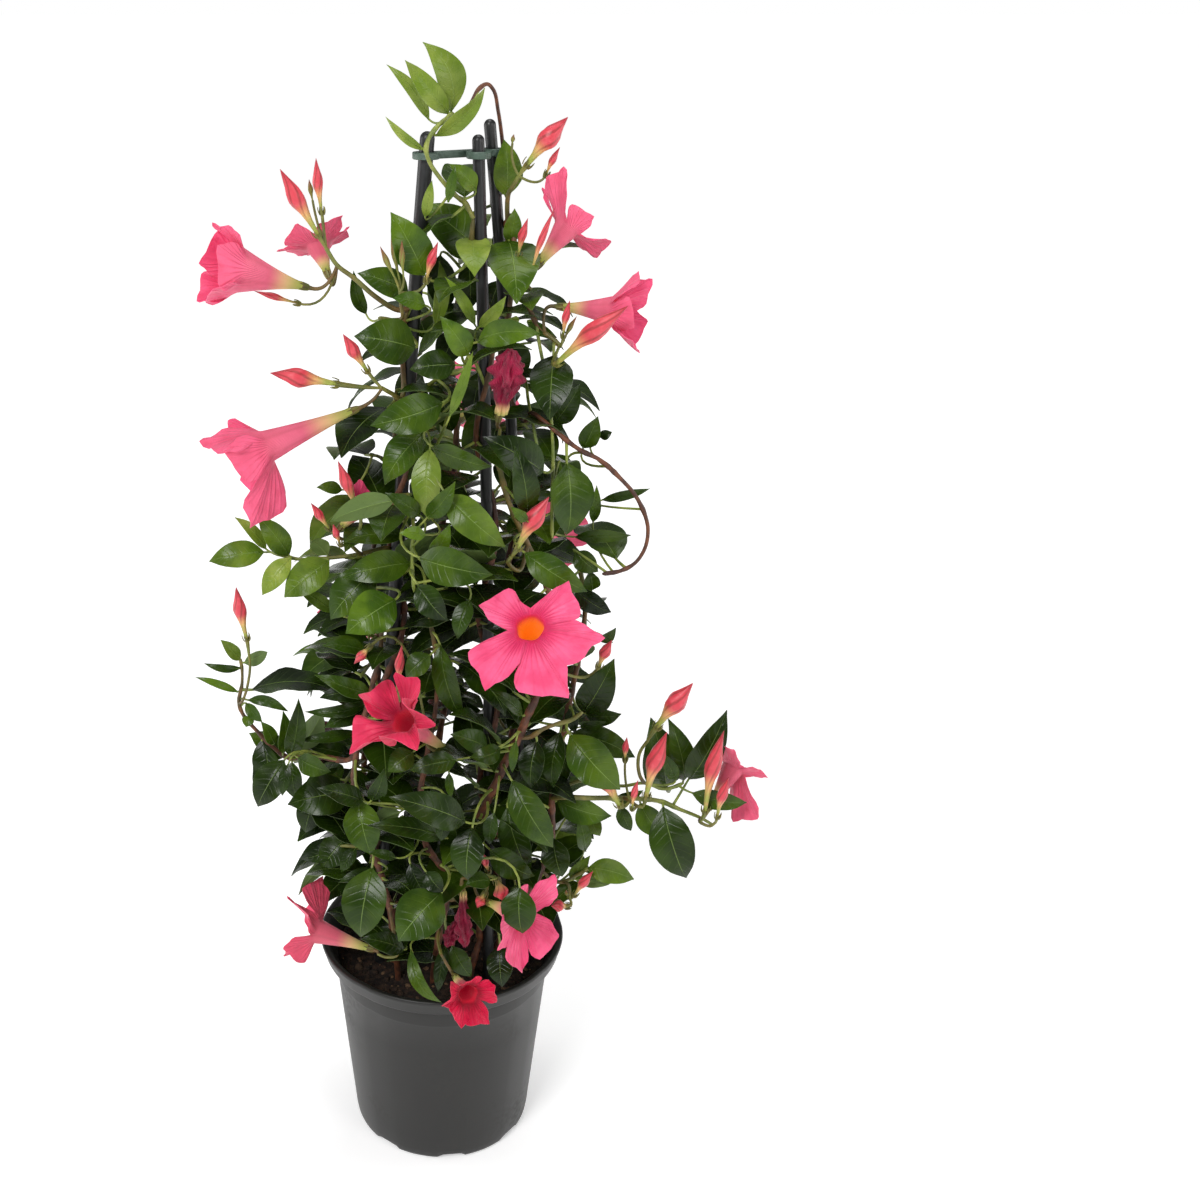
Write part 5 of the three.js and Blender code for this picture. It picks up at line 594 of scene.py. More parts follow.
def bent(start: np.ndarray, control: np.ndarray, end: np.ndarray, count: int) -> np.ndarray:
    """Points of the curve from start to end that leaves and ends toward a control point."""
    t = np.linspace(0, 1, count)[:, None]
    return start * (1 - t) ** 2 + 2 * control * t * (1 - t) + end * t * t


def turned(vector: np.ndarray, axis: np.ndarray, angle: float) -> np.ndarray:
    """A vector turned about a unit axis by an angle in radians.

    Args:
        vector: The vector.
        axis: The unit axis.
        angle: The turn.

    Returns:
        The turned vector.
    """
    return (
        vector * math.cos(angle)
        + np.cross(axis, vector) * math.sin(angle)
        + axis * float(axis @ vector) * (1 - math.cos(angle))
    )


def draw(seed: int) -> float:
    """A draw from 0 to 1 that depends only on its seed.

    Args:
        seed: The seed.

    Returns:
        The draw.
    """
    mask = 0xFFFFFFFF
    t = (seed * 2654435761 + 0x6D2B79F5) & mask
    t = ((t ^ (t >> 15)) * (t | 1)) & mask
    t ^= (t + ((t ^ (t >> 7)) * (t | 61) & mask)) & mask
    return ((t ^ (t >> 14)) & mask) / 4294967296


def drawn(least: float, more: float, seed: int) -> float:
    """A draw from the least up to more than it."""
    return least + more * draw(seed)


def girth(height: float) -> float:
    """The bush's radius at a height, in mm."""
    return float(np.interp(height, *zip(*GIRTH)))


def shrunk(height: float, share: float = CROWN_SHARE) -> float:
    """How large a leaf by rule grows at a height, as a share of the usual."""
    return share if height > CROWN_FROM else 1.0


def smooth_through(way: Sequence[np.ndarray], pieces: int) -> list[np.ndarray]:
    """Points on the centripetal curve through the points of a way.

    Args:
        way: The points that the curve passes.
        pieces: How many steps the whole curve is cut into.

    Returns:
        One point more than there are pieces.
    """
    last = len(way) - 1
    padded = [2 * way[0] - way[1], *way, 2 * way[-1] - way[-2]]
    found = []
    for step in range(pieces + 1):
        place = last * step / pieces
        k = min(int(place), last - 1)
        t = place - k
        p0, p1, p2, p3 = padded[k : k + 4]
        d0, d1, d2 = (max(distance(a, b) ** 0.5, 1e-2) for a, b in ((p0, p1), (p1, p2), (p2, p3)))
        m1 = ((p1 - p0) / d0 - (p2 - p0) / (d0 + d1) + (p2 - p1) / d1) * d1
        m2 = ((p2 - p1) / d1 - (p3 - p1) / (d1 + d2) + (p3 - p2) / d2) * d1
        found.append(
            p1
            + m1 * t
            + (3 * (p2 - p1) - 2 * m1 - m2) * t * t
            + (2 * (p1 - p2) + m1 + m2) * t * t * t
        )
    return found


@dataclass(frozen=True)
class FrontView:
    """The perspective front elevation that the plant is set out on."""

    eye: Numbers = (0.0, -853.0, 751.0)
    pitch: float = 0.39
    focal: float = 1444.0
    across: float = 441.8
    down: float = 600.0
    size: float = 1200.0

    def mark(self, across: float, down: float, front: float) -> np.ndarray:
        """The point at a place on the elevation, a distance in mm toward the viewer.

        Args:
            across: The place's units from the left.
            down: Its units from the top.
            front: The distance.

        Returns:
            The point.
        """
        side = (across - self.across) / self.focal
        rise = (self.down - down) / self.focal
        ray = np.array(
            [
                side,
                math.cos(self.pitch) + rise * math.sin(self.pitch),
                rise * math.cos(self.pitch) - math.sin(self.pitch),
            ]
        )
        return np.array(self.eye) + ray * ((-front - self.eye[1]) / ray[1])

    def unit_at(self, point: np.ndarray) -> float:
        """Size in mm of one unit of the elevation at a point."""
        away = point - np.array(self.eye)
        return (away[1] * math.cos(self.pitch) - away[2] * math.sin(self.pitch)) / self.focal

    def front_in_bush(self, across: float, down: float, layer: float) -> float:
        """How far toward the viewer a mark stands at a share of the bush's depth there.

        Args:
            across: The mark's units from the left.
            down: Its units from the top.
            layer: The share.

        Returns:
            The distance in mm.
        """
        front = 0.0
        for _ in range(4):
            at = self.mark(across, down, front)
            off = at[0] - LEAN * at[2]
            front = layer * math.sqrt(max(girth(at[2]) ** 2 - off * off, 0))
        return -float(self.mark(across, down, front)[1])

    def facing(self, base: np.ndarray, tip: np.ndarray, roll: float) -> np.ndarray:
        """The normal that turns a blade to the viewer, then rolled about it by degrees.

        Args:
            base: The blade's base.
            tip: Its tip.
            roll: The roll.

        Returns:
            The normal.
        """
        along = unit(tip - base)
        to_eye = np.array(self.eye) - base
        facing = unit(to_eye - along * float(to_eye @ along))
        return turned(facing, along, math.radians(roll))


VIEW = FrontView()


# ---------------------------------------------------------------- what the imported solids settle
class PackedSolids:
    """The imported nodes' own points and surfaces, in mm."""

    def __init__(self, nodes: dict[str, bpy.types.Object]) -> None:
        """Reads each node's mesh once.

        Args:
            nodes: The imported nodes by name.
        """
        self.points: dict[str, KDTree] = {}
        self.surfaces: dict[str, BVHTree] = {}
        all_points: list[Vector] = []
        all_faces: list[tuple[int, ...]] = []
        for name, node in nodes.items():
            vertices = [v.co / MM for v in node.data.vertices]
            tree = KDTree(len(vertices))
            for i, vertex in enumerate(vertices):
                tree.insert(vertex, i)
            tree.balance()
            self.points[name] = tree
            faces = [tuple(p.vertices) for p in node.data.polygons]
            self.surfaces[name] = BVHTree.FromPolygons(vertices, faces)
            all_faces += [tuple(len(all_points) + v for v in face) for face in faces]
            all_points += vertices
        self.whole = BVHTree.FromPolygons(all_points, all_faces)

    def has_corner(self, name: str, point: np.ndarray, reach: float) -> bool:
        """Whether a node has a vertex within reach of a point."""
        return self.points[name].find(Vector(point))[2] < reach

    def is_clear(self, leaf: Leaf, seat: np.ndarray) -> bool:
        """Whether a leaf by rule meets none of the solids.

        Args:
            leaf: The leaf.
            seat: The point of its stem that its petiole leaves.

        Returns:
            True where nothing is in its way.
        """
        left, right = leaf.shoulders()
        start = seat + unit(leaf.base - seat) * CLEAR_START
        middle = (left + right) / 2
        pairs = (
            (start, leaf.tip), (leaf.base, left), (leaf.base, right), (left, leaf.tip),
            (right, leaf.tip), (left, right), (middle, leaf.tip),
        )
        for a, b in pairs:
            if self.whole.ray_cast(Vector(a), Vector(b - a), distance(a, b))[0] is not None:
                return False
        marks = (leaf.tip, left, right, middle)
        return all(self.whole.find_nearest(Vector(p))[3] > CLEAR_GAP for p in marks)

    def gap(self, name: str, point: np.ndarray) -> float:
        """How far a point is from a node's surface, in mm."""
        found = self.surfaces[name].find_nearest(Vector(point))
        return math.inf if found[3] is None else found[3]


@dataclass(frozen=True)
class Stem:
    """A stem as the solids hold it: its node, the corners of its axis and its radii."""

    name: str
    owner: str
    points: list[np.ndarray]
    radii: Numbers
    fine: list[np.ndarray]
    woody: Numbers


@dataclass(frozen=True)
class Leaf:
    """A leaf on its stem, in mm. Young runs from 0, dark and old, to 1."""

    owner: str
    root: np.ndarray
    base: np.ndarray
    tip: np.ndarray
    width: float
    normal: np.ndarray
    sway: float
    arch: float
    young: float
    seed: int
    deep: bool = False

    @property
    def length(self) -> float:
        """The blade's length from base to tip."""
        return distance(self.base, self.tip)

    def frame(self) -> tuple[np.ndarray, np.ndarray, np.ndarray]:
        """The blade's own directions: along, side and up.

        Returns:
            Three unit vectors.
        """
        along = unit(self.tip - self.base)
        up = unit(self.normal - along * float(self.normal @ along))
        return along, np.cross(up, along), up

    def clears(self, other: Leaf) -> bool:
        """Whether its blade is clear of another one.

        Args:
            other: The other leaf.

        Returns:
            True where they keep apart.
        """
        middle, yonder = (self.base + self.tip) / 2, (other.base + other.tip) / 2
        far = distance(middle, yonder)
        if far > (self.length + other.length) / 2:
            return True
        if far < LEAF_APART:
            return False
        _, side, up = other.frame()
        flips = [float(up @ (p - yonder)) for p in (self.base, self.tip, *self.shoulders())]
        if min(flips) > FLAT_APART or max(flips) < -FLAT_APART:
            return True
        return abs(float(side @ (middle - yonder))) > other.width * SIDE_APART

    def shoulders(self) -> list[np.ndarray]:
        """The two widest corners of the blade in the solids.

        Returns:
            The corners.
        """
        _, side, up = self.frame()
        t = SMALL_WIDEST_AT if self.width < SMALL_LEAF else WIDEST_AT
        hump = 4 * t * (1 - t) * self.length
        middle = self.base + (self.tip - self.base) * t + (up * self.arch + side * self.sway) * hump
        reach = self.width / 2
        return [middle + side * (s * reach) + up * (reach * LEAF_FOLD) for s in (1, -1)]


class Plant:
    """The stems and leaves of the plan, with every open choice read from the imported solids."""

    SEATS = (0.3, 0.7)  # where leaves may grow along a piece of a stem

    def __init__(self, solids: PackedSolids) -> None:
        """Grows the stems first, then the leaves.

        Args:
            solids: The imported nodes' points and surfaces.
        """
        self.solids = solids
        self.stems: dict[str, Stem] = {}
        self.leaves: list[Leaf] = []
        self.shoots: list[str] = []
        self._grow_vines()
        self._grow_side_stems()
        self._grow_shoots()
        self.seats = {name: self._seats_of(stem.points) for name, stem in self.stems.items()}
        self._grow_set_out_leaves()
        self._grow_pairs()
        self._grow_fillers()
        self._grow_undergrowth()

    # -------------------------------- stems
    def _grow_vines(self) -> None:
        """The vines from the soil, twined or free."""
        canes = {cane.name: cane for cane in CANES}
        for plan in VINES:
            under = np.array([*plan.foot, SOIL_TOP - FOOT_DEPTH])
            over = np.array([*plan.foot, SOIL_TOP + OVER_SOIL])
            if plan.cane:
                cane = canes[plan.cane]
                steps = round(plan.turns * TWINE_STEPS)
                corner = (cane.radius + plan.radii[0] + TWINE_GAP) / math.cos(math.pi / TWINE_STEPS)
                points = [under, over, *self._twine(plan, cane, steps, (corner, corner))]
                hug = tuple(cane.radius + radius + HUG_GAP for radius in plan.radii)
                close = self._twine(plan, cane, steps * HUG_STEPS, hug)
                fine = [*smooth_through([under, over, close[0]], FOOT_STEPS)[:-1], *close]
            else:
                way = [over, *(VIEW.mark(*m) for m in plan.marks)]
                points = [under, *smooth_through(way, len(plan.marks))]
                fine = smooth_through(points, FREE_STEPS * len(points))
            wood = TWINED_WOOD if plan.cane else FREE_WOOD
            self.stems[plan.name] = Stem(plan.name, plan.name, points, plan.radii, fine, wood)

    @staticmethod
    def _twine(plan: VinePlan, cane: CanePlan, steps: int, reach: Numbers) -> list[np.ndarray]:
        """The turns of a vine round its cane.

        Args:
            plan: The vine.
            cane: The cane it climbs.
            steps: How many pieces the whole run has.
            reach: How far it is from the cane's axis at its foot and at its top.

        Returns:
            The points of the run.
        """
        low, high = plan.heights
        found = []
        for i in range(steps + 1):
            share = i / steps
            angle = plan.phase + TURN * plan.turns * share
            far = float(np.interp(share, (0, 1), reach))
            out = np.array([math.cos(angle) * far, math.sin(angle) * far, 0.0])
            found.append(cane.at_height(low + (high - low) * share) + out)
        return found

    def _joined(self, owner: str, start: np.ndarray, end: np.ndarray, radius: float) -> bool:
        """Whether the solids hold a stem between two points."""
        slack = radius * JOIN_SLACK[0] + JOIN_SLACK[1]
        return all(self.solids.gap(owner, start + (end - start) * t) < slack for t in JOIN_TESTS)

    def root_on(self, parent: str, target: np.ndarray, radius: float, node: str) -> np.ndarray:
        """The parent's point that a side stem or stalk grows from.

        Args:
            parent: The parent stem.
            target: The first mark of what grows from it.
            radius: Its radius there.
            node: The node that holds it.

        Returns:
            The corner of the parent's axis.
        """
        near = sorted(self.stems[parent].points[2:], key=lambda p: distance(p, target))
        for point in near[:ROOT_TRIES]:
            if distance(point, target) < ROOT_TOUCH or self._joined(node, point, target, radius):
                return point
        return near[0]

    def _grow_side_stems(self) -> None:
        """The side stems listed one by one."""
        for plan in SIDE_STEMS:
            owner = self.stems[plan.parent].owner
            way = [VIEW.mark(*m) for m in plan.marks]
            start = self.root_on(plan.parent, way[0], plan.radii[0], owner)
            if distance(start, way[0]) < SAME_POINT:
                way = way[1:]
            points = [start, *way]
            root = self.on_fine(plan.parent, start)
            fine = smooth_through([root, *way], SIDE_STEPS * len(points))
            wood = SIDE_WOOD.get(plan.name, USUAL_WOOD)
            self.stems[plan.name] = Stem(plan.name, owner, points, plan.radii, fine, wood)

    def on_fine(self, name: str, point: np.ndarray) -> np.ndarray:
        """The point of a stem's smooth axis nearest to a point."""
        return nearest(self.stems[name].fine, point)

    def _grow_shoots(self) -> None:
        """The side stems by rule."""
        for v, run in enumerate(SHOOT_RUNS):
            heights = np.arange(run.lowest, run.highest + 0.5, run.step)
            for k, height in enumerate(heights):
                self._grow_shoot(run, v * 100 + k, k, float(height))

    def _grow_shoot(self, run: ShootRun, seed: int, k: int, height: float) -> None:
        """One side stem by rule, where the solids have it.

        Args:
            run: The rule.
            seed: What its draws depend on.
            k: Its place in the run.
            height: The height it is meant to leave the vine at.
        """
        points = self.stems[run.vine].points
        start = min(points, key=lambda p: abs(p[2] - height))
        middle = LEAN * start[2]
        away = math.atan2(start[1], start[0] - middle)
        away += (1 if k % 2 else -1) * drawn(*SHOOT_SWING, seed)
        far = girth(start[2] + SHOOT_RISE) * run.reach
        rise = SHOOT_RISE * drawn(*SHOOT_LIFT, seed + 50)
        for turn in SHOOT_TRIES:
            angle = away + math.radians(turn)
            end = np.array([middle + math.cos(angle) * far, math.sin(angle) * far, start[2] + rise])
            half = (start + end) / 2 + np.array([0, 0, SHOOT_BOW])
            if not self._joined(run.vine, half, end, SHOOT_RADII[0]):
                continue
            name = f"{run.vine}_shoot_{k}"
            fine = smooth_through([self.on_fine(run.vine, start), half, end], FOOT_STEPS)
            way = [start, half, end]
            self.stems[name] = Stem(name, run.vine, way, SHOOT_RADII, fine, SHOOT_WOOD)
            self.shoots.append(name)
            return

    # -------------------------------- leaves
    @classmethod
    def _seats_of(cls, points: list[np.ndarray]) -> list[np.ndarray]:
        """Where leaves may grow on a stem."""
        pairs = zip(points, points[1:])
        return [a + (b - a) * t for a, b in pairs for t in cls.SEATS][2:]

    def _owner_of(self, leaf: Leaf) -> str:
        """The vine whose solid holds a leaf, or an empty name.

        Args:
            leaf: The leaf as the plan would have it.

        Returns:
            The node's name.
        """
        corners = [leaf.tip, *leaf.shoulders()]
        for plan in VINES:
            held = [self.solids.has_corner(plan.name, corner, HELD_REACH) for corner in corners]
            if sum(held) >= 2:
                return plan.name
        return ""

    def _rooted(self, leaf: Leaf, owner: str) -> Leaf:
        """The leaf on the stem of its vine that its petiole reaches in the solids.

        Args:
            leaf: The leaf, with its base and blade settled.
            owner: The vine.

        Returns:
            The same leaf with its root on a stem's smooth axis.
        """
        seats = [
            (distance(seat, leaf.base), name, seat)
            for name, stem in self.stems.items()
            if stem.owner == owner
            for seat in self.seats[name]
        ]
        near = sorted(seats, key=lambda s: s[0])[:SEAT_TRIES]
        for far, name, seat in near:
            tests = (seat + (leaf.base - seat) * t for t in (0.5, 0.75))
            if far < SEAT_NEAR or all(self.solids.gap(owner, p) < SEAT_GAP for p in tests):
                return replace(leaf, owner=owner, root=self.on_fine(name, seat))
        return replace(leaf, owner=owner, root=self.on_fine(near[0][1], near[0][2]))

    def _grow_set_out_leaves(self) -> None:
        """The leaves listed one by one, on the sprigs and in the bush."""
        rows = [(row, row[5]) for row in SPRIG_LEAVES]
        front_first = sorted(BUSH_LEAVES, key=lambda row: -row[5])
        rows += [(row, VIEW.front_in_bush(*row[:2], row[5])) for row in front_first]
        missing = 0
        for seed, (row, front) in enumerate(rows):
            leaf = self._set_out_leaf(row, front, seed)
            if leaf is None:
                missing += 1
            else:
                self.leaves.append(leaf)
        LOG.info("%d set-out leaves, %d not in the solids", len(self.leaves), missing)
        for seed, row in enumerate(FRONT_LEAVES):
            base, tip = VIEW.mark(*row[:2], row[5]), VIEW.mark(*row[2:4], row[5] + row[6])
            normal = VIEW.facing(base, tip, row[7])
            width = row[4] * VIEW.unit_at(base)
            leaf = Leaf("", base, base, tip, width, normal, *row[8:10], FRONT_YOUNG, seed)
            self.leaves.append(self._rooted(leaf, "vine_low_front"))

    def _set_out_leaf(self, row: LeafRow, front: float, seed: int) -> Leaf | None:
        """One leaf of the tables, at the shift that the solids show.

        Args:
            row: Its row.
            front: How far toward the viewer its base stands.
            seed: What its small differences depend on.

        Returns:
            The leaf, or None where the solids haven't it.
        """
        across, down, tip_across, tip_down, units, _, lean, roll, sway, arch = row[:10]
        for shift in SHIFTS:
            base = VIEW.mark(across, down, front + shift)
            tip = VIEW.mark(tip_across, tip_down, front + shift + lean)
            width = units * VIEW.unit_at(base)
            normal = VIEW.facing(base, tip, roll)
            young = row[10] if len(row) > 10 else self._young_at(tip, seed)
            leaf = Leaf("", base, base, tip, width, normal, sway, arch, young, seed)
            owner = self._owner_of(leaf)
            if owner:
                return self._rooted(leaf, owner)
        return None

    @staticmethod
    def _young_at(tip: np.ndarray, seed: int) -> float:
        """How young a leaf is by where it grows, with a draw of its own.

        Args:
            tip: The leaf's tip.
            seed: What the draw depends on.

        Returns:
            Its youth, from 0 to 1.
        """
        most, start, over = TOP_GROWTH
        young = most * float(np.clip((tip[2] - start) / over, 0, 1))
        for side, height, reach, share in NEW_GROWTH:
            away = math.hypot(tip[0] - side, tip[2] - height)
            young = max(young, share * float(np.clip(GROWTH_EDGE - away / reach, 0, 1)))
        return min(1.0, young + ODD_YOUNG[0] * draw(seed + 900) ** ODD_YOUNG[1])

    def _by_rule(
        self, base: np.ndarray, along: np.ndarray, grown: float, heading: float, lie: float, seed: int
    ) -> Leaf:
        """A leaf by rule, before it is looked for in the solids.

        Args:
            base: Where its blade starts.
            along: The direction of its blade.
            grown: The blade's length.
            heading: The direction it points, about the plant.
            lie: How far its face leans out.
            seed: What its small differences depend on.

        Returns:
            The leaf.
        """
        normal = np.array([math.cos(heading) * lie, math.sin(heading) * lie, 1.0])
        tip = base + along * grown
        young = self._young_at(tip, seed)
        return Leaf("", base, base, tip, grown * PAIR_SLIM, normal, 0.0, RULE_ARCH, young, seed)

    def _grow_pairs(self) -> None:
        """The opposite pairs on the side stems by rule."""
        before = len(self.leaves)
        for i, name in enumerate(self.shoots):
            stem = self.stems[name]
            for at in (2, 1):
                ahead = stem.points[at] - stem.points[at - 1]
                seat = stem.points[at - 1] + ahead * PAIR_AT
                heading = math.atan2(ahead[1], ahead[0]) + (math.pi / 2 if at == 1 else 0)
                for s in (0, 1):
                    self._grow_pair_leaf(stem, seat, heading, i * 7 + at, s)
        LOG.info("%d leaves in pairs", len(self.leaves) - before)

    def _grow_pair_leaf(
        self, stem: Stem, seat: np.ndarray, heading: float, seed: int, s: int
    ) -> None:
        """One leaf of a pair, at the turn that the solids show.

        Args:
            stem: The side stem.
            seat: Where the pair grows.
            heading: The side stem's own heading.
            seed: What the pair's draws depend on.
            s: Which leaf of the pair it is.
        """
        grown = PAIR_LENGTH * drawn(*PAIR_GROWN, seed * 2 + s) * shrunk(seat[2])
        fall = PAIR_DROOP + PAIR_SWAY[0] * (draw(seed * 2 + s + 31) - PAIR_SWAY[1])
        for turn in PAIR_TRIES:
            angle = heading + math.radians((-1, 1)[s] * PAIR_SPREAD + turn)
            along = unit(np.array([math.cos(angle), math.sin(angle), fall]))
            base = seat + along * PAIR_STALK
            leaf = self._by_rule(base, along, grown, angle, PAIR_LIE, seed * 2 + s + 300)
            if leaf.tip[2] > LOW_LIMIT and self._owner_of(leaf) == stem.owner:
                root = self.on_fine(stem.name, seat)
                self.leaves.append(replace(leaf, owner=stem.owner, root=root))
                return

    def _grow_fillers(self) -> None:
        """The single leaves that fill the inside and the far side."""
        before = len(self.leaves)
        for k in range(FILL_TRIES):
            rolls = [draw(k * 8 + n + 5000) for n in range(6)]
            angle = TURN * rolls[0]
            height = FILL_HEIGHTS[0] + (FILL_HEIGHTS[1] - FILL_HEIGHTS[0]) * rolls[1]
            near, far = FILL_FAR if math.sin(angle) > 0 else FILL_INSIDE
            out = girth(height) * (near + (far - near) * rolls[2])
            base = np.array([LEAN * height + math.cos(angle) * out, math.sin(angle) * out, height])
            heading = angle + math.radians(FILL_SWING * (2 * rolls[3] - 1))
            rise = FILL_RISE[0] * rolls[4] - FILL_RISE[1]
            along = unit(np.array([math.cos(heading), math.sin(heading), rise]))
            grown = PAIR_LENGTH * (FILL_GROWN[0] + FILL_GROWN[1] * rolls[5]) * shrunk(height)
            leaf = self._by_rule(base, along, grown, heading, FILL_LIE, k + 700)
            owner = self._owner_of(leaf)
            if owner:
                self.leaves.append(self._rooted(leaf, owner))
        LOG.info("%d leaves by rule inside and behind", len(self.leaves) - before)

    def _grow_undergrowth(self) -> None:
        """Opposite pairs all along the stems, deep in the bush, wherever there is room."""
        deep = self._crown_leaves()
        for number, stem in enumerate(list(self.stems.values())):
            since, pair = DEEP_STEP / 2, 0
            for before, seat in zip(stem.fine, stem.fine[1:]):
                since += distance(before, seat)
                if since < DEEP_STEP or not DEEP_HEIGHTS[0] < seat[2] < DEEP_HEIGHTS[1]:
                    continue
                since, pair = 0.0, pair + 1
                for s in (0, 1):
                    seed = 20000 + number * 400 + pair * 4 + s
                    grown = self._deep_leaf(stem, seat, unit(seat - before), (pair, s), seed, deep)
                    if grown:
                        deep.append(grown)
        self.leaves += deep
        LOG.info("%d more leaves deep in the bush", len(deep))

    def _crown_leaves(self) -> list[Leaf]:
        """Dark leaves between the canes, each at the first depth that is clear.

        Returns:
            The leaves that found room.
        """
        found: list[Leaf] = []
        for seed, row in enumerate(CROWN_LEAVES):
            for shift in CROWN_SHIFTS:
                base = VIEW.mark(*row[:2], row[5] + shift)
                tip = VIEW.mark(*row[2:4], row[5] + row[6] + shift)
                seats = [(s.owner, self.on_fine(s.name, base)) for s in self.stems.values()]
                owner, seat = min(seats, key=lambda pair: distance(pair[1], base))
                width, normal = row[4] * VIEW.unit_at(base), VIEW.facing(base, tip, row[7])
                form = (width, normal, *row[8:10], CROWN_YOUNG, 640 + seed)
                leaf = Leaf(owner, seat, base, tip, *form, deep=True)
                if self.solids.is_clear(leaf, seat) and all(leaf.clears(other) for other in found):
                    found.append(leaf)
                    break
        LOG.info("%d of %d leaves between the canes", len(found), len(CROWN_LEAVES))
        return found

    def _deep_leaf(
        self,
        stem: Stem,
        seat: np.ndarray,
        ahead: np.ndarray,
        place: tuple[int, int],
        seed: int,
        others: list[Leaf],
    ) -> Leaf | None:
        """One leaf deep in the bush, at the first turn that is clear.

        Args:
            stem: The stem it grows from.
            seat: Its root.
            ahead: The stem's direction there.
            place: The number of its pair, and which leaf of the pair it is.
            seed: What its draws depend on.
            others: The leaves like it that are there already.

        Returns:
            The leaf, or None where nothing is clear.
        """
        pair, s = place
        spin = pair * DEEP_TURN
        first = unit(np.cross(ahead, np.array([math.cos(spin), math.sin(spin), 0.2])))
        outward = unit(np.array([seat[0] - LEAN * seat[2], seat[1], 1e-6]))
        grown = DEEP_LENGTH * drawn(*DEEP_GROWN, seed) * shrunk(seat[2], DEEP_CROWN_SHARE)
        fall = np.array([0, 0, DEEP_FALL * draw(seed + 9)])
        for turn in DEEP_TURNS:
            out = turned(first, ahead, math.pi * s + math.radians(turn))
            along = unit(out + ahead * DEEP_AHEAD + outward * DEEP_OUTWARD - fall)
            heading = math.atan2(along[1], along[0])
            base = seat + along * drawn(*DEEP_STALK, seed + 3)
            leaf = self._by_rule(base, along, grown, heading, DEEP_LIE, seed)
            leaf = replace(leaf, width=grown * DEEP_SLIM)
            off = math.hypot(leaf.tip[0] - LEAN * leaf.tip[2], leaf.tip[1])
            if off > girth(leaf.tip[2]) * DEEP_GIRTH or leaf.tip[2] < LOW_LIMIT:
                continue
            if self.solids.is_clear(leaf, seat) and all(leaf.clears(other) for other in others):
                young = DEEP_YOUNG * leaf.young
                return replace(leaf, owner=stem.owner, root=seat, young=young, deep=True)
        return None


# ---------------------------------------------------------------- closed bodies
@dataclass
class Body:
    """A closed body: points in mm, four-cornered and three-cornered faces, values at its points."""

    points: np.ndarray
    quads: np.ndarray
    tris: np.ndarray = field(default_factory=lambda: np.zeros((0, 3), int))
    values: dict[str, np.ndarray] = field(default_factory=dict)


def grid_quads(rows: int, columns: int, closed: bool) -> np.ndarray:
    """The faces between rows of points, each row running across.

    Args:
        rows: How many rows there are.
        columns: How many points a row has.
        closed: Whether a row's end joins its start.

    Returns:
        The faces, whose normal is across times onward.
    """
    across = np.arange(columns if closed else columns - 1)
    i, j = np.meshgrid(np.arange(rows - 1), across, indexing="ij")
    a = (i * columns + j).ravel()
    b = (i * columns + (j + 1) % columns).ravel()
    return np.stack([a, b, b + columns, a + columns], axis=1)


def ring_body(rings: np.ndarray, **values: np.ndarray) -> Body:
    """A body wrapped over rings of points and closed at both ends.

    Args:
        rings: Rows of points, each row once round.
        values: What the points hold, a value for each ring or a row of them.

    Returns:
        The body, with a middle point closing each end.
    """
    rows, columns, _ = rings.shape
    points = np.concatenate([rings.reshape(-1, 3), rings[:1].mean(1), rings[-1:].mean(1)])
    start, end = rows * columns, rows * columns + 1
    k = np.arange(columns)
    after = (k + 1) % columns
    last = (rows - 1) * columns
    caps = [np.stack([np.full(columns, start), after, k], 1)]
    caps.append(np.stack([np.full(columns, end), last + k, last + after], 1))
    held = {}
    for name, rows_of in values.items():
        held_rows = rows_of if np.ndim(rows_of) == 2 else np.reshape(rows_of, (-1, 1))
        full = np.broadcast_to(held_rows, (rows, columns))
        held[name] = np.concatenate([full.ravel(), full[:1].mean(1), full[-1:].mean(1)])
    return Body(points, grid_quads(rows, columns, closed=True), np.concatenate(caps), held)


def tube_rings(way: Sequence[np.ndarray], radii: np.ndarray, sides: int) -> np.ndarray:
    """Rings round a way, on frames carried along without twist.

    Args:
        way: The points of the axis.
        radii: The radius at each, or for each point round each.
        sides: How many points a ring has.

    Returns:
        The rings.
    """
    points = np.array(way, float)
    ahead = np.vstack([points[1:], points[-1:]]) - np.vstack([points[:1], points[:-1]])
    tangents = ahead / np.maximum(np.linalg.norm(ahead, axis=1, keepdims=True), 1e-9)
    seed = np.array([0.0, 0, 1]) if abs(tangents[0][2]) < 0.9 else np.array([1.0, 0, 0])
    normal = unit(np.cross(tangents[0], seed))
    normals = []
    for tangent in tangents:
        normal = unit(normal - tangent * float(normal @ tangent))
        normals.append(normal)
    across = np.cross(tangents, np.array(normals))
    angles = TURN * np.arange(sides) / sides
    out = np.array(normals)[:, None] * np.cos(angles)[None, :, None]
    out = out + across[:, None] * np.sin(angles)[None, :, None]
    reach = radii if radii.ndim == 2 else radii[:, None]
    return points[:, None] + out * reach[..., None]


def tube(way: Sequence[np.ndarray], radii: np.ndarray, sides: int, **values: np.ndarray) -> Body:
    """A closed tube along a way with a radius at each point."""
    return ring_body(tube_rings(way, radii, sides), **values)


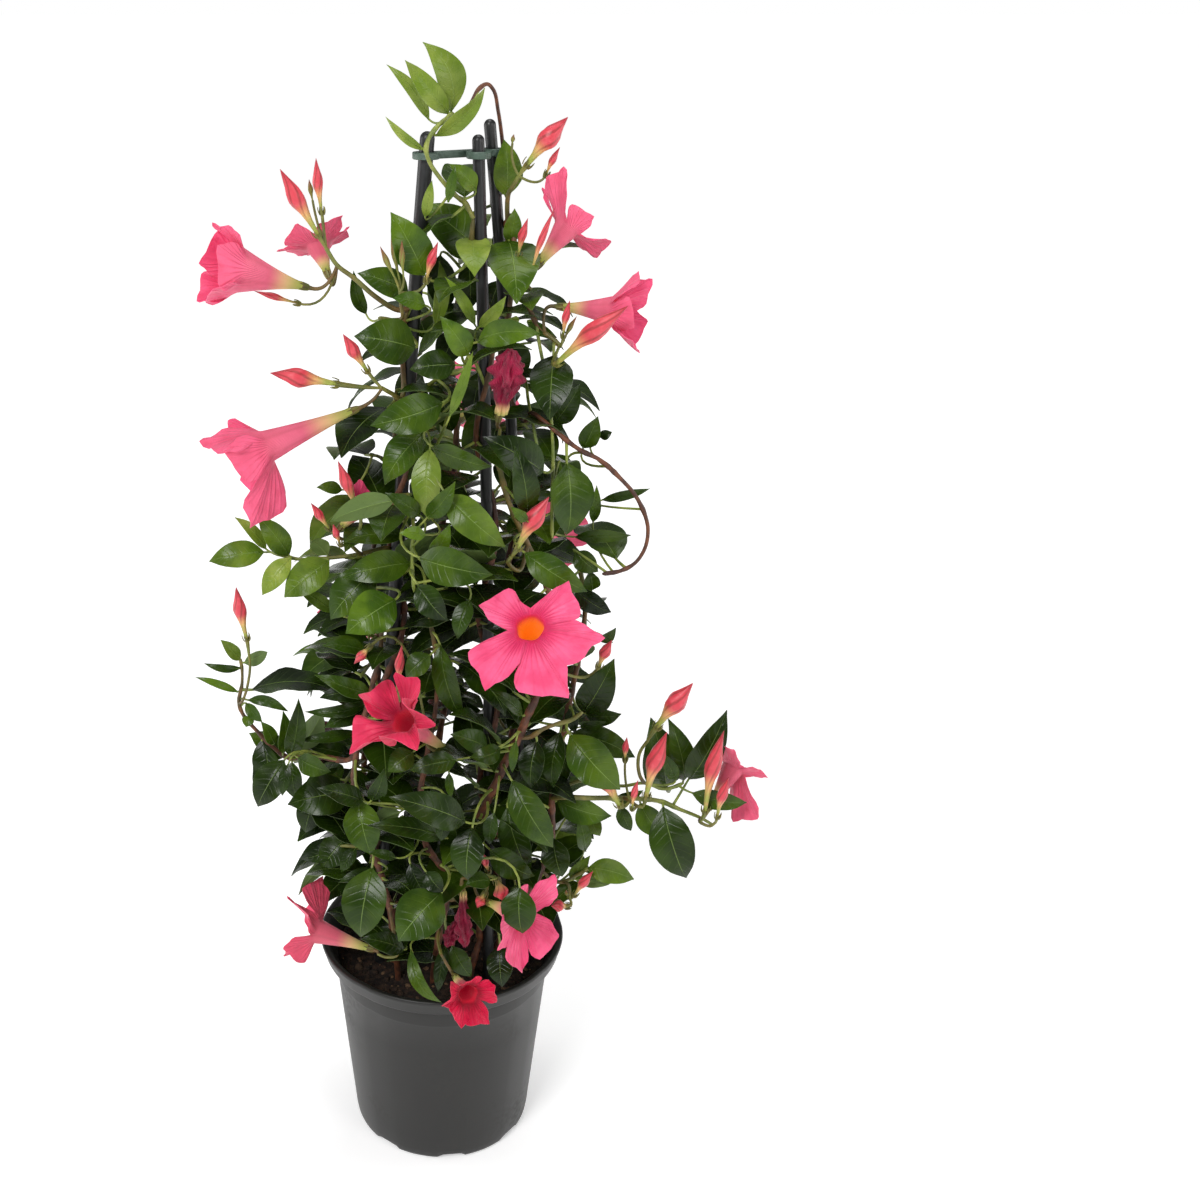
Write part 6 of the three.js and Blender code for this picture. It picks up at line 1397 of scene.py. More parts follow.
def thicken(
    points: np.ndarray, quads: np.ndarray, thickness: np.ndarray | float, **values: np.ndarray
) -> Body:
    """A surface made into a thin closed body.

    Args:
        points: The surface's points.
        quads: Its faces.
        thickness: How thick it is, in mm, everywhere or at each point.
        values: What each point holds, alike on both faces.

    Returns:
        The body, with the value "face" at 1 on the side of the surface's normal and 0 behind.
    """
    a, b, c, d = (points[quads[:, k]] for k in range(4))
    face_normals = np.cross(c - a, d - b)
    normals = np.zeros_like(points)
    for k in range(4):
        np.add.at(normals, quads[:, k], face_normals)
    normals /= np.maximum(np.linalg.norm(normals, axis=1, keepdims=True), 1e-12)
    half = np.broadcast_to(np.asarray(thickness, float) / 2, (len(points),))[:, None]
    count = len(points)
    edges = np.concatenate([quads[:, [k, (k + 1) % 4]] for k in range(4)])
    keys = edges[:, 0] * count + edges[:, 1]
    open_edges = edges[~np.isin(keys, edges[:, 1] * count + edges[:, 0])]
    start, end = open_edges[:, 0], open_edges[:, 1]
    walls = np.stack([count + start, count + end, end, start], 1)
    faces = np.concatenate([quads, count + quads[:, ::-1], walls])
    held = {name: np.tile(np.broadcast_to(v, (count,)), 2) for name, v in values.items()}
    held["face"] = np.repeat([1.0, 0.0], count)
    both = np.concatenate([points + normals * half, points - normals * half])
    return Body(both, faces, values=held)


def placed(name: str, data: bpy.types.ID) -> bpy.types.Object:
    """A new object of the scene that shows some data.

    Args:
        name: The object's name.
        data: What it shows.

    Returns:
        The object.
    """
    made = bpy.data.objects.new(name, data)
    bpy.context.scene.collection.objects.link(made)
    return made


class Piece:
    """Closed bodies gathered into one object."""

    def __init__(self, *kinds: str) -> None:
        """Starts an empty piece whose points hold a value of each kind."""
        self.kinds = kinds
        self.bodies: list[Body] = []

    def add(self, body: Body, **values: float) -> None:
        """Adds a body, with values that are the same all over it.

        Args:
            body: The body.
            values: The values by name.
        """
        for name, value in values.items():
            body.values[name] = np.full(len(body.points), float(value))
        self.bodies.append(body)

    def make(
        self, name: str, finish: bpy.types.Material, slot: Slot, *nodes: str, sharp: float = 50.0
    ) -> None:
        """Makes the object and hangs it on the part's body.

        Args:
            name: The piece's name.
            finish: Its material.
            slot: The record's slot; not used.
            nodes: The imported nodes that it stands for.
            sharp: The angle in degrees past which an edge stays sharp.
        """
        starts = np.cumsum([0, *(len(b.points) for b in self.bodies)])
        points = np.concatenate([b.points for b in self.bodies]) * MM
        faces: list[list[int]] = []
        for start, body in zip(starts, self.bodies):
            faces += (body.quads + start).tolist()
            faces += (body.tris + start).tolist()
        mesh = bpy.data.meshes.new(name)
        mesh.from_pydata(points.tolist(), [], faces)
        for kind in self.kinds:
            held = [b.values.get(kind, np.zeros(len(b.points))) for b in self.bodies]
            attribute = mesh.attributes.new(kind, "FLOAT", "POINT")
            attribute.data.foreach_set("value", np.concatenate(held).astype(np.float32))
        mesh.polygons.foreach_set("use_smooth", np.ones(len(mesh.polygons), bool))
        mesh.set_sharp_from_angle(angle=math.radians(sharp))
        mesh.materials.append(finish)
        made = placed(name, mesh)
        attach(made, "root")
        if nodes:
            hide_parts(*nodes)
        LOG.info("%s: %d faces", name, len(faces))


class Slot(Enum):
    """The record's material slots."""

    POT = "pot_plastic"
    SOIL = "soil"
    CANE = "cane_plastic"
    CLIP = "clip_plastic"
    FOLIAGE = "foliage"
    SPRAY = "bud_spray"
    PETALS = "petals"


# ---------------------------------------------------------------- finishes
BLACK: Colour = (0.0, 0.0, 0.0, 1.0)
WHITE: Colour = (1.0, 1.0, 1.0, 1.0)


def grey(shade: float) -> Colour:
    """A grey in linear terms."""
    return (shade, shade, shade, 1.0)


def srgb(red: float, green: float, blue: float) -> Colour:
    """A colour given as display values from 0 to 255, in the renderer's own linear terms.

    Args:
        red: The red.
        green: The green.
        blue: The blue.

    Returns:
        The colour, with full cover.
    """
    shares = (red / 255, green / 255, blue / 255)
    r, g, b = (c / 12.92 if c <= 0.04045 else ((c + 0.055) / 1.055) ** 2.4 for c in shares)
    return (r, g, b, 1.0)


class Graph:
    """Short calls that fill a node tree."""

    def __init__(self, tree: bpy.types.NodeTree) -> None:
        """Works on a tree that exists already."""
        self.tree = tree

    def add(self, kind: str, inputs: Inputs | None = None, **settings: object) -> bpy.types.Node:
        """Adds a node.

        Args:
            kind: Its type.
            inputs: A value or an output for each input.
            settings: Its own properties.

        Returns:
            The node.
        """
        node = self.tree.nodes.new(kind)
        for name, value in settings.items():
            setattr(node, name, value)
        for name, value in (inputs or {}).items():
            self.feed(node.inputs[name], value)
        return node

    def feed(self, socket: bpy.types.NodeSocket, value: object) -> None:
        """Links an output to a socket, or sets its value.

        Args:
            socket: The socket.
            value: The output or the value.
        """
        if isinstance(value, bpy.types.NodeSocket):
            self.tree.links.new(value, socket)
        else:
            socket.default_value = value

    def held(self, name: str) -> bpy.types.NodeSocket:
        """The value that the points hold under a name."""
        return self.add("ShaderNodeAttribute", attribute_name=name).outputs["Fac"]

    def math(self, operation: str, *values: object, clamp: bool = False) -> bpy.types.NodeSocket:
        """One operation on one or two values."""
        node = self.add("ShaderNodeMath", dict(enumerate(values)), operation=operation, use_clamp=clamp)
        return node.outputs[0]

    def times(self, first: object, second: object) -> bpy.types.NodeSocket:
        """One value times another."""
        return self.math("MULTIPLY", first, second)

    def plus(self, first: object, second: object) -> bpy.types.NodeSocket:
        """One value and another."""
        return self.math("ADD", first, second)

    def less(self, first: object, second: object) -> bpy.types.NodeSocket:
        """The first value less the second."""
        return self.math("SUBTRACT", first, second)

    def fade(self, value: object, start: object, end: object) -> bpy.types.NodeSocket:
        """A smooth step from 0 at start to 1 at end."""
        inputs = {"Value": value, "From Min": start, "From Max": end}
        return self.add("ShaderNodeMapRange", inputs, interpolation_type="SMOOTHSTEP").outputs["Result"]

    def mix(self, share: object, first: object, second: object) -> bpy.types.NodeSocket:
        """A mix of two colours."""
        return self.add("ShaderNodeMix", {0: share, 6: first, 7: second}, data_type="RGBA").outputs[2]

    def noise(self, scale: object, detail: float = 3.0) -> bpy.types.NodeSocket:
        """Noise from 0 to 1 in the piece's own space.

        Args:
            scale: How fine it is.
            detail: How many layers it has.

        Returns:
            The output.
        """
        place = self.add("ShaderNodeTexCoord").outputs["Object"]
        inputs = {"Vector": place, "Scale": scale, "Detail": detail}
        return self.add("ShaderNodeTexNoise", inputs).outputs["Fac"]

    def group(self, effect: bpy.types.NodeTree, inputs: Inputs) -> bpy.types.Node:
        """Places a shared effect with this finish's own values.

        Args:
            effect: The group.
            inputs: A value or an output for each input.

        Returns:
            The node.
        """
        node = self.add("ShaderNodeGroup", node_tree=effect)
        for name, value in inputs.items():
            self.feed(node.inputs[name], value)
        return node


class Effects:
    """The effects that several finishes share, each a node group built once."""

    def __init__(self) -> None:
        """Builds the groups."""
        self.mottle = self._mottle()
        self.veins = self._veins()
        self.relief = self._relief()
        self.wear = self._wear()

    @staticmethod
    def _start(
        name: str, inputs: dict[str, float | Colour], outputs: dict[str, str]
    ) -> tuple[Graph, bpy.types.NodeOutputs, bpy.types.NodeInputs]:
        """A new group with its sockets.

        Args:
            name: The group's name.
            inputs: Each input with its usual value, a number or a colour.
            outputs: Each output with its socket type.

        Returns:
            The graph, what the group is given, and what it puts out.
        """
        tree = bpy.data.node_groups.new(name, "ShaderNodeTree")
        for label, value in inputs.items():
            kind = "NodeSocketColor" if isinstance(value, tuple) else "NodeSocketFloat"
            socket = tree.interface.new_socket(name=label, in_out="INPUT", socket_type=kind)
            socket.default_value = value
        for label, kind in outputs.items():
            tree.interface.new_socket(name=label, in_out="OUTPUT", socket_type=kind)
        graph = Graph(tree)
        return graph, graph.add("NodeGroupInput").outputs, graph.add("NodeGroupOutput").inputs

    def _mottle(self) -> bpy.types.NodeTree:
        """Soft patches of a lighter colour over a darker one.

        Returns:
            The group.
        """
        graph, given, out = self._start(
            "mottle",
            {"Scale": 60.0, "Start": 0.35, "End": 0.7, "Dark": BLACK, "Light": WHITE},
            {"Colour": "NodeSocketColor"},
        )
        patches = graph.fade(graph.noise(given["Scale"]), given["Start"], given["End"])
        graph.feed(out["Colour"], graph.mix(patches, given["Dark"], given["Light"]))
        return graph.tree

    def _veins(self) -> bpy.types.NodeTree:
        """A midrib and the side veins that arch away from it.

        Returns:
            The group.
        """
        graph, given, out = self._start(
            "veins",
            {
                "Along": 0.0, "Across": 0.0, "Count": VEIN_COUNT, "Slant": VEIN_SLANT,
                "Midrib": 0.05, "Width": 0.09,
            },
            {"Midrib": "NodeSocketFloat", "Side": "NodeSocketFloat"},
        )
        off = graph.math("ABSOLUTE", given["Across"])
        graph.feed(out["Midrib"], graph.fade(off, given["Midrib"], graph.times(given["Midrib"], 0.3)))
        slanted = graph.times(graph.math("POWER", off, VEIN_BEND), given["Slant"])
        place = graph.less(graph.times(given["Along"], given["Count"]), slanted)
        near = graph.math("ABSOLUTE", graph.less(graph.math("FRACT", place), 0.5))
        line = graph.fade(near, given["Width"], 0.0)
        graph.feed(out["Side"], graph.times(line, graph.fade(off, 0.98, 0.6)))
        return graph.tree

    def _relief(self) -> bpy.types.NodeTree:
        """Fine unevenness added to a height, put out as a normal.

        Returns:
            The group.
        """
        graph, given, out = self._start(
            "relief",
            {"Height": 0.0, "Scale": 400.0, "Fine": 0.2, "Strength": 0.4, "Depth": 0.0004},
            {"Normal": "NodeSocketVector"},
        )
        fine = graph.times(graph.noise(given["Scale"], 4.0), given["Fine"])
        height = graph.plus(given["Height"], fine)
        inputs = {"Strength": given["Strength"], "Distance": given["Depth"], "Height": height}
        graph.feed(out["Normal"], graph.add("ShaderNodeBump", inputs).outputs["Normal"])
        return graph.tree

    def _wear(self) -> bpy.types.NodeTree:
        """Thin dust and scuffs on plastic, as a mask.

        Returns:
            The group.
        """
        graph, given, out = self._start(
            "wear", {"Scale": 25.0, "Amount": 0.5}, {"Mask": "NodeSocketFloat"}
        )
        broad = graph.fade(graph.noise(given["Scale"], 5.0), 0.42, 0.72)
        fine = graph.fade(graph.noise(graph.times(given["Scale"], 14.0), 2.0), 0.3, 0.7)
        both = graph.times(broad, fine)
        graph.feed(out["Mask"], graph.math("MULTIPLY", both, given["Amount"], clamp=True))
        return graph.tree


@dataclass(frozen=True)
class Shader:
    """The plain numbers of a finish's shader."""

    roughness: float = 0.5
    specular: float = 0.5
    sheen: float = 0.0
    subsurface: float = 0.0
    subsurface_scale: float = 0.004
    subsurface_radius: tuple[float, float, float] = (1.0, 0.35, 0.3)

    def make(self, name: str) -> tuple[bpy.types.Material, Graph, bpy.types.Node]:
        """A new material with its shader.

        Args:
            name: The material's name.

        Returns:
            The material, its graph and the shader node.
        """
        material = bpy.data.materials.new(name)
        material.use_nodes = True
        tree = material.node_tree
        shader = tree.nodes["Principled BSDF"]
        for socket, value in {
            "Roughness": self.roughness,
            "Specular IOR Level": self.specular,
            "Sheen Weight": self.sheen,
            "Subsurface Weight": self.subsurface,
            "Subsurface Scale": self.subsurface_scale,
            "Subsurface Radius": self.subsurface_radius,
        }.items():
            shader.inputs[socket].default_value = value
        return material, Graph(tree), shader


@dataclass(frozen=True)
class Patches:
    """Two colours in soft patches: how many to a metre, the dark one and the light one."""

    scale: float
    dark: Colour
    light: Colour

    def colour(self, graph: Graph, effects: Effects) -> bpy.types.NodeSocket:
        """The shared mottle with these values."""
        inputs = {"Scale": self.scale, "Dark": self.dark, "Light": self.light}
        return graph.group(effects.mottle, inputs).outputs["Colour"]


@dataclass(frozen=True)
class Relief:
    """How fine and how strong a surface's small unevenness is; its depth is in metres."""

    scale: float
    strength: float
    fine: float = 1.0
    depth: float = 0.0004

    def feed(self, graph: Graph, shader: bpy.types.Node, effects: Effects, height: object = 0.0) -> None:
        """Feeds the shader's normal from the shared relief.

        Args:
            graph: The material's graph.
            shader: Its shader.
            effects: The shared effects.
            height: What stands up besides the unevenness.
        """
        inputs = {
            "Height": height, "Scale": self.scale, "Fine": self.fine, "Strength": self.strength,
            "Depth": self.depth,
        }
        graph.feed(shader.inputs["Normal"], graph.group(effects.relief, inputs).outputs["Normal"])


@dataclass(frozen=True)
class LeafFinish:
    """Glossy leaf: dark above with a pale midrib, dull grey-green beneath."""

    plain: Shader = Shader(0.36, specular=0.2)
    relief: Relief = Relief(500.0, 0.5, fine=0.25)
    old: Patches = Patches(40.0, srgb(15, 29, 3), srgb(40, 61, 8))
    middle: Patches = Patches(60.0, srgb(50, 76, 12), srgb(84, 110, 22))
    fresh: Patches = Patches(70.0, srgb(112, 134, 44), srgb(152, 166, 78))
    under: Colour = srgb(104, 124, 72)
    under_share: float = 0.6
    side_vein: Colour = srgb(118, 146, 70)
    side_share: float = 0.045
    midrib: Colour = srgb(136, 162, 84)
    midrib_share: float = 0.42
    vein_count: float = VEIN_COUNT
    vein_width: float = 0.12
    midrib_width: float = 0.035
    gloss: float = 0.2
    uneven_gloss: float = 0.12
    gloss_scale: float = 90.0
    dull_beneath: float = 0.25
    side_depth: float = 0.45
    middle_at: Numbers = (0.0, 0.55)  # how young a leaf is where one colour gives way to the next
    fresh_at: Numbers = (0.5, 1.0)

    def make(self, effects: Effects) -> bpy.types.Material:
        """Builds the material.

        Args:
            effects: The shared effects.

        Returns:
            The material.
        """
        material, graph, shader = self.plain.make("leaf")
        young, face = graph.held("young"), graph.held("face")
        old, middle, fresh = (p.colour(graph, effects) for p in (self.old, self.middle, self.fresh))
        top = graph.mix(graph.fade(young, *self.middle_at), old, middle)
        top = graph.mix(graph.fade(young, *self.fresh_at), top, fresh)
        colour = graph.mix(face, graph.mix(self.under_share, top, self.under), top)
        veins = graph.group(effects.veins, {
            "Along": graph.held("along"), "Across": graph.held("across"), "Count": self.vein_count,
            "Midrib": self.midrib_width, "Width": self.vein_width,
        }).outputs
        colour = graph.mix(graph.times(veins["Side"], self.side_share), colour, self.side_vein)
        colour = graph.mix(graph.times(veins["Midrib"], self.midrib_share), colour, self.midrib)
        graph.feed(shader.inputs["Base Color"], colour)
        rough = graph.plus(self.gloss, graph.times(graph.noise(self.gloss_scale), self.uneven_gloss))
        dull = graph.times(graph.less(1.0, face), self.dull_beneath)
        graph.feed(shader.inputs["Roughness"], graph.plus(rough, dull))
        sunk = graph.times(graph.plus(veins["Midrib"], graph.times(veins["Side"], self.side_depth)), -1.0)
        self.relief.feed(graph, shader, effects, sunk)
        return material


@dataclass(frozen=True)
class StemFinish:
    """Stems: pale green when young, red-brown and rough when woody."""

    plain: Shader = Shader(0.5)
    relief: Relief = Relief(900.0, 0.5)
    green: Patches = Patches(120.0, srgb(96, 112, 40), srgb(140, 150, 66))
    brown: Patches = Patches(160.0, srgb(58, 30, 16), srgb(108, 62, 36))
    woody_from: float = 0.12
    woody_to: float = 0.55
    gloss: float = 0.42
    rougher: float = 0.25

    def make(self, effects: Effects) -> bpy.types.Material:
        """Builds the material.

        Args:
            effects: The shared effects.

        Returns:
            The material.
        """
        material, graph, shader = self.plain.make("stem")
        woody = graph.held("woody")
        green, brown = self.green.colour(graph, effects), self.brown.colour(graph, effects)
        share = graph.fade(woody, self.woody_from, self.woody_to)
        graph.feed(shader.inputs["Base Color"], graph.mix(share, green, brown))
        graph.feed(shader.inputs["Roughness"], graph.plus(self.gloss, graph.times(woody, self.rougher)))
        self.relief.feed(graph, shader, effects)
        return material


@dataclass(frozen=True)
class BudFinish:
    """Buds: green at the foot, coral along the twist, deep red at the tip."""

    plain: Shader = Shader(0.42, sheen=0.1)
    relief: Relief = Relief(700.0, 0.4, fine=0.2)
    foot: Colour = srgb(146, 156, 62)
    waist: Colour = srgb(216, 168, 104)
    body: Colour = srgb(202, 56, 70)
    tip: Colour = srgb(168, 28, 46)
    blush: Colour = srgb(232, 110, 118)
    blush_scale: float = 220.0
    blush_share: float = 0.3
    green: Colour = srgb(122, 130, 48)
    green_tip: Colour = srgb(120, 66, 36)
    seam: Colour = srgb(118, 34, 26)
    seam_share: float = 0.7
    waist_at: Numbers = (0.14, 0.38)  # where along the bud a colour starts and is full
    body_at: Numbers = (0.3, 0.54)
    tip_at: Numbers = (0.75, 1.0)
    blush_at: Numbers = (0.45, 0.75)
    green_tip_at: Numbers = (0.45, 1.0)
    seam_at: Numbers = (0.62, 1.0)
    seam_along: Numbers = (0.1, 0.5)

    def make(self, effects: Effects) -> bpy.types.Material:
        """Builds the material.

        Args:
            effects: The shared effects.

        Returns:
            The material.
        """
        material, graph, shader = self.plain.make("bud")
        along, swirl = graph.held("along"), graph.held("swirl")
        coral = graph.mix(graph.fade(along, *self.waist_at), self.foot, self.waist)
        coral = graph.mix(graph.fade(along, *self.body_at), coral, self.body)
        coral = graph.mix(graph.fade(along, *self.tip_at), coral, self.tip)
        blush = graph.times(graph.fade(graph.noise(self.blush_scale), *self.blush_at), self.blush_share)
        coral = graph.mix(blush, coral, self.blush)
        green = graph.mix(graph.fade(along, *self.green_tip_at), self.green, self.green_tip)
        colour = graph.mix(graph.held("green"), coral, green)
        seams = graph.times(graph.fade(swirl, *self.seam_at), graph.fade(along, *self.seam_along))
        colour = graph.mix(graph.times(seams, self.seam_share), colour, self.seam)
        graph.feed(shader.inputs["Base Color"], colour)
        self.relief.feed(graph, shader, effects, swirl)
        return material


@dataclass(frozen=True)
class PetalFinish:
    """Corollas: yellow-green tube, orange throat with a red ring, satin pink lobes with painted shade toward
    their sides.

    The value "reach" runs from 0 at the tube's foot over 1 at the throat to 2 at a lobe's tip. Pairs
    of colours are for a pale flower and for a deep one. The emission is painted light: the whole corolla
    glows faintly in its own colour, a painted brightening of its shaded sides, and one face of the tube glows
    orange or crimson, as if lit through.
    """

    plain: Shader = Shader(0.5, specular=0.25, sheen=0.08, subsurface=0.06)
    relief: Relief = Relief(190.0, 0.9, fine=0.9, depth=0.001)
    pale: tuple[Colour, Colour] = (srgb(240, 100, 146), srgb(200, 10, 60))
    deep: tuple[Colour, Colour] = (srgb(216, 34, 94), srgb(140, 0, 32))
    spent_pale: Colour = srgb(156, 20, 62)
    spent_deep: Colour = srgb(70, 4, 24)
    patch_scale: float = 75.0
    patch_detail: float = 4.0
    patch_share: float = 0.55
    vein_count: float = 7.0
    vein_width: float = 0.3
    vein_share: float = 0.8
    vein_height: float = 0.3
    # painted shade: how far a lobe darkens toward its sides, where the lobes overlap
    painted_side_shade_share: float = 0.5
    throat: tuple[Colour, Colour] = (srgb(214, 160, 40), srgb(238, 142, 22))
    deep_throat: Colour = srgb(150, 6, 34)
    ring: Colour = srgb(214, 30, 60)
    foot: tuple[Colour, Colour] = (srgb(170, 176, 78), srgb(226, 188, 130))
    skin: Colour = srgb(250, 170, 176)
    skin_share: float = 0.2
    back_share: float = 0.5
    # painted glow: one face of the tube glows in these colours, for a pale flower and a deep one, and the
    # whole flower glows at a tenth of its own colour (0.9 of the way to black), a painted brightening of its
    # shaded sides
    through: tuple[Colour, Colour] = (srgb(158, 80, 6), srgb(104, 5, 22))
    darker: float = 0.9
    gloss: float = 0.42
    uneven_gloss: float = 0.16
    deep_at: Numbers = (0.6, 0.8)  # where each colour starts and is full, by depth, edge or reach
    patch_at: Numbers = (0.35, 0.7)
    vein_at: Numbers = (1.75, 1.05)
    # painted shade at the lobes' sides starts and is full at these edge values
    painted_side_shade_at: Numbers = (0.62, 1.0)
    throat_at: Numbers = (0.3, 0.75)
    ring_at: Numbers = (0.8, 1.0)
    halo_at: Numbers = (1.02, 1.5)
    lobe_at: Numbers = (0.94, 1.1)
    foot_at: Numbers = (0.0, 0.35)
    skin_at: Numbers = (0.2, 0.62)
    back_at: Numbers = (0.9, 1.3)
    # where the tube's painted glow fades, by reach: out past the throat and in at the foot
    glow_to: Numbers = (1.0, 0.9)
    glow_from: Numbers = (0.05, 0.4)

    def make(self, effects: Effects) -> bpy.types.Material:
        """Builds the material.

        Args:
            effects: The shared effects.

        Returns:
            The material.
        """
        material, graph, shader = self.plain.make("petal")
        reach, face, depth, spent = (graph.held(n) for n in ("reach", "face", "depth", "spent"))
        edge = graph.held("edge")
        is_deep = graph.fade(depth, *self.deep_at)
        pale = graph.mix(spent, graph.mix(depth, *self.pale), self.spent_pale)
        deep = graph.mix(spent, graph.mix(depth, *self.deep), self.spent_deep)
        patches = graph.fade(graph.noise(self.patch_scale, self.patch_detail), *self.patch_at)
        veins = graph.group(effects.veins, {
            "Along": edge, "Across": 0.5, "Count": self.vein_count, "Slant": 0.0,
            "Width": self.vein_width,
        }).outputs["Side"]
        lobe = graph.mix(graph.times(patches, self.patch_share), pale, deep)
        lines = graph.times(graph.times(veins, graph.fade(reach, *self.vein_at)), self.vein_share)
        lobe = graph.mix(lines, lobe, deep)
        # painted shade: darker toward each lobe's sides and the notches between them
        lobe = graph.mix(graph.times(graph.fade(edge, *self.painted_side_shade_at), self.painted_side_shade_share), lobe, deep)
        throat = graph.mix(graph.fade(reach, *self.throat_at), *self.throat)
        throat = graph.mix(is_deep, throat, self.deep_throat)
        inside = graph.mix(graph.fade(reach, *self.ring_at), throat, self.ring)
        halo = graph.mix(graph.fade(reach, *self.halo_at), deep, lobe)
        inside = graph.mix(graph.fade(reach, *self.lobe_at), inside, halo)
        foot = graph.mix(graph.fade(reach, *self.foot_at), *self.foot)
        paler = graph.less(self.skin_share, graph.times(spent, self.skin_share))
        skin = graph.mix(paler, lobe, self.skin)
        outside = graph.mix(graph.fade(reach, *self.skin_at), foot, skin)
        back = graph.mix(self.back_share, lobe, skin)
        outside = graph.mix(graph.fade(reach, *self.back_at), outside, back)
        colour = graph.mix(face, inside, outside)
        graph.feed(shader.inputs["Base Color"], colour)
        # painted light: the emission makes one face of the tube glow and the rest glow faintly in its own
        # colour
        glow = graph.times(graph.fade(reach, *self.glow_to), graph.fade(reach, *self.glow_from))
        glow = graph.times(glow, graph.less(1.0, face))
        painted_self_glow = graph.mix(self.darker, colour, BLACK)
        graph.feed(shader.inputs["Emission Color"], graph.mix(glow, painted_self_glow, graph.mix(is_deep, *self.through)))
        shader.inputs["Emission Strength"].default_value = 1.0
        dull = graph.plus(self.gloss, graph.times(patches, self.uneven_gloss))
        graph.feed(shader.inputs["Roughness"], dull)
        self.relief.feed(graph, shader, effects, graph.times(veins, self.vein_height))
        return material


@dataclass(frozen=True)
class PlasticFinish:
    """Moulded plastic with thin dust: its own colour, and the colour where it is worn."""

    name: str
    body: Colour
    worn: Colour
    plain: Shader
    relief: Relief = Relief(1400.0, 0.15, depth=0.0002)
    wear_scale: float = 22.0
    wear_amount: float = 0.7
    rougher: float = 0.2

    def make(self, effects: Effects) -> bpy.types.Material:
        """Builds the material.

        Args:
            effects: The shared effects.

        Returns:
            The material.
        """
        material, graph, shader = self.plain.make(self.name)
        inputs = {"Scale": self.wear_scale, "Amount": self.wear_amount}
        wear = graph.group(effects.wear, inputs).outputs["Mask"]
        graph.feed(shader.inputs["Base Color"], graph.mix(wear, self.body, self.worn))
        rough = graph.plus(self.plain.roughness, graph.times(wear, self.rougher))
        graph.feed(shader.inputs["Roughness"], rough)
        self.relief.feed(graph, shader, effects)
        return material


@dataclass(frozen=True)
class SoilFinish:
    """Damp peat with lighter fibres."""

    plain: Shader = Shader(0.9, specular=0.3)
    relief: Relief = Relief(700.0, 0.9, depth=0.001)
    peat: Patches = Patches(260.0, srgb(20, 14, 11), srgb(52, 38, 28))
    fibre: Colour = srgb(104, 80, 58)
    fibre_from: float = 0.6

    def make(self, effects: Effects) -> bpy.types.Material:
        """Builds the material.

        Args:
            effects: The shared effects.

        Returns:
            The material.
        """
        material, graph, shader = self.plain.make("soil")
        share = graph.fade(graph.held("tint"), self.fibre_from, 1.0)
        colour = graph.mix(share, self.peat.colour(graph, effects), self.fibre)
        graph.feed(shader.inputs["Base Color"], colour)
        self.relief.feed(graph, shader, effects)
        return material


class Finishes:
    """Every material of the plant and its pot, made once."""

    def __init__(self) -> None:
        """Builds the shared effects, then the materials."""
        effects = Effects()
        self.leaf = LeafFinish().make(effects)
        self.stem = StemFinish().make(effects)
        self.bud = BudFinish().make(effects)
        self.petal = PetalFinish().make(effects)
        self.pot, self.cane, self.clip = (
            PlasticFinish(*row).make(effects)
            for row in (
                ("pot plastic", srgb(27, 26.5, 24.5), srgb(41, 40, 37), Shader(0.42, specular=0.4)),
                ("cane plastic", srgb(20, 21, 22), srgb(44, 46, 47), Shader(0.38)),
                ("clip plastic", srgb(62, 82, 70), srgb(120, 136, 126), Shader(0.45)),
            )
        )
        self.soil = SoilFinish().make(effects)


# ---------------------------------------------------------------- pot, soil, canes, clip
def ring_at(angles: np.ndarray, radius: float, heights: np.ndarray | float) -> np.ndarray:
    """Points round the upright axis at some angles, with one height or one for each."""
    level = np.broadcast_to(heights, angles.shape)
    return np.stack([np.cos(angles) * radius, np.sin(angles) * radius, level], 1)


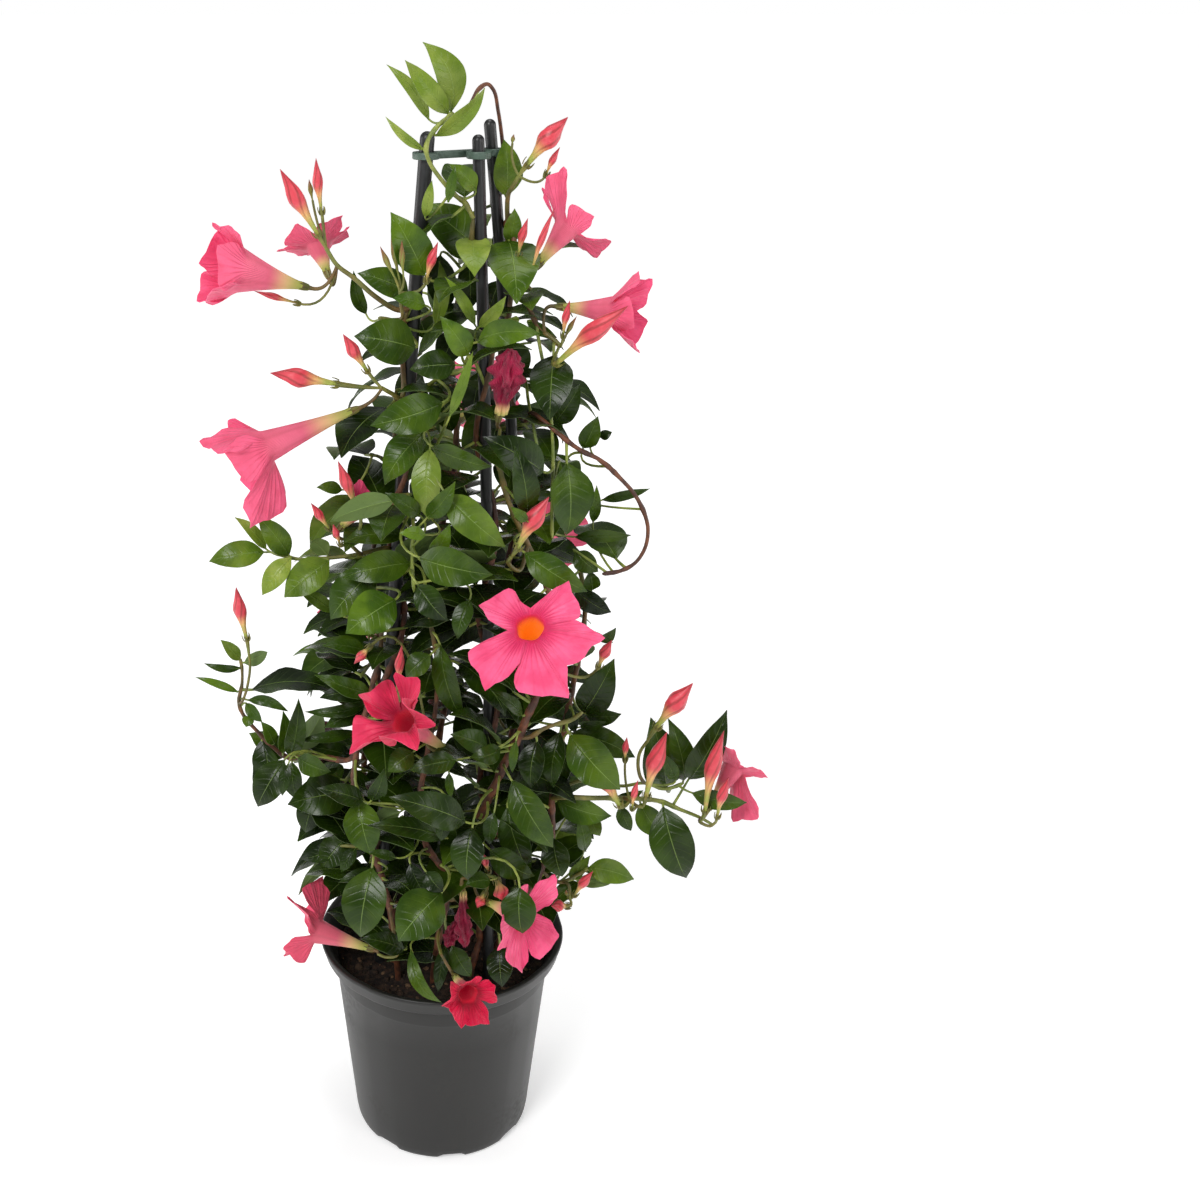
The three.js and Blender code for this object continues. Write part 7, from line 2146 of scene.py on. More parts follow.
@dataclass
class Pot:
    """The nursery pot with its rolled lip and drain notches, mm."""

    rim: float = 85.0
    height: float = 152.0
    base: float = 62.2
    collar: float = 75.5
    lip_foot: float = 141.0
    wall: float = 1.8
    inner_floor: float = 6.5
    notches: int = 8
    notch_turn: float = -math.pi / 2 + 0.11
    notch_foot: float = 19.8
    notch_head: float = 12.0
    notch_height: float = 4.3
    notch_corner: float = 0.004  # the turn that its outer corner takes, in radians
    foot_width: float = 7.3
    ring: int = 20
    middle: float = 2.0  # the radius of the innermost ring
    hollow: float = 5.2  # how far the underside's middle stands off the floor
    underside: tuple[Numbers, ...] = (  # how far in from the base, and the height
        (9, 5.2), (7.6, 4.6), (7.0, 0.0), (4.6, 0.0), (2.2, 0.5), (0.7, 1.6), (0.0, 3.6),
    )
    outside: tuple[Numbers, ...] = (  # where on the wall's line, how far out from it, and the height
        (8, 0, 8), (20, 0, 20), (60, 0, 60), (100, 0, 100), (123.4, 0, 123.4), (124, 0.35, 124.2),
        (125, 0.5, 125.4), (134, 0, 134),
    )
    step: tuple[Numbers, ...] = ((0.0, 3.4), (0.7, 2.2))  # out from the collar, down from the lip's foot
    under_lip: tuple[Numbers, ...] = ((4.2, 1.2), (2.9, 0.4), (2.4, -0.6))  # in from the rim, and down
    lip: tuple[Numbers, ...] = (  # how far in from the rim, and down from the top
        (1.3, 5.4), (0.35, 3.2), (0.0, 1.9), (0.2, 0.8), (0.8, 0.2), (1.7, 0.0), (3.0, 0.2), (4.2, 1.0),
        (5.4, 2.6),
    )
    inside: Numbers = (100.0, 30.0)  # heights down the inner wall

    def build(self, finishes: Finishes) -> None:
        """Makes the pot's piece.

        Args:
            finishes: The materials.
        """
        angles = self._angles()
        rows = [ring_at(angles, r, self._lifted(r, z, angles)) for r, z in self._profile()]
        piece = Piece()
        piece.add(ring_body(np.array(rows)))
        piece.make("pot_body", finishes.pot, Slot.POT, "pot", sharp=35)

    def _side(self, height: float) -> float:
        """The radius of the wall's line at a height."""
        return self.base + (self.collar - self.base) / (self.lip_foot - 3) * height

    def _profile(self) -> list[tuple[float, float]]:
        """Radius and height from the middle of the underside, out, up, over the lip and in.

        Returns:
            The pairs, in order.
        """
        foot = self.lip_foot
        return [
            (self.middle, self.hollow),
            *((self.base - far, z) for far, z in self.underside),
            *((self._side(at) + out, z) for at, out, z in self.outside),
            *((self.collar + out, foot - down) for out, down in self.step),
            *((self.rim - far, foot - down) for far, down in self.under_lip),
            *((self.rim - far, self.height - down) for far, down in self.lip),
            (self.collar + 1.2, foot + 2),
            (self.collar - self.wall, foot - 4),
            *((self._side(z) - self.wall, z) for z in self.inside),
            (self.base - 4, self.inner_floor + 2),
            (self.base - 8, self.inner_floor),
            (self.middle, self.inner_floor),
        ]

    def _angles(self) -> np.ndarray:
        """The angles round the pot, with the corners of every notch among them.

        Returns:
            The angles in radians.
        """
        step = TURN / self.notches
        foot, head = (width / 2 / self.base for width in (self.notch_foot, self.notch_head))
        past = foot + self.notch_corner
        marks = np.array([-foot - self.notch_corner, -foot, -head, head, foot, past])
        between = np.linspace(past, step - foot - self.notch_corner, self.ring)[1:-1]
        one = np.concatenate([marks, between])
        return np.concatenate([self.notch_turn + step * k + one for k in range(self.notches)])

    def _lifted(self, radius: float, height: float, angles: np.ndarray) -> np.ndarray:
        """Heights round a ring, raised over the drain notches where the ring is in the foot.

        Args:
            radius: The ring's radius.
            height: Its height.
            angles: The angles of its points.

        Returns:
            A height for each point.
        """
        heights = np.full(len(angles), float(height))
        if radius <= self.base - self.foot_width or height > self.notch_height:
            return heights
        step = TURN / self.notches
        off = np.abs((angles - self.notch_turn + step / 2) % step - step / 2) * self.base
        rise = np.interp(off, [self.notch_head / 2, self.notch_foot / 2], [self.notch_height, 0.0])
        return np.maximum(heights, rise)


@dataclass
class Soil:
    """The peat in the pot: an uneven top and loose crumbs, mm."""

    top: float = SOIL_TOP
    radius: float = 73.0
    low_radius: float = 58.0
    low: float = 9.0
    crown: float = 3.4
    around: int = 150
    rings: int = 40
    crumbs: int = 1100
    seed: int = 11
    waves: int = 14
    wave_height: float = 0.42
    grain: float = 0.25
    wave_rates: Numbers = (0.05, 0.32)
    crumb_reach: float = 0.98
    crumb_gamma: Numbers = (2.2, 0.42)
    crumb_sizes: Numbers = (0.4, 3.2)
    crumb_levels: Numbers = (-0.85, -0.35, 0.35, 0.85)
    crumb_sides: int = 6

    def build(self, finishes: Finishes) -> None:
        """Makes the soil's piece.

        Args:
            finishes: The materials.
        """
        draws = np.random.default_rng(self.seed)
        angles = TURN * np.arange(self.around) / self.around
        phases = draws.uniform(0, TURN, (self.waves, 2))
        waves = draws.uniform(*self.wave_rates, (self.waves, 2)) * draws.choice([-1, 1], (self.waves, 2))
        foot = ((2.0, self.low), (self.low_radius, self.low), (self.radius, self.top - 6))
        rows = [ring_at(angles, r, z) for r, z in foot]
        for radius in np.linspace(self.radius, 0.6, self.rings):
            x, y = np.cos(angles) * radius, np.sin(angles) * radius
            rows.append(ring_at(angles, radius, self._height(x, y, waves, phases)))
        piece = Piece("tint")
        rings = np.array(rows)
        surface = rings[len(foot) :, :, 2]
        surface += draws.normal(0, self.grain, surface.shape)
        piece.add(ring_body(rings), tint=0.0)
        for _ in range(self.crumbs):
            far = self.radius * math.sqrt(draws.uniform()) * self.crumb_reach
            turn = draws.uniform(0, TURN)
            x, y = math.cos(turn) * far, math.sin(turn) * far
            size = float(np.clip(draws.gamma(*self.crumb_gamma), *self.crumb_sizes))
            z = float(self._height(np.array([x]), np.array([y]), waves, phases)[0]) + size * 0.2
            piece.add(self._crumb(np.array([x, y, z]), size, draws), tint=float(draws.uniform()))
        piece.make("soil_peat", finishes.soil, Slot.SOIL, "soil", sharp=180)

    def _height(self, x: np.ndarray, y: np.ndarray, waves: np.ndarray, phases: np.ndarray) -> np.ndarray:
        """The height of the soil's top over points of the pot.

        Args:
            x: How far right each point is.
            y: How far back.
            waves: How fast each wave runs, both ways.
            phases: Where each wave starts.

        Returns:
            The heights.
        """
        crown = self.crown * (1 - (x * x + y * y) / self.radius**2)
        uneven = sum(np.sin(a * x + p) * np.sin(b * y + q) for (a, b), (p, q) in zip(waves, phases))
        return self.top + crown + self.wave_height * uneven

    def _crumb(self, at: np.ndarray, size: float, draws: np.random.Generator) -> Body:
        """A rough crumb: a squashed ball with its points pulled about.

        Args:
            at: Its middle.
            size: Its radius.
            draws: Where its draws come from.

        Returns:
            The crumb.
        """
        levels, sides = np.array(self.crumb_levels), self.crumb_sides
        spread = np.sqrt(1 - (levels * 0.95) ** 2)
        angles = TURN * np.arange(sides) / sides + draws.uniform(0, 1)
        out = spread[:, None] * draws.uniform(0.7, 1.25, (len(levels), sides))
        upward = np.repeat(levels[:, None], sides, 1) * 0.7
        rings = np.stack([out * np.cos(angles), out * np.sin(angles), upward], 2)
        longer = np.array([draws.uniform(0.8, 1.7), 1.0, draws.uniform(0.6, 1.0)])
        turn = draws.uniform(0, TURN)
        across, back = math.cos(turn), math.sin(turn)
        spin = np.array([[across, -back, 0], [back, across, 0], [0, 0, 1]])
        return ring_body(at + (rings * size * longer) @ spin.T)


@dataclass
class Canes:
    """The three plastic canes."""

    sides: int = 28
    steps: int = 60
    dome_rings: int = 8
    dome_end: float = 0.96

    def build(self, finishes: Finishes) -> None:
        """Makes a piece for each cane, with a rounded top.

        Args:
            finishes: The materials.
        """
        dome = np.linspace(0.0, self.dome_end, self.dome_rings)
        for plan in CANES:
            way = [plan.at(i / self.steps) for i in range(self.steps)]
            end = plan.at(1.0)
            ahead = unit(end - way[-1])
            way += [end - ahead * plan.radius * (1 - c) for c in dome]
            radii = [plan.radius] * self.steps + [plan.radius * math.sqrt(1 - c * c) for c in dome]
            piece = Piece()
            piece.add(tube(way, np.array(radii), self.sides))
            piece.make(f"{plan.name}_rod", finishes.cane, Slot.CANE, plan.name)


@dataclass
class Clip:
    """The clip that holds the canes together near their tops, mm."""

    height: float = 674.0
    thick: float = 4.0
    ring_width: float = 3.0
    bar_width: float = 5.0
    clearance: float = 0.5
    bars: tuple[tuple[int, int], ...] = ((0, 2), (1, 2))
    round: float = 0.7
    ring_sides: int = 40

    def build(self, finishes: Finishes) -> None:
        """Makes the clip's piece: a ring round each cane, joined by bars.

        Args:
            finishes: The materials.
        """
        piece = Piece()
        seats = [plan.at_height(self.height) for plan in CANES]
        reach = [plan.radius + self.clearance + self.ring_width / 2 for plan in CANES]
        for seat, radius in zip(seats, reach):
            piece.add(self._ring(seat, radius))
        for a, b in self.bars:
            ahead = unit((seats[b] - seats[a]) * np.array([1, 1, 0]))
            piece.add(self._bar(seats[a] + ahead * reach[a], seats[b] - ahead * reach[b], ahead))
        piece.make("clip_moulding", finishes.clip, Slot.CLIP, "clip", sharp=60)

    def _section(self, width: float) -> np.ndarray:
        """A rounded rectangle: sideways and up from its middle.

        Args:
            width: How wide it is.

        Returns:
            Its corners, in order.
        """
        w, h, r = width / 2, self.thick / 2, self.round
        centres = ((w - r, h - r, 0), (-w + r, h - r, 90), (-w + r, -h + r, 180), (w - r, -h + r, 270))
        turns = [(x, y, math.radians(a + t)) for x, y, a in centres for t in (0, 30, 60, 90)]
        return np.array([(x + r * math.cos(a), y + r * math.sin(a)) for x, y, a in turns])

    def _ring(self, seat: np.ndarray, radius: float) -> Body:
        """A closed ring of that section.

        Args:
            seat: The ring's middle.
            radius: The radius of the section's middle.

        Returns:
            The ring.
        """
        section = self._section(self.ring_width)
        out = ring_at(TURN * np.arange(self.ring_sides) / self.ring_sides, 1.0, 0.0)
        rings = seat + out[:, None] * (radius + section[None, :, 0, None])
        rings[..., 2] = self.height + section[None, :, 1]
        rows, columns = rings.shape[:2]
        quads = grid_quads(rows + 1, columns, closed=True) % (rows * columns)
        return Body(rings.reshape(-1, 3), quads[:, ::-1])

    def _bar(self, start: np.ndarray, end: np.ndarray, ahead: np.ndarray) -> Body:
        """A straight bar of that section.

        Args:
            start: Where it starts.
            end: Where it ends.
            ahead: Its direction.

        Returns:
            The bar.
        """
        side = np.array([-ahead[1], ahead[0], 0.0])
        section = self._section(self.bar_width)
        rows = np.array([at + side * section[:, :1] for at in (start, end)])
        rows[..., 2] = self.height + section[:, 1]
        return ring_body(rows[:, ::-1])


# ---------------------------------------------------------------- vines
@dataclass
class Vines:
    """The stems and leaves of every vine. Sizes are in mm, shares are of a blade's or stem's own."""

    stem_sides: int = 10
    node_swell: float = 0.35
    node_length: float = 3.0
    stem_end: float = 0.4
    petiole_sides: int = 7
    petiole_rings: int = 8
    petiole_wood: float = 0.12
    petiole: Numbers = (0.55, 0.012)  # its radius, and what it gains for each mm of the blade's width
    petiole_taper: Numbers = (1.25, 0.8)
    petiole_into: Numbers = (2.5, 0.08)  # how far it runs under the blade: at most, and by its length
    petiole_bend: Numbers = (0.45, 0.06)
    rows: int = 22
    row_power: float = 0.92
    blade: float = 0.42
    outline: tuple[Numbers, ...] = (
        (0.0, 0.035), (0.04, 0.24), (0.1, 0.52), (0.18, 0.79), (0.28, 0.97), (0.38, 1.03), (0.5, 1.0),
        (0.62, 0.9), (0.72, 0.75), (0.82, 0.53), (0.9, 0.3), (0.955, 0.13), (1.0, 0.02),
    )
    columns: Numbers = (
        -1, -0.93, -0.78, -0.58, -0.36, -0.17, -0.05, 0, 0.05, 0.17, 0.36, 0.58, 0.78, 0.93, 1,
    )
    deep_rows: int = 13
    deep_columns: Numbers = (-1, -0.8, -0.45, -0.12, 0, 0.12, 0.45, 0.8, 1)
    hook: Numbers = (0.02, 0.05)  # how far the tip bends down: the least, and what a draw adds
    hook_from: float = 0.72
    fold: Numbers = (0.75, 0.7)  # the fold's share of the usual one, in the same way
    fold_round: float = 0.012
    fold_drop: float = 0.11
    wave_height: float = 0.045
    waves: Numbers = (1.6, 1.4)
    edge_waves: float = 2.3
    quilt: float = 0.012
    groove: Numbers = (0.3, 0.09)  # the midrib's groove above: its depth and width
    rib: Numbers = (1.1, 0.08)  # and the rib's thickness and width

    def build(self, plant: Plant, finishes: Finishes) -> None:
        """Makes two pieces for each vine: its stems with the petioles, and its blades.

        Args:
            plant: The plant.
            finishes: The materials.
        """
        for plan in VINES:
            leaves = [leaf for leaf in plant.leaves if leaf.owner == plan.name]
            stems = Piece("woody")
            for stem in plant.stems.values():
                if stem.owner == plan.name:
                    stems.add(self._stem(stem, leaves))
            blades = Piece("young", "along", "across", "face")
            for leaf in leaves:
                stems.add(self._petiole(leaf), woody=self.petiole_wood)
                blades.add(self._blade(leaf), young=leaf.young)
            stems.make(f"{plan.name}_stems", finishes.stem, Slot.FOLIAGE, plan.name)
            blades.make(f"{plan.name}_leaves", finishes.leaf, Slot.FOLIAGE, plan.name, sharp=70)

    def _stem(self, stem: Stem, leaves: Iterable[Leaf]) -> Body:
        """A stem on its smooth axis, swollen where leaves grow.

        Args:
            stem: The stem.
            leaves: The leaves that may grow on it.

        Returns:
            The stem's body.
        """
        way = np.array(stem.fine)
        share = np.linspace(0, 1, len(way))
        swell = np.zeros(len(way))
        for leaf in leaves:
            near = np.linalg.norm(way - leaf.root, axis=1)
            if near.min() < 0.5:
                swell = np.maximum(swell, np.exp(-((near / self.node_length) ** 2)))
        radii = np.interp(share, (0, 1), stem.radii) * (1 + self.node_swell * swell)
        radii[-1] *= self.stem_end
        return tube(way, radii, self.stem_sides, woody=np.interp(share, (0, 1), stem.woody))

    def _petiole(self, leaf: Leaf) -> Body:
        """The leaf's stalk, which leaves the stem and bends into the blade's line.

        Args:
            leaf: The leaf.

        Returns:
            The stalk.
        """
        along, _, up = leaf.frame()
        reach = distance(leaf.root, leaf.base)
        most, share = self.petiole_into
        end = leaf.base + along * min(most, leaf.length * share)
        back, down = self.petiole_bend
        control = leaf.base - along * reach * back - up * reach * down
        way = bent(leaf.root, control, end, self.petiole_rings)
        thick = self.petiole[0] + self.petiole[1] * leaf.width
        foot, top = (thick * taper for taper in self.petiole_taper)
        return tube(way, np.linspace(foot, top, self.petiole_rings), self.petiole_sides)

    def _blade(self, leaf: Leaf) -> Body:
        """A leaf blade: folded at the midrib, arched, its edge a little waved.

        Args:
            leaf: The leaf.

        Returns:
            The closed blade, with its values along and across.
        """
        along, side, up = leaf.frame()
        length = leaf.length
        rows = self.deep_rows if leaf.deep else self.rows
        t = np.linspace(0, 1, rows) ** self.row_power
        u = np.array(self.deep_columns if leaf.deep else self.columns, float)
        half = (leaf.width / 2 * np.interp(t, *zip(*self.outline)))[:, None]
        rolls = [draw(leaf.seed * 5 + k + 11000) for k in range(5)]
        hump = (4 * t * (1 - t) * length)[:, None]
        line = leaf.base + (leaf.tip - leaf.base) * t[:, None]
        line = line + up * (leaf.arch * hump) + side * (leaf.sway * hump)
        bend = (self.hook[0] + self.hook[1] * rolls[0]) * length
        past = np.clip((t - self.hook_from) / (1 - self.hook_from), 0, 1)
        line = line - up * (bend * past**2)[:, None]
        fold = LEAF_FOLD * (self.fold[0] + self.fold[1] * rolls[1])
        rise = fold * (np.sqrt(u * u + self.fold_round) - self.fold_drop)[None] * half
        sway = np.sin(TURN * (t * (self.waves[0] + self.waves[1] * rolls[2]) + rolls[3]))
        wave = sway[:, None] * np.sign(u)[None]
        wave = wave + np.sin(TURN * (t * self.edge_waves + rolls[4]))[:, None]
        rise = rise + wave * (u * u)[None] * half * self.wave_height
        place = t[:, None] * VEIN_COUNT - VEIN_SLANT * np.abs(u)[None] ** VEIN_BEND
        quilt = np.cos(TURN * (place - 0.5)) * (np.abs(u) * (1 - u * u))[None] * -self.quilt * half
        groove = -self.groove[0] * np.exp(-((u / self.groove[1]) ** 2))[None] * (1 - t)[:, None]
        points = line[:, None] + side * (u[None] * half)[..., None]
        points = points + up * (rise + quilt + groove)[..., None]
        rib = self.rib[0] * np.exp(-((u / self.rib[1]) ** 2))[None] * (1 - t)[:, None] ** 0.8
        return thicken(
            points.reshape(-1, 3),
            grid_quads(rows, len(u), closed=False)[:, ::-1],
            (self.blade + rib).ravel(),
            along=np.repeat(t, len(u)),
            across=np.tile(u, rows),
        )


# ---------------------------------------------------------------- flowers
@dataclass
class Sprays:
    """The flower stalks with their buds and calyxes, mm."""

    stalk_sides: int = 9
    stalk_steps: int = 6
    stalk_wood: Numbers = (0.45, 0.28)
    bud_sides: int = 20
    bud_rings: int = 26
    twist: float = 0.9
    ridge: float = 0.07
    bow: float = 0.03  # how far a bud's axis bows, as a share of its length
    slim: float = 0.88
    outline: tuple[Numbers, ...] = (
        (0.0, 0.24), (0.12, 0.29), (0.25, 0.37), (0.37, 0.58), (0.48, 0.88), (0.57, 1.0), (0.67, 0.88),
        (0.77, 0.6), (0.89, 0.3), (1.0, 0.025),
    )
    green_under: float = 7.5  # a bud narrower than this on the plan is still green
    pedicel_sides: int = 7
    pedicel_rings: int = 10
    pedicel_foot: float = 0.8
    pedicel_wood: float = 0.3
    sunk: float = 1.5  # how far a pedicel runs into its bud
    sepals_from: float = 2.0  # the radius from which a bud shows sepals
    calyx_foot: float = 6.0
    calyx_rings: int = 12
    calyx_radii: Numbers = (0.85, 1.15)
    calyx_mouth: float = 2.1
    calyx_ring: float = 1.3
    calyx_wood: float = 0.42
    sepal_length: float = 7.5
    sepal_width: float = 0.85
    sepal_shape: tuple[Numbers, ...] = ((0, 0.8), (0.3, 1.0), (1, 0.08))
    sepal_bulge: float = 0.9
    sepal_cup: float = 0.15
    sepal_thick: float = 0.4
    sepal_wood: float = 0.34
    sepal_rows: int = 7
    sepal_columns: int = 5

    def build(self, plant: Plant, finishes: Finishes) -> None:
        """Makes two pieces for each spray: its stalks and calyxes, and its buds.

        Args:
            plant: The plant that they grow on.
            finishes: The materials.
        """
        for plan in SPRAYS:
            stalks, buds = Piece("woody"), Piece("along", "swirl", "green")
            way = [VIEW.mark(*m) for m in plan.marks]
            corner = plant.root_on(plan.parent, way[0], plan.radii[0], plan.name)
            root = plant.on_fine(plan.parent, corner)
            fine = smooth_through([root, *way], self.stalk_steps * (len(way) + 1))
            radii, wood = (np.linspace(*ends, len(fine)) for ends in (plan.radii, self.stalk_wood))
            stalks.add(tube(fine, radii, self.stalk_sides, woody=wood))
            for seed, bud in enumerate(plan.buds):
                self._add_bud(stalks, buds, bud, way, seed)
            for flower in (*BLOOMS, *WILTED):
                if flower.spray == plan.name:
                    end = flower.mouth if isinstance(flower, BloomPlan) else flower.end
                    self._add_calyx(stalks, VIEW.mark(*flower.calyx), VIEW.mark(*end), way)
            stalks.make(f"{plan.name}_stalks", finishes.stem, Slot.SPRAY, plan.name)
            if buds.bodies:
                buds.make(f"{plan.name}_buds", finishes.bud, Slot.SPRAY, plan.name, sharp=80)

    @staticmethod
    def _pedicel(
        marks: list[np.ndarray], foot: np.ndarray, ahead: np.ndarray, sunk: float, rings: int
    ) -> np.ndarray:
        """The axis of a pedicel, from the nearest of its stalk's marks.

        Args:
            marks: The stalk's marks.
            foot: The foot of the flower or bud.
            ahead: Its axis.
            sunk: How far past the foot the pedicel runs.
            rings: How many points it has.

        Returns:
            The points.
        """
        start = nearest(marks, foot)
        control = foot - ahead * distance(start, foot) * 0.5
        return bent(start, control, foot + ahead * sunk, rings)

    def _add_bud(
        self, stalks: Piece, buds: Piece, row: Numbers, marks: list[np.ndarray], seed: int
    ) -> None:
        """A bud on its pedicel.

        Args:
            stalks: The piece that takes the pedicel and calyx.
            buds: The piece that takes the bud.
            row: The bud's row in the plan.
            marks: The stalk's marks.
            seed: What its small differences depend on.
        """
        across, down, tip_across, tip_down, width, front, lean = row
        base = VIEW.mark(across, down, front)
        tip = VIEW.mark(tip_across, tip_down, front + lean)
        radius = width * VIEW.unit_at(base) / 2
        ahead = unit(tip - base)
        way = self._pedicel(marks, base, ahead, self.sunk, self.pedicel_rings)
        thick = np.linspace(self.pedicel_foot, max(0.7, radius * 0.3), self.pedicel_rings)
        stalks.add(tube(way, thick, self.pedicel_sides), woody=self.pedicel_wood)
        if radius > self.sepals_from:
            self._add_sepals(stalks, base - ahead * 0.5, ahead, radius * 0.34, self.sepal_length * 0.6)
        share = np.linspace(0, 1, self.bud_rings)
        swell = np.interp(share, *zip(*self.outline))
        hump = np.sin(math.pi * share)[:, None]
        bow = unit(np.cross(ahead, np.array([0.3, 0.2, 1.0]))) * distance(base, tip) * self.bow
        axis = base + (tip - base) * share[:, None] + bow * hump
        angles = TURN * np.arange(self.bud_sides) / self.bud_sides
        swirl = np.cos(PETALS * (angles[None] - TURN * self.twist * share[:, None] / 2 + seed))
        fat = radius * self.slim * swell[:, None] * (1 + self.ridge * swirl * hump**0.5)
        body = ring_body(tube_rings(axis, fat, self.bud_sides), along=share, swirl=0.5 - 0.5 * swirl)
        buds.add(body, green=float(width < self.green_under))

    def _add_calyx(
        self, stalks: Piece, calyx: np.ndarray, mouth: np.ndarray, marks: list[np.ndarray]
    ) -> None:
        """The pedicel of an open flower, with its sepals.

        Args:
            stalks: The piece that takes them.
            calyx: Where the corolla starts.
            mouth: Where it heads.
            marks: The stalk's marks.
        """
        ahead = unit(mouth - calyx)
        foot = calyx - ahead * self.calyx_foot
        way = [*self._pedicel(marks, foot, ahead, 0.0, self.calyx_rings), calyx]
        radii = np.append(np.linspace(*self.calyx_radii, self.calyx_rings), self.calyx_mouth)
        stalks.add(tube(way, radii, self.stalk_sides), woody=self.calyx_wood)
        self._add_sepals(stalks, foot + ahead * 2.0, ahead, self.calyx_ring, self.sepal_length)

    def _add_sepals(
        self, stalks: Piece, at: np.ndarray, ahead: np.ndarray, radius: float, length: float
    ) -> None:
        """Five narrow sepals round a flower's foot.

        Args:
            stalks: The piece that takes them.
            at: The middle of the ring they grow from.
            ahead: The flower's axis.
            radius: The ring's radius.
            length: How long each is.
        """
        first = unit(np.cross(ahead, np.array([0.2, 0.1, 1.0])))
        t = np.linspace(0, 1, self.sepal_rows)[:, None]
        u = np.linspace(-1, 1, self.sepal_columns)[None]
        quads = grid_quads(self.sepal_rows, self.sepal_columns, closed=False)
        shape = np.interp(t.ravel(), *zip(*self.sepal_shape))[:, None]
        spread = radius + self.sepal_bulge * np.sin(math.pi * 0.6 * t) + self.sepal_cup * u * u
        for k in range(PETALS):
            out = turned(first, ahead, TURN * k / PETALS)
            side = np.cross(ahead, out)
            points = at + ahead * (length * t * np.ones_like(u))[..., None]
            points = points + out * spread[..., None] + side * (self.sepal_width * shape * u)[..., None]
            stalks.add(thicken(points.reshape(-1, 3), quads, self.sepal_thick), woody=self.sepal_wood)


@dataclass(frozen=True)
class Mouth:
    """The mouth of a flower: its middle, the flower's axis, and two sides square to it."""

    centre: np.ndarray
    axis: np.ndarray
    high: np.ndarray
    side: np.ndarray

    def ray(self, angle: float) -> np.ndarray:
        """The way out from the axis at an angle in degrees from the high side."""
        turn = math.radians(angle)
        return math.cos(turn) * self.high + math.sin(turn) * self.side


class Sheet:
    """A surface gathered from patches, with the values of a corolla's points."""

    def __init__(self) -> None:
        """Starts with nothing."""
        self.points: list[np.ndarray] = []
        self.reach: list[np.ndarray] = []
        self.edge: list[np.ndarray] = []
        self.quads: list[np.ndarray] = []
        self.count = 0

    def add(self, points: np.ndarray, reach: np.ndarray, edge: np.ndarray) -> np.ndarray:
        """Adds points.

        Args:
            points: The points.
            reach: How far along the flower each is.
            edge: How near to a lobe's side each is.

        Returns:
            Their numbers in the sheet.
        """
        for held, more in ((self.points, points), (self.reach, reach), (self.edge, edge)):
            held.append(more)
        self.count += len(points)
        return np.arange(self.count - len(points), self.count)

    def thick(self, thickness: float) -> Body:
        """The sheet as a thin closed body.

        Args:
            thickness: The thickness.

        Returns:
            The body.
        """
        return thicken(
            np.concatenate(self.points),
            np.concatenate(self.quads),
            thickness,
            reach=np.concatenate(self.reach),
            edge=np.concatenate(self.edge),
        )


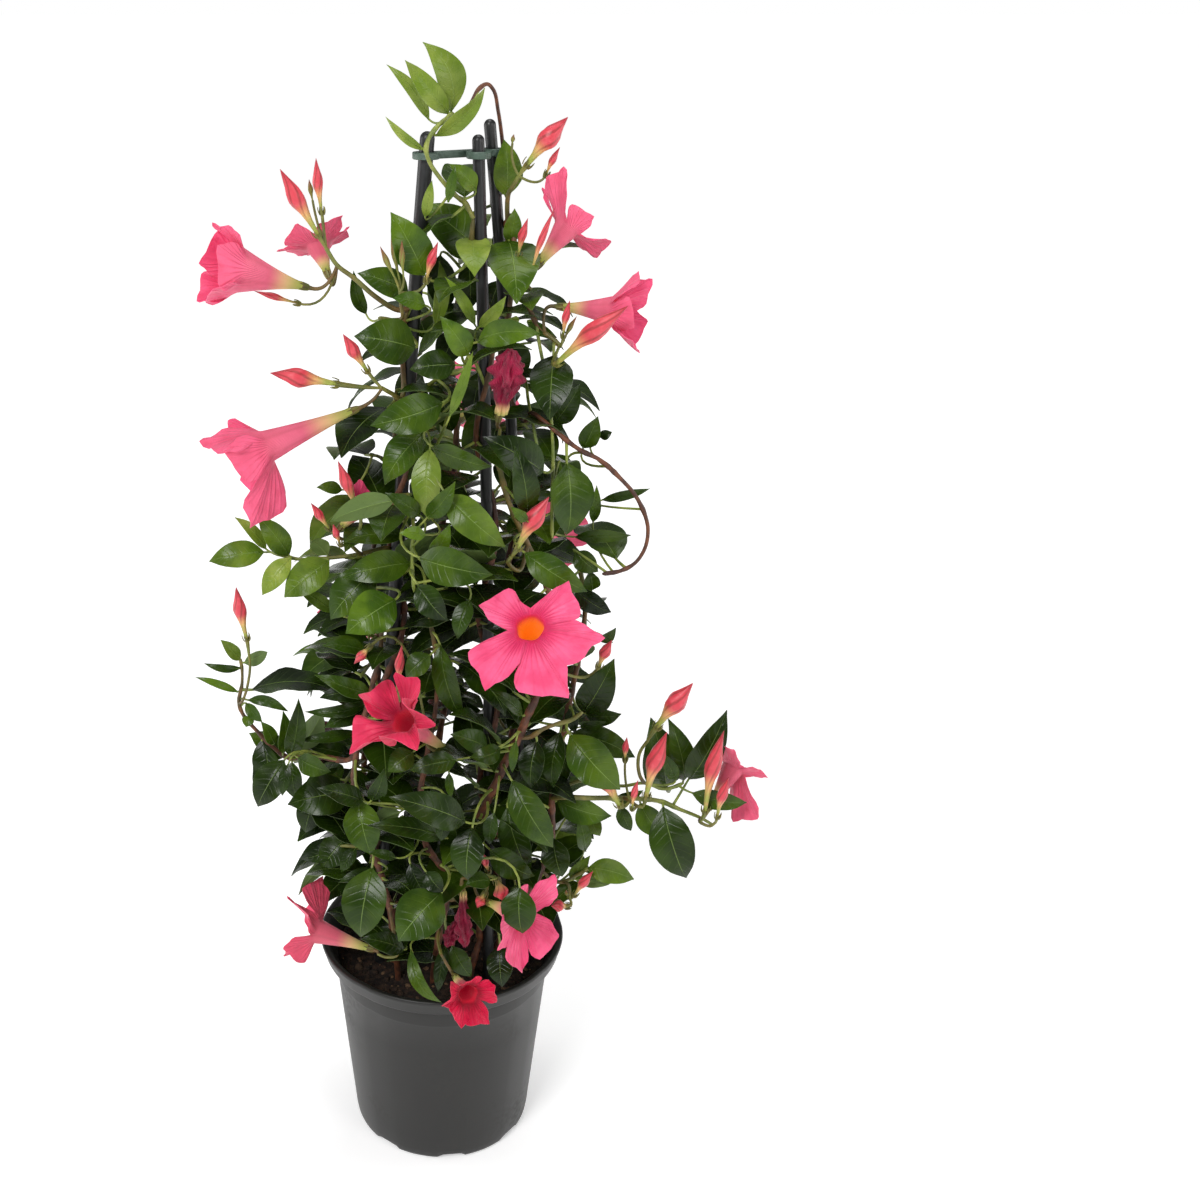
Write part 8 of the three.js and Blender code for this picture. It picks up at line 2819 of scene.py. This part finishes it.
@dataclass
class Corollas:
    """The open and the spent flowers. Sizes are in mm, shares are of a lobe's length."""

    petal: float = 0.4
    tube_rows: int = 18
    tube_foot: float = 2.0
    tube_power: float = 1.25
    pleat: float = 0.03
    notch_reach: float = 0.2  # how far the lobes stay joined past the mouth
    lobe_rows: int = 14
    lobe_columns: int = 20
    breadth: Numbers = (0.56, 1.8)  # shares of a lobe's length and of the mouth's radius
    twist_by: float = 0.7
    outline: tuple[Numbers, ...] = (
        (0.36, -0.36), (0.6, -0.48), (0.8, -0.45), (0.93, -0.24), (0.97, 0.0), (1.1, 0.26), (0.9, 0.3),
        (0.66, 0.38), (0.36, 0.36),
    )
    crease: Numbers = (0.03, 0.25)  # its height and width
    bell: float = 0.5
    curl_by: Numbers = (0.6, 0.8)  # the least share of a flower's curl, and what a draw adds
    curl_power: float = 2.2
    ruffle_power: float = 1.5
    ruffles: Numbers = (0.7, 0.5)  # how many waves cross a lobe, in the same way
    ruffle_slant: float = 0.25
    frill: float = 0.035
    frills: float = 2.6
    spent_rings: int = 34
    spent_sides: int = 40
    spent_outline: Numbers = (0.35, 0.5, 0.92, 1.0, 0.3)
    spent_sway: float = 0.3
    spent_folds: Numbers = (0.82, 0.34, 0.18, 0.2)  # its mean radius, pleats, fine pleats and crumple

    def build(self, finishes: Finishes) -> None:
        """Makes a piece for each flower.

        Args:
            finishes: The materials.
        """
        flowers = [(plan, self._open(plan), plan.depth, 0.0) for plan in BLOOMS]
        flowers += [(plan, self._spent(plan, seed), 1.0, 1.0) for seed, plan in enumerate(WILTED)]
        for plan, body, depth, spent in flowers:
            piece = Piece("reach", "edge", "face", "depth", "spent")
            piece.add(body, depth=depth, spent=spent)
            piece.make(f"{plan.name}_corolla", finishes.petal, Slot.PETALS, plan.name, sharp=75)

    def _open(self, plan: BloomPlan) -> Body:
        """A trumpet with five lobes, as one closed sheet.

        Args:
            plan: The flower's plan.

        Returns:
            The corolla.
        """
        start, centre = VIEW.mark(*plan.calyx), VIEW.mark(*plan.mouth)
        axis = unit(centre - start)
        high = unit(np.array([0.0, 0.0, 1.0]) - axis * axis[2])
        mouth = Mouth(centre, axis, high, np.cross(axis, high))
        lobes = sorted(((row[0] + 720) % 360, *row[1:]) for row in plan.lobes)
        angles = [lobe[0] for lobe in lobes]
        notches = [(angles[i] + (angles[i - 1] if i else angles[-1] - 360)) / 2 for i in range(PETALS)]
        sheet = Sheet()
        rim, rim_ids = self._tube(plan, mouth, start + axis * MEET, notches, sheet)
        columns, rows = self.lobe_columns, self.lobe_rows
        shares = np.linspace(0, 1, rows + 1)[1:]
        edge = np.abs(np.linspace(-1, 1, columns + 1)[1:-1])
        seams = []
        for i, angle in enumerate(notches):
            before, here = lobes[i - 1], lobes[i]
            lean = math.radians((before[2] + here[2]) / 2)
            out = self.notch_reach * min(before[1], here[1])
            ray = mouth.ray(angle)
            inner = centre + ray * plan.throat
            outer = inner + ray * (out * math.cos(lean)) + axis * (out * math.sin(lean))
            line = inner + (outer - inner) * shares[:, None]
            seams.append((line[-1], sheet.add(line, 1 + 0.2 * shares, np.ones(rows))))
        for i, lobe in enumerate(lobes):
            across = (i * columns + np.arange(columns + 1)) % len(rim)
            (begin, left), (end, right) = seams[i], seams[(i + 1) % PETALS]
            outline, offset = self._lobe(plan, i, lobe, (begin, end), mouth)
            near, far = 1 - shares[:, None, None], shares[:, None, None]
            patch = rim[across][None] * near + outline[None] * far + offset
            inside = patch[:, 1:-1].reshape(-1, 3)
            ids = np.zeros((rows + 1, columns + 1), int)
            ids[0], ids[1:, 0], ids[1:, -1] = rim_ids[across], left, right
            added = sheet.add(inside, np.repeat(1 + shares, columns - 1), np.tile(edge, rows))
            ids[1:, 1:-1] = added.reshape(rows, columns - 1)
            ring = (ids[:-1, :-1], ids[:-1, 1:], ids[1:, 1:], ids[1:, :-1])
            sheet.quads.append(np.stack([corner.ravel() for corner in ring], 1))
        return sheet.thick(self.petal)

    def _tube(
        self, plan: BloomPlan, mouth: Mouth, start: np.ndarray, notches: list[float], sheet: Sheet
    ) -> tuple[np.ndarray, np.ndarray]:
        """The trumpet's tube, from its foot to its mouth.

        Args:
            plan: The flower's plan.
            mouth: Its mouth.
            start: The middle of its foot.
            notches: The angles where the lobes part.
            sheet: What takes its points and faces.

        Returns:
            The points round the mouth and their numbers in the sheet.
        """
        stops = [*notches, notches[0] + 360]
        runs = [np.linspace(a, b, self.lobe_columns, endpoint=False) for a, b in zip(stops, stops[1:])]
        spokes = np.concatenate(runs)
        turns = np.radians(spokes)
        radial = np.cos(turns)[:, None] * mouth.high + np.sin(turns)[:, None] * mouth.side
        t = np.linspace(0, 1, self.tube_rows)
        radii = self.tube_foot + (plan.throat - self.tube_foot) * t**self.tube_power
        pleat = 1 + self.pleat * np.cos(np.radians(PETALS * spokes))[None] * t[:, None]
        line = start + (mouth.centre - start) * t[:, None]
        points = line[:, None] + radial[None] * (radii[:, None] * pleat)[..., None]
        across = np.abs(np.tile(np.linspace(-1, 1, self.lobe_columns, endpoint=False), PETALS))
        total = len(spokes)
        ids = sheet.add(points.reshape(-1, 3), np.repeat(t, total), np.tile(across, len(t)))
        sheet.quads.append(grid_quads(len(t), total, closed=True))
        return points[-1], ids[-total:]

    def _lobe(
        self,
        plan: BloomPlan,
        index: int,
        lobe: Numbers,
        notches: tuple[np.ndarray, np.ndarray],
        mouth: Mouth,
    ) -> tuple[np.ndarray, np.ndarray]:
        """The outer edge of a lobe and how its face is curled.

        Args:
            plan: The flower's plan.
            index: Which lobe it is.
            lobe: Its angle, length and flare, how far its face is turned in degrees, and how wide it is.
            notches: The points where it parts from its neighbours.
            mouth: The flower's mouth.

        Returns:
            The edge's points, one more than the lobe has columns, and the offsets of its face.
        """
        angle, length, flare, turn_by, slim = (*lobe, *(0.0, 1.0)[len(lobe) - 3 :])
        lean, twist = math.radians(flare), math.radians(turn_by)
        ray = mouth.ray(angle)
        outward = ray * math.cos(lean) + mouth.axis * math.sin(lean)
        across = np.cross(mouth.axis, ray)
        backward = np.cross(outward, across)
        root = mouth.centre + ray * plan.throat
        broad = self.breadth[0] * length + self.breadth[1] * plan.throat
        way = [notches[0]]
        for out, share in self.outline:
            turn = twist * min(1.0, out / self.twist_by)
            wide = across * math.cos(turn) + backward * math.sin(turn)
            way.append(root + outward * (length * out) + wide * (broad * share * slim))
        edge = np.array(smooth_through([*way, notches[1]], self.lobe_columns))
        v = np.linspace(0, 1, self.lobe_rows + 1)[1:, None]
        u = np.linspace(-1, 1, self.lobe_columns + 1)[None]
        rolls = [draw(plan.seed * 31 + index * 7 + k + 12000) for k in range(4)]
        inner = 1 - u * u
        bell = plan.throat * self.bell * v * (1 - v) ** 2 * inner
        bend = self.curl_by[0] + self.curl_by[1] * rolls[0]
        curl = length * plan.curl * bend * v**self.curl_power * inner
        ruffle = length * plan.ruffle * v**self.ruffle_power * inner**0.5
        waves = self.ruffles[0] + self.ruffles[1] * rolls[1]
        ruffle = ruffle * np.sin(TURN * (u * waves + rolls[2] + self.ruffle_slant * v))
        crease = length * self.crease[0] * v * (1 - v) * 4 * np.exp(-((u / self.crease[1]) ** 2))
        frill = length * self.frill * v**3 * inner**0.5 * np.sin(TURN * (self.frills * u + rolls[3]))
        back = (curl + ruffle + crease + frill)[..., None]
        return edge, mouth.axis * bell[..., None] + backward * back

    def _spent(self, plan: WiltedPlan, seed: int) -> Body:
        """A spent corolla: a limp roll with twisted pleats.

        Args:
            plan: The flower's plan.
            seed: What its draws depend on.

        Returns:
            The roll.
        """
        base, end = VIEW.mark(*plan.calyx), VIEW.mark(*plan.end)
        base = base + unit(end - base) * MEET
        radius = plan.width * VIEW.unit_at(base) / 2
        share = np.linspace(0, 1, self.spent_rings)
        stops = np.linspace(0, 1, len(self.spent_outline))
        swell = np.interp(share, stops, self.spent_outline)
        sway = [
            np.array([draw(i + 7) - 0.5, draw(i + 17) - 0.5, 0.0]) * radius * self.spent_sway
            for i in range(len(stops))
        ]
        offsets = [np.interp(share, stops, [s[k] for s in sway]) for k in range(3)]
        axis = base + (end - base) * share[:, None] + np.stack(offsets, 1)
        angles, down = (TURN * np.arange(self.spent_sides) / self.spent_sides)[None], share[:, None]
        pleat = np.cos(PETALS * angles + 7.0 * down**1.5 + seed)
        fine = np.cos(9 * angles - 13.0 * down + 2 * seed)
        crumple = np.sin(31.0 * down + 2 * np.sin(2 * angles + seed)) * down
        mean, deep, small, rough = self.spent_folds
        fat = radius * swell[:, None] * (mean + deep * pleat + small * fine + rough * crumple)
        rings = tube_rings(axis, fat, self.spent_sides)
        body = ring_body(rings, reach=0.1 + share * 2.4, edge=0.5 + 0.5 * pleat)
        body.values["face"] = np.ones(len(body.points))
        return body


# ---------------------------------------------------------------- the stage
@dataclass(frozen=True)
class Lamp:
    """A square lamp that points at the plant: its place and size in metres, and its power in watts."""

    name: str
    place: tuple[float, float, float]
    size: float
    power: float


@dataclass
class Stage:
    """The floor, the lights and the camera, in metres."""

    floor_half: float = 150.0
    floor_height: float = -0.0004
    floor_colours: tuple[float, float] = (0.86, 0.88)
    patch_scale: float = 3.0
    patch_at: Numbers = (0.3, 0.7)
    floor_glow: float = 0.36
    far_glow: float = 0.8
    glow_from: float = 0.4
    glow_to: float = 2.6
    room: float = 0.24
    sensor: float = 36.0
    aim: tuple[float, float, float] = (0.0, 0.0, 0.35)
    lamps: tuple[Lamp, ...] = (
        Lamp("key", (-0.9, -1.7, 1.9), 0.8, 36.0),
        Lamp("fill", (1.5, -1.5, 1.3), 1.0, 12.0),
        Lamp("top", (0.1, 0.3, 2.6), 1.2, 24.0),
        Lamp("left", (-2.2, 0.2, 0.7), 1.2, 13.0),
        Lamp("right", (2.2, 0.3, 0.7), 1.2, 13.0),
    )

    def build(self) -> None:
        """Makes them all."""
        self._camera()
        self._floor()
        self._room()
        for lamp in self.lamps:
            self._light(lamp)

    def _camera(self) -> None:
        """The camera of the front elevation."""
        data = bpy.data.cameras.new("camera")
        data.sensor_width = self.sensor
        data.lens = VIEW.focal / VIEW.size * self.sensor
        data.shift_x = (VIEW.size / 2 - VIEW.across) / VIEW.size
        camera = placed("camera", data)
        camera.location = [c * MM for c in VIEW.eye]
        camera.rotation_euler = (math.pi / 2 - VIEW.pitch, 0.0, 0.0)
        bpy.context.scene.camera = camera

    def _floor(self) -> None:
        """A plain pale floor just under the pot."""
        half, height = self.floor_half, self.floor_height
        mesh = bpy.data.meshes.new("floor")
        sides = ((-half, -half), (half, -half), (half, half), (-half, half))
        mesh.from_pydata([(*side, height) for side in sides], [], [(0, 1, 2, 3)])
        material, graph, shader = Shader(0.8, specular=0.1).make("pale floor")
        patches = graph.fade(graph.noise(self.patch_scale), *self.patch_at)
        dark, light = (grey(shade) for shade in self.floor_colours)
        graph.feed(shader.inputs["Base Color"], graph.mix(patches, dark, light))
        place = graph.add("ShaderNodeTexCoord").outputs["Object"]
        away = graph.add("ShaderNodeVectorMath", {0: place}, operation="LENGTH").outputs["Value"]
        share = graph.fade(away, self.glow_from, self.glow_to)
        glow = graph.mix(share, grey(self.floor_glow), grey(self.far_glow))
        graph.feed(shader.inputs["Emission Color"], glow)
        shader.inputs["Emission Strength"].default_value = 1.0
        mesh.materials.append(material)
        floor = placed("floor", mesh)

    def _room(self) -> None:
        """A bright room, white where the camera sees it."""
        scene = bpy.context.scene
        scene.view_settings.view_transform = "Standard"
        scene.world = bpy.data.worlds.new("studio")
        scene.world.use_nodes = True
        graph = Graph(scene.world.node_tree)
        seen = graph.add("ShaderNodeLightPath").outputs["Is Camera Ray"]
        background = graph.tree.nodes["Background"]
        graph.feed(background.inputs["Color"], graph.mix(seen, grey(self.room), WHITE))

    def _light(self, lamp: Lamp) -> None:
        """One soft lamp.

        Args:
            lamp: The lamp.
        """
        data = bpy.data.lights.new(lamp.name, "AREA")
        data.energy, data.size = lamp.power, lamp.size
        light = placed(lamp.name, data)
        light.location = lamp.place
        toward = Vector(self.aim) - Vector(lamp.place)
        light.rotation_euler = toward.to_track_quat("-Z", "Y").to_euler()


# ---------------------------------------------------------------- the whole
def corners(box: tuple[Vector, Vector]) -> list[list[float]]:
    """A box as plain lists of numbers."""
    return [list(corner) for corner in box]


def main() -> None:
    """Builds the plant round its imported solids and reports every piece."""
    logging.basicConfig(level=logging.INFO, format="%(name)s: %(message)s", stream=sys.stdout)
    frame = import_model()
    Stage().build()
    finishes = Finishes()
    plant = Plant(PackedSolids(frame["nodes"]))
    Pot().build(finishes)
    Soil().build(finishes)
    Canes().build(finishes)
    Clip().build(finishes)
    Vines().build(plant, finishes)
    Sprays().build(plant, finishes)
    Corollas().build(finishes)


if __name__ == "__main__":
    main()
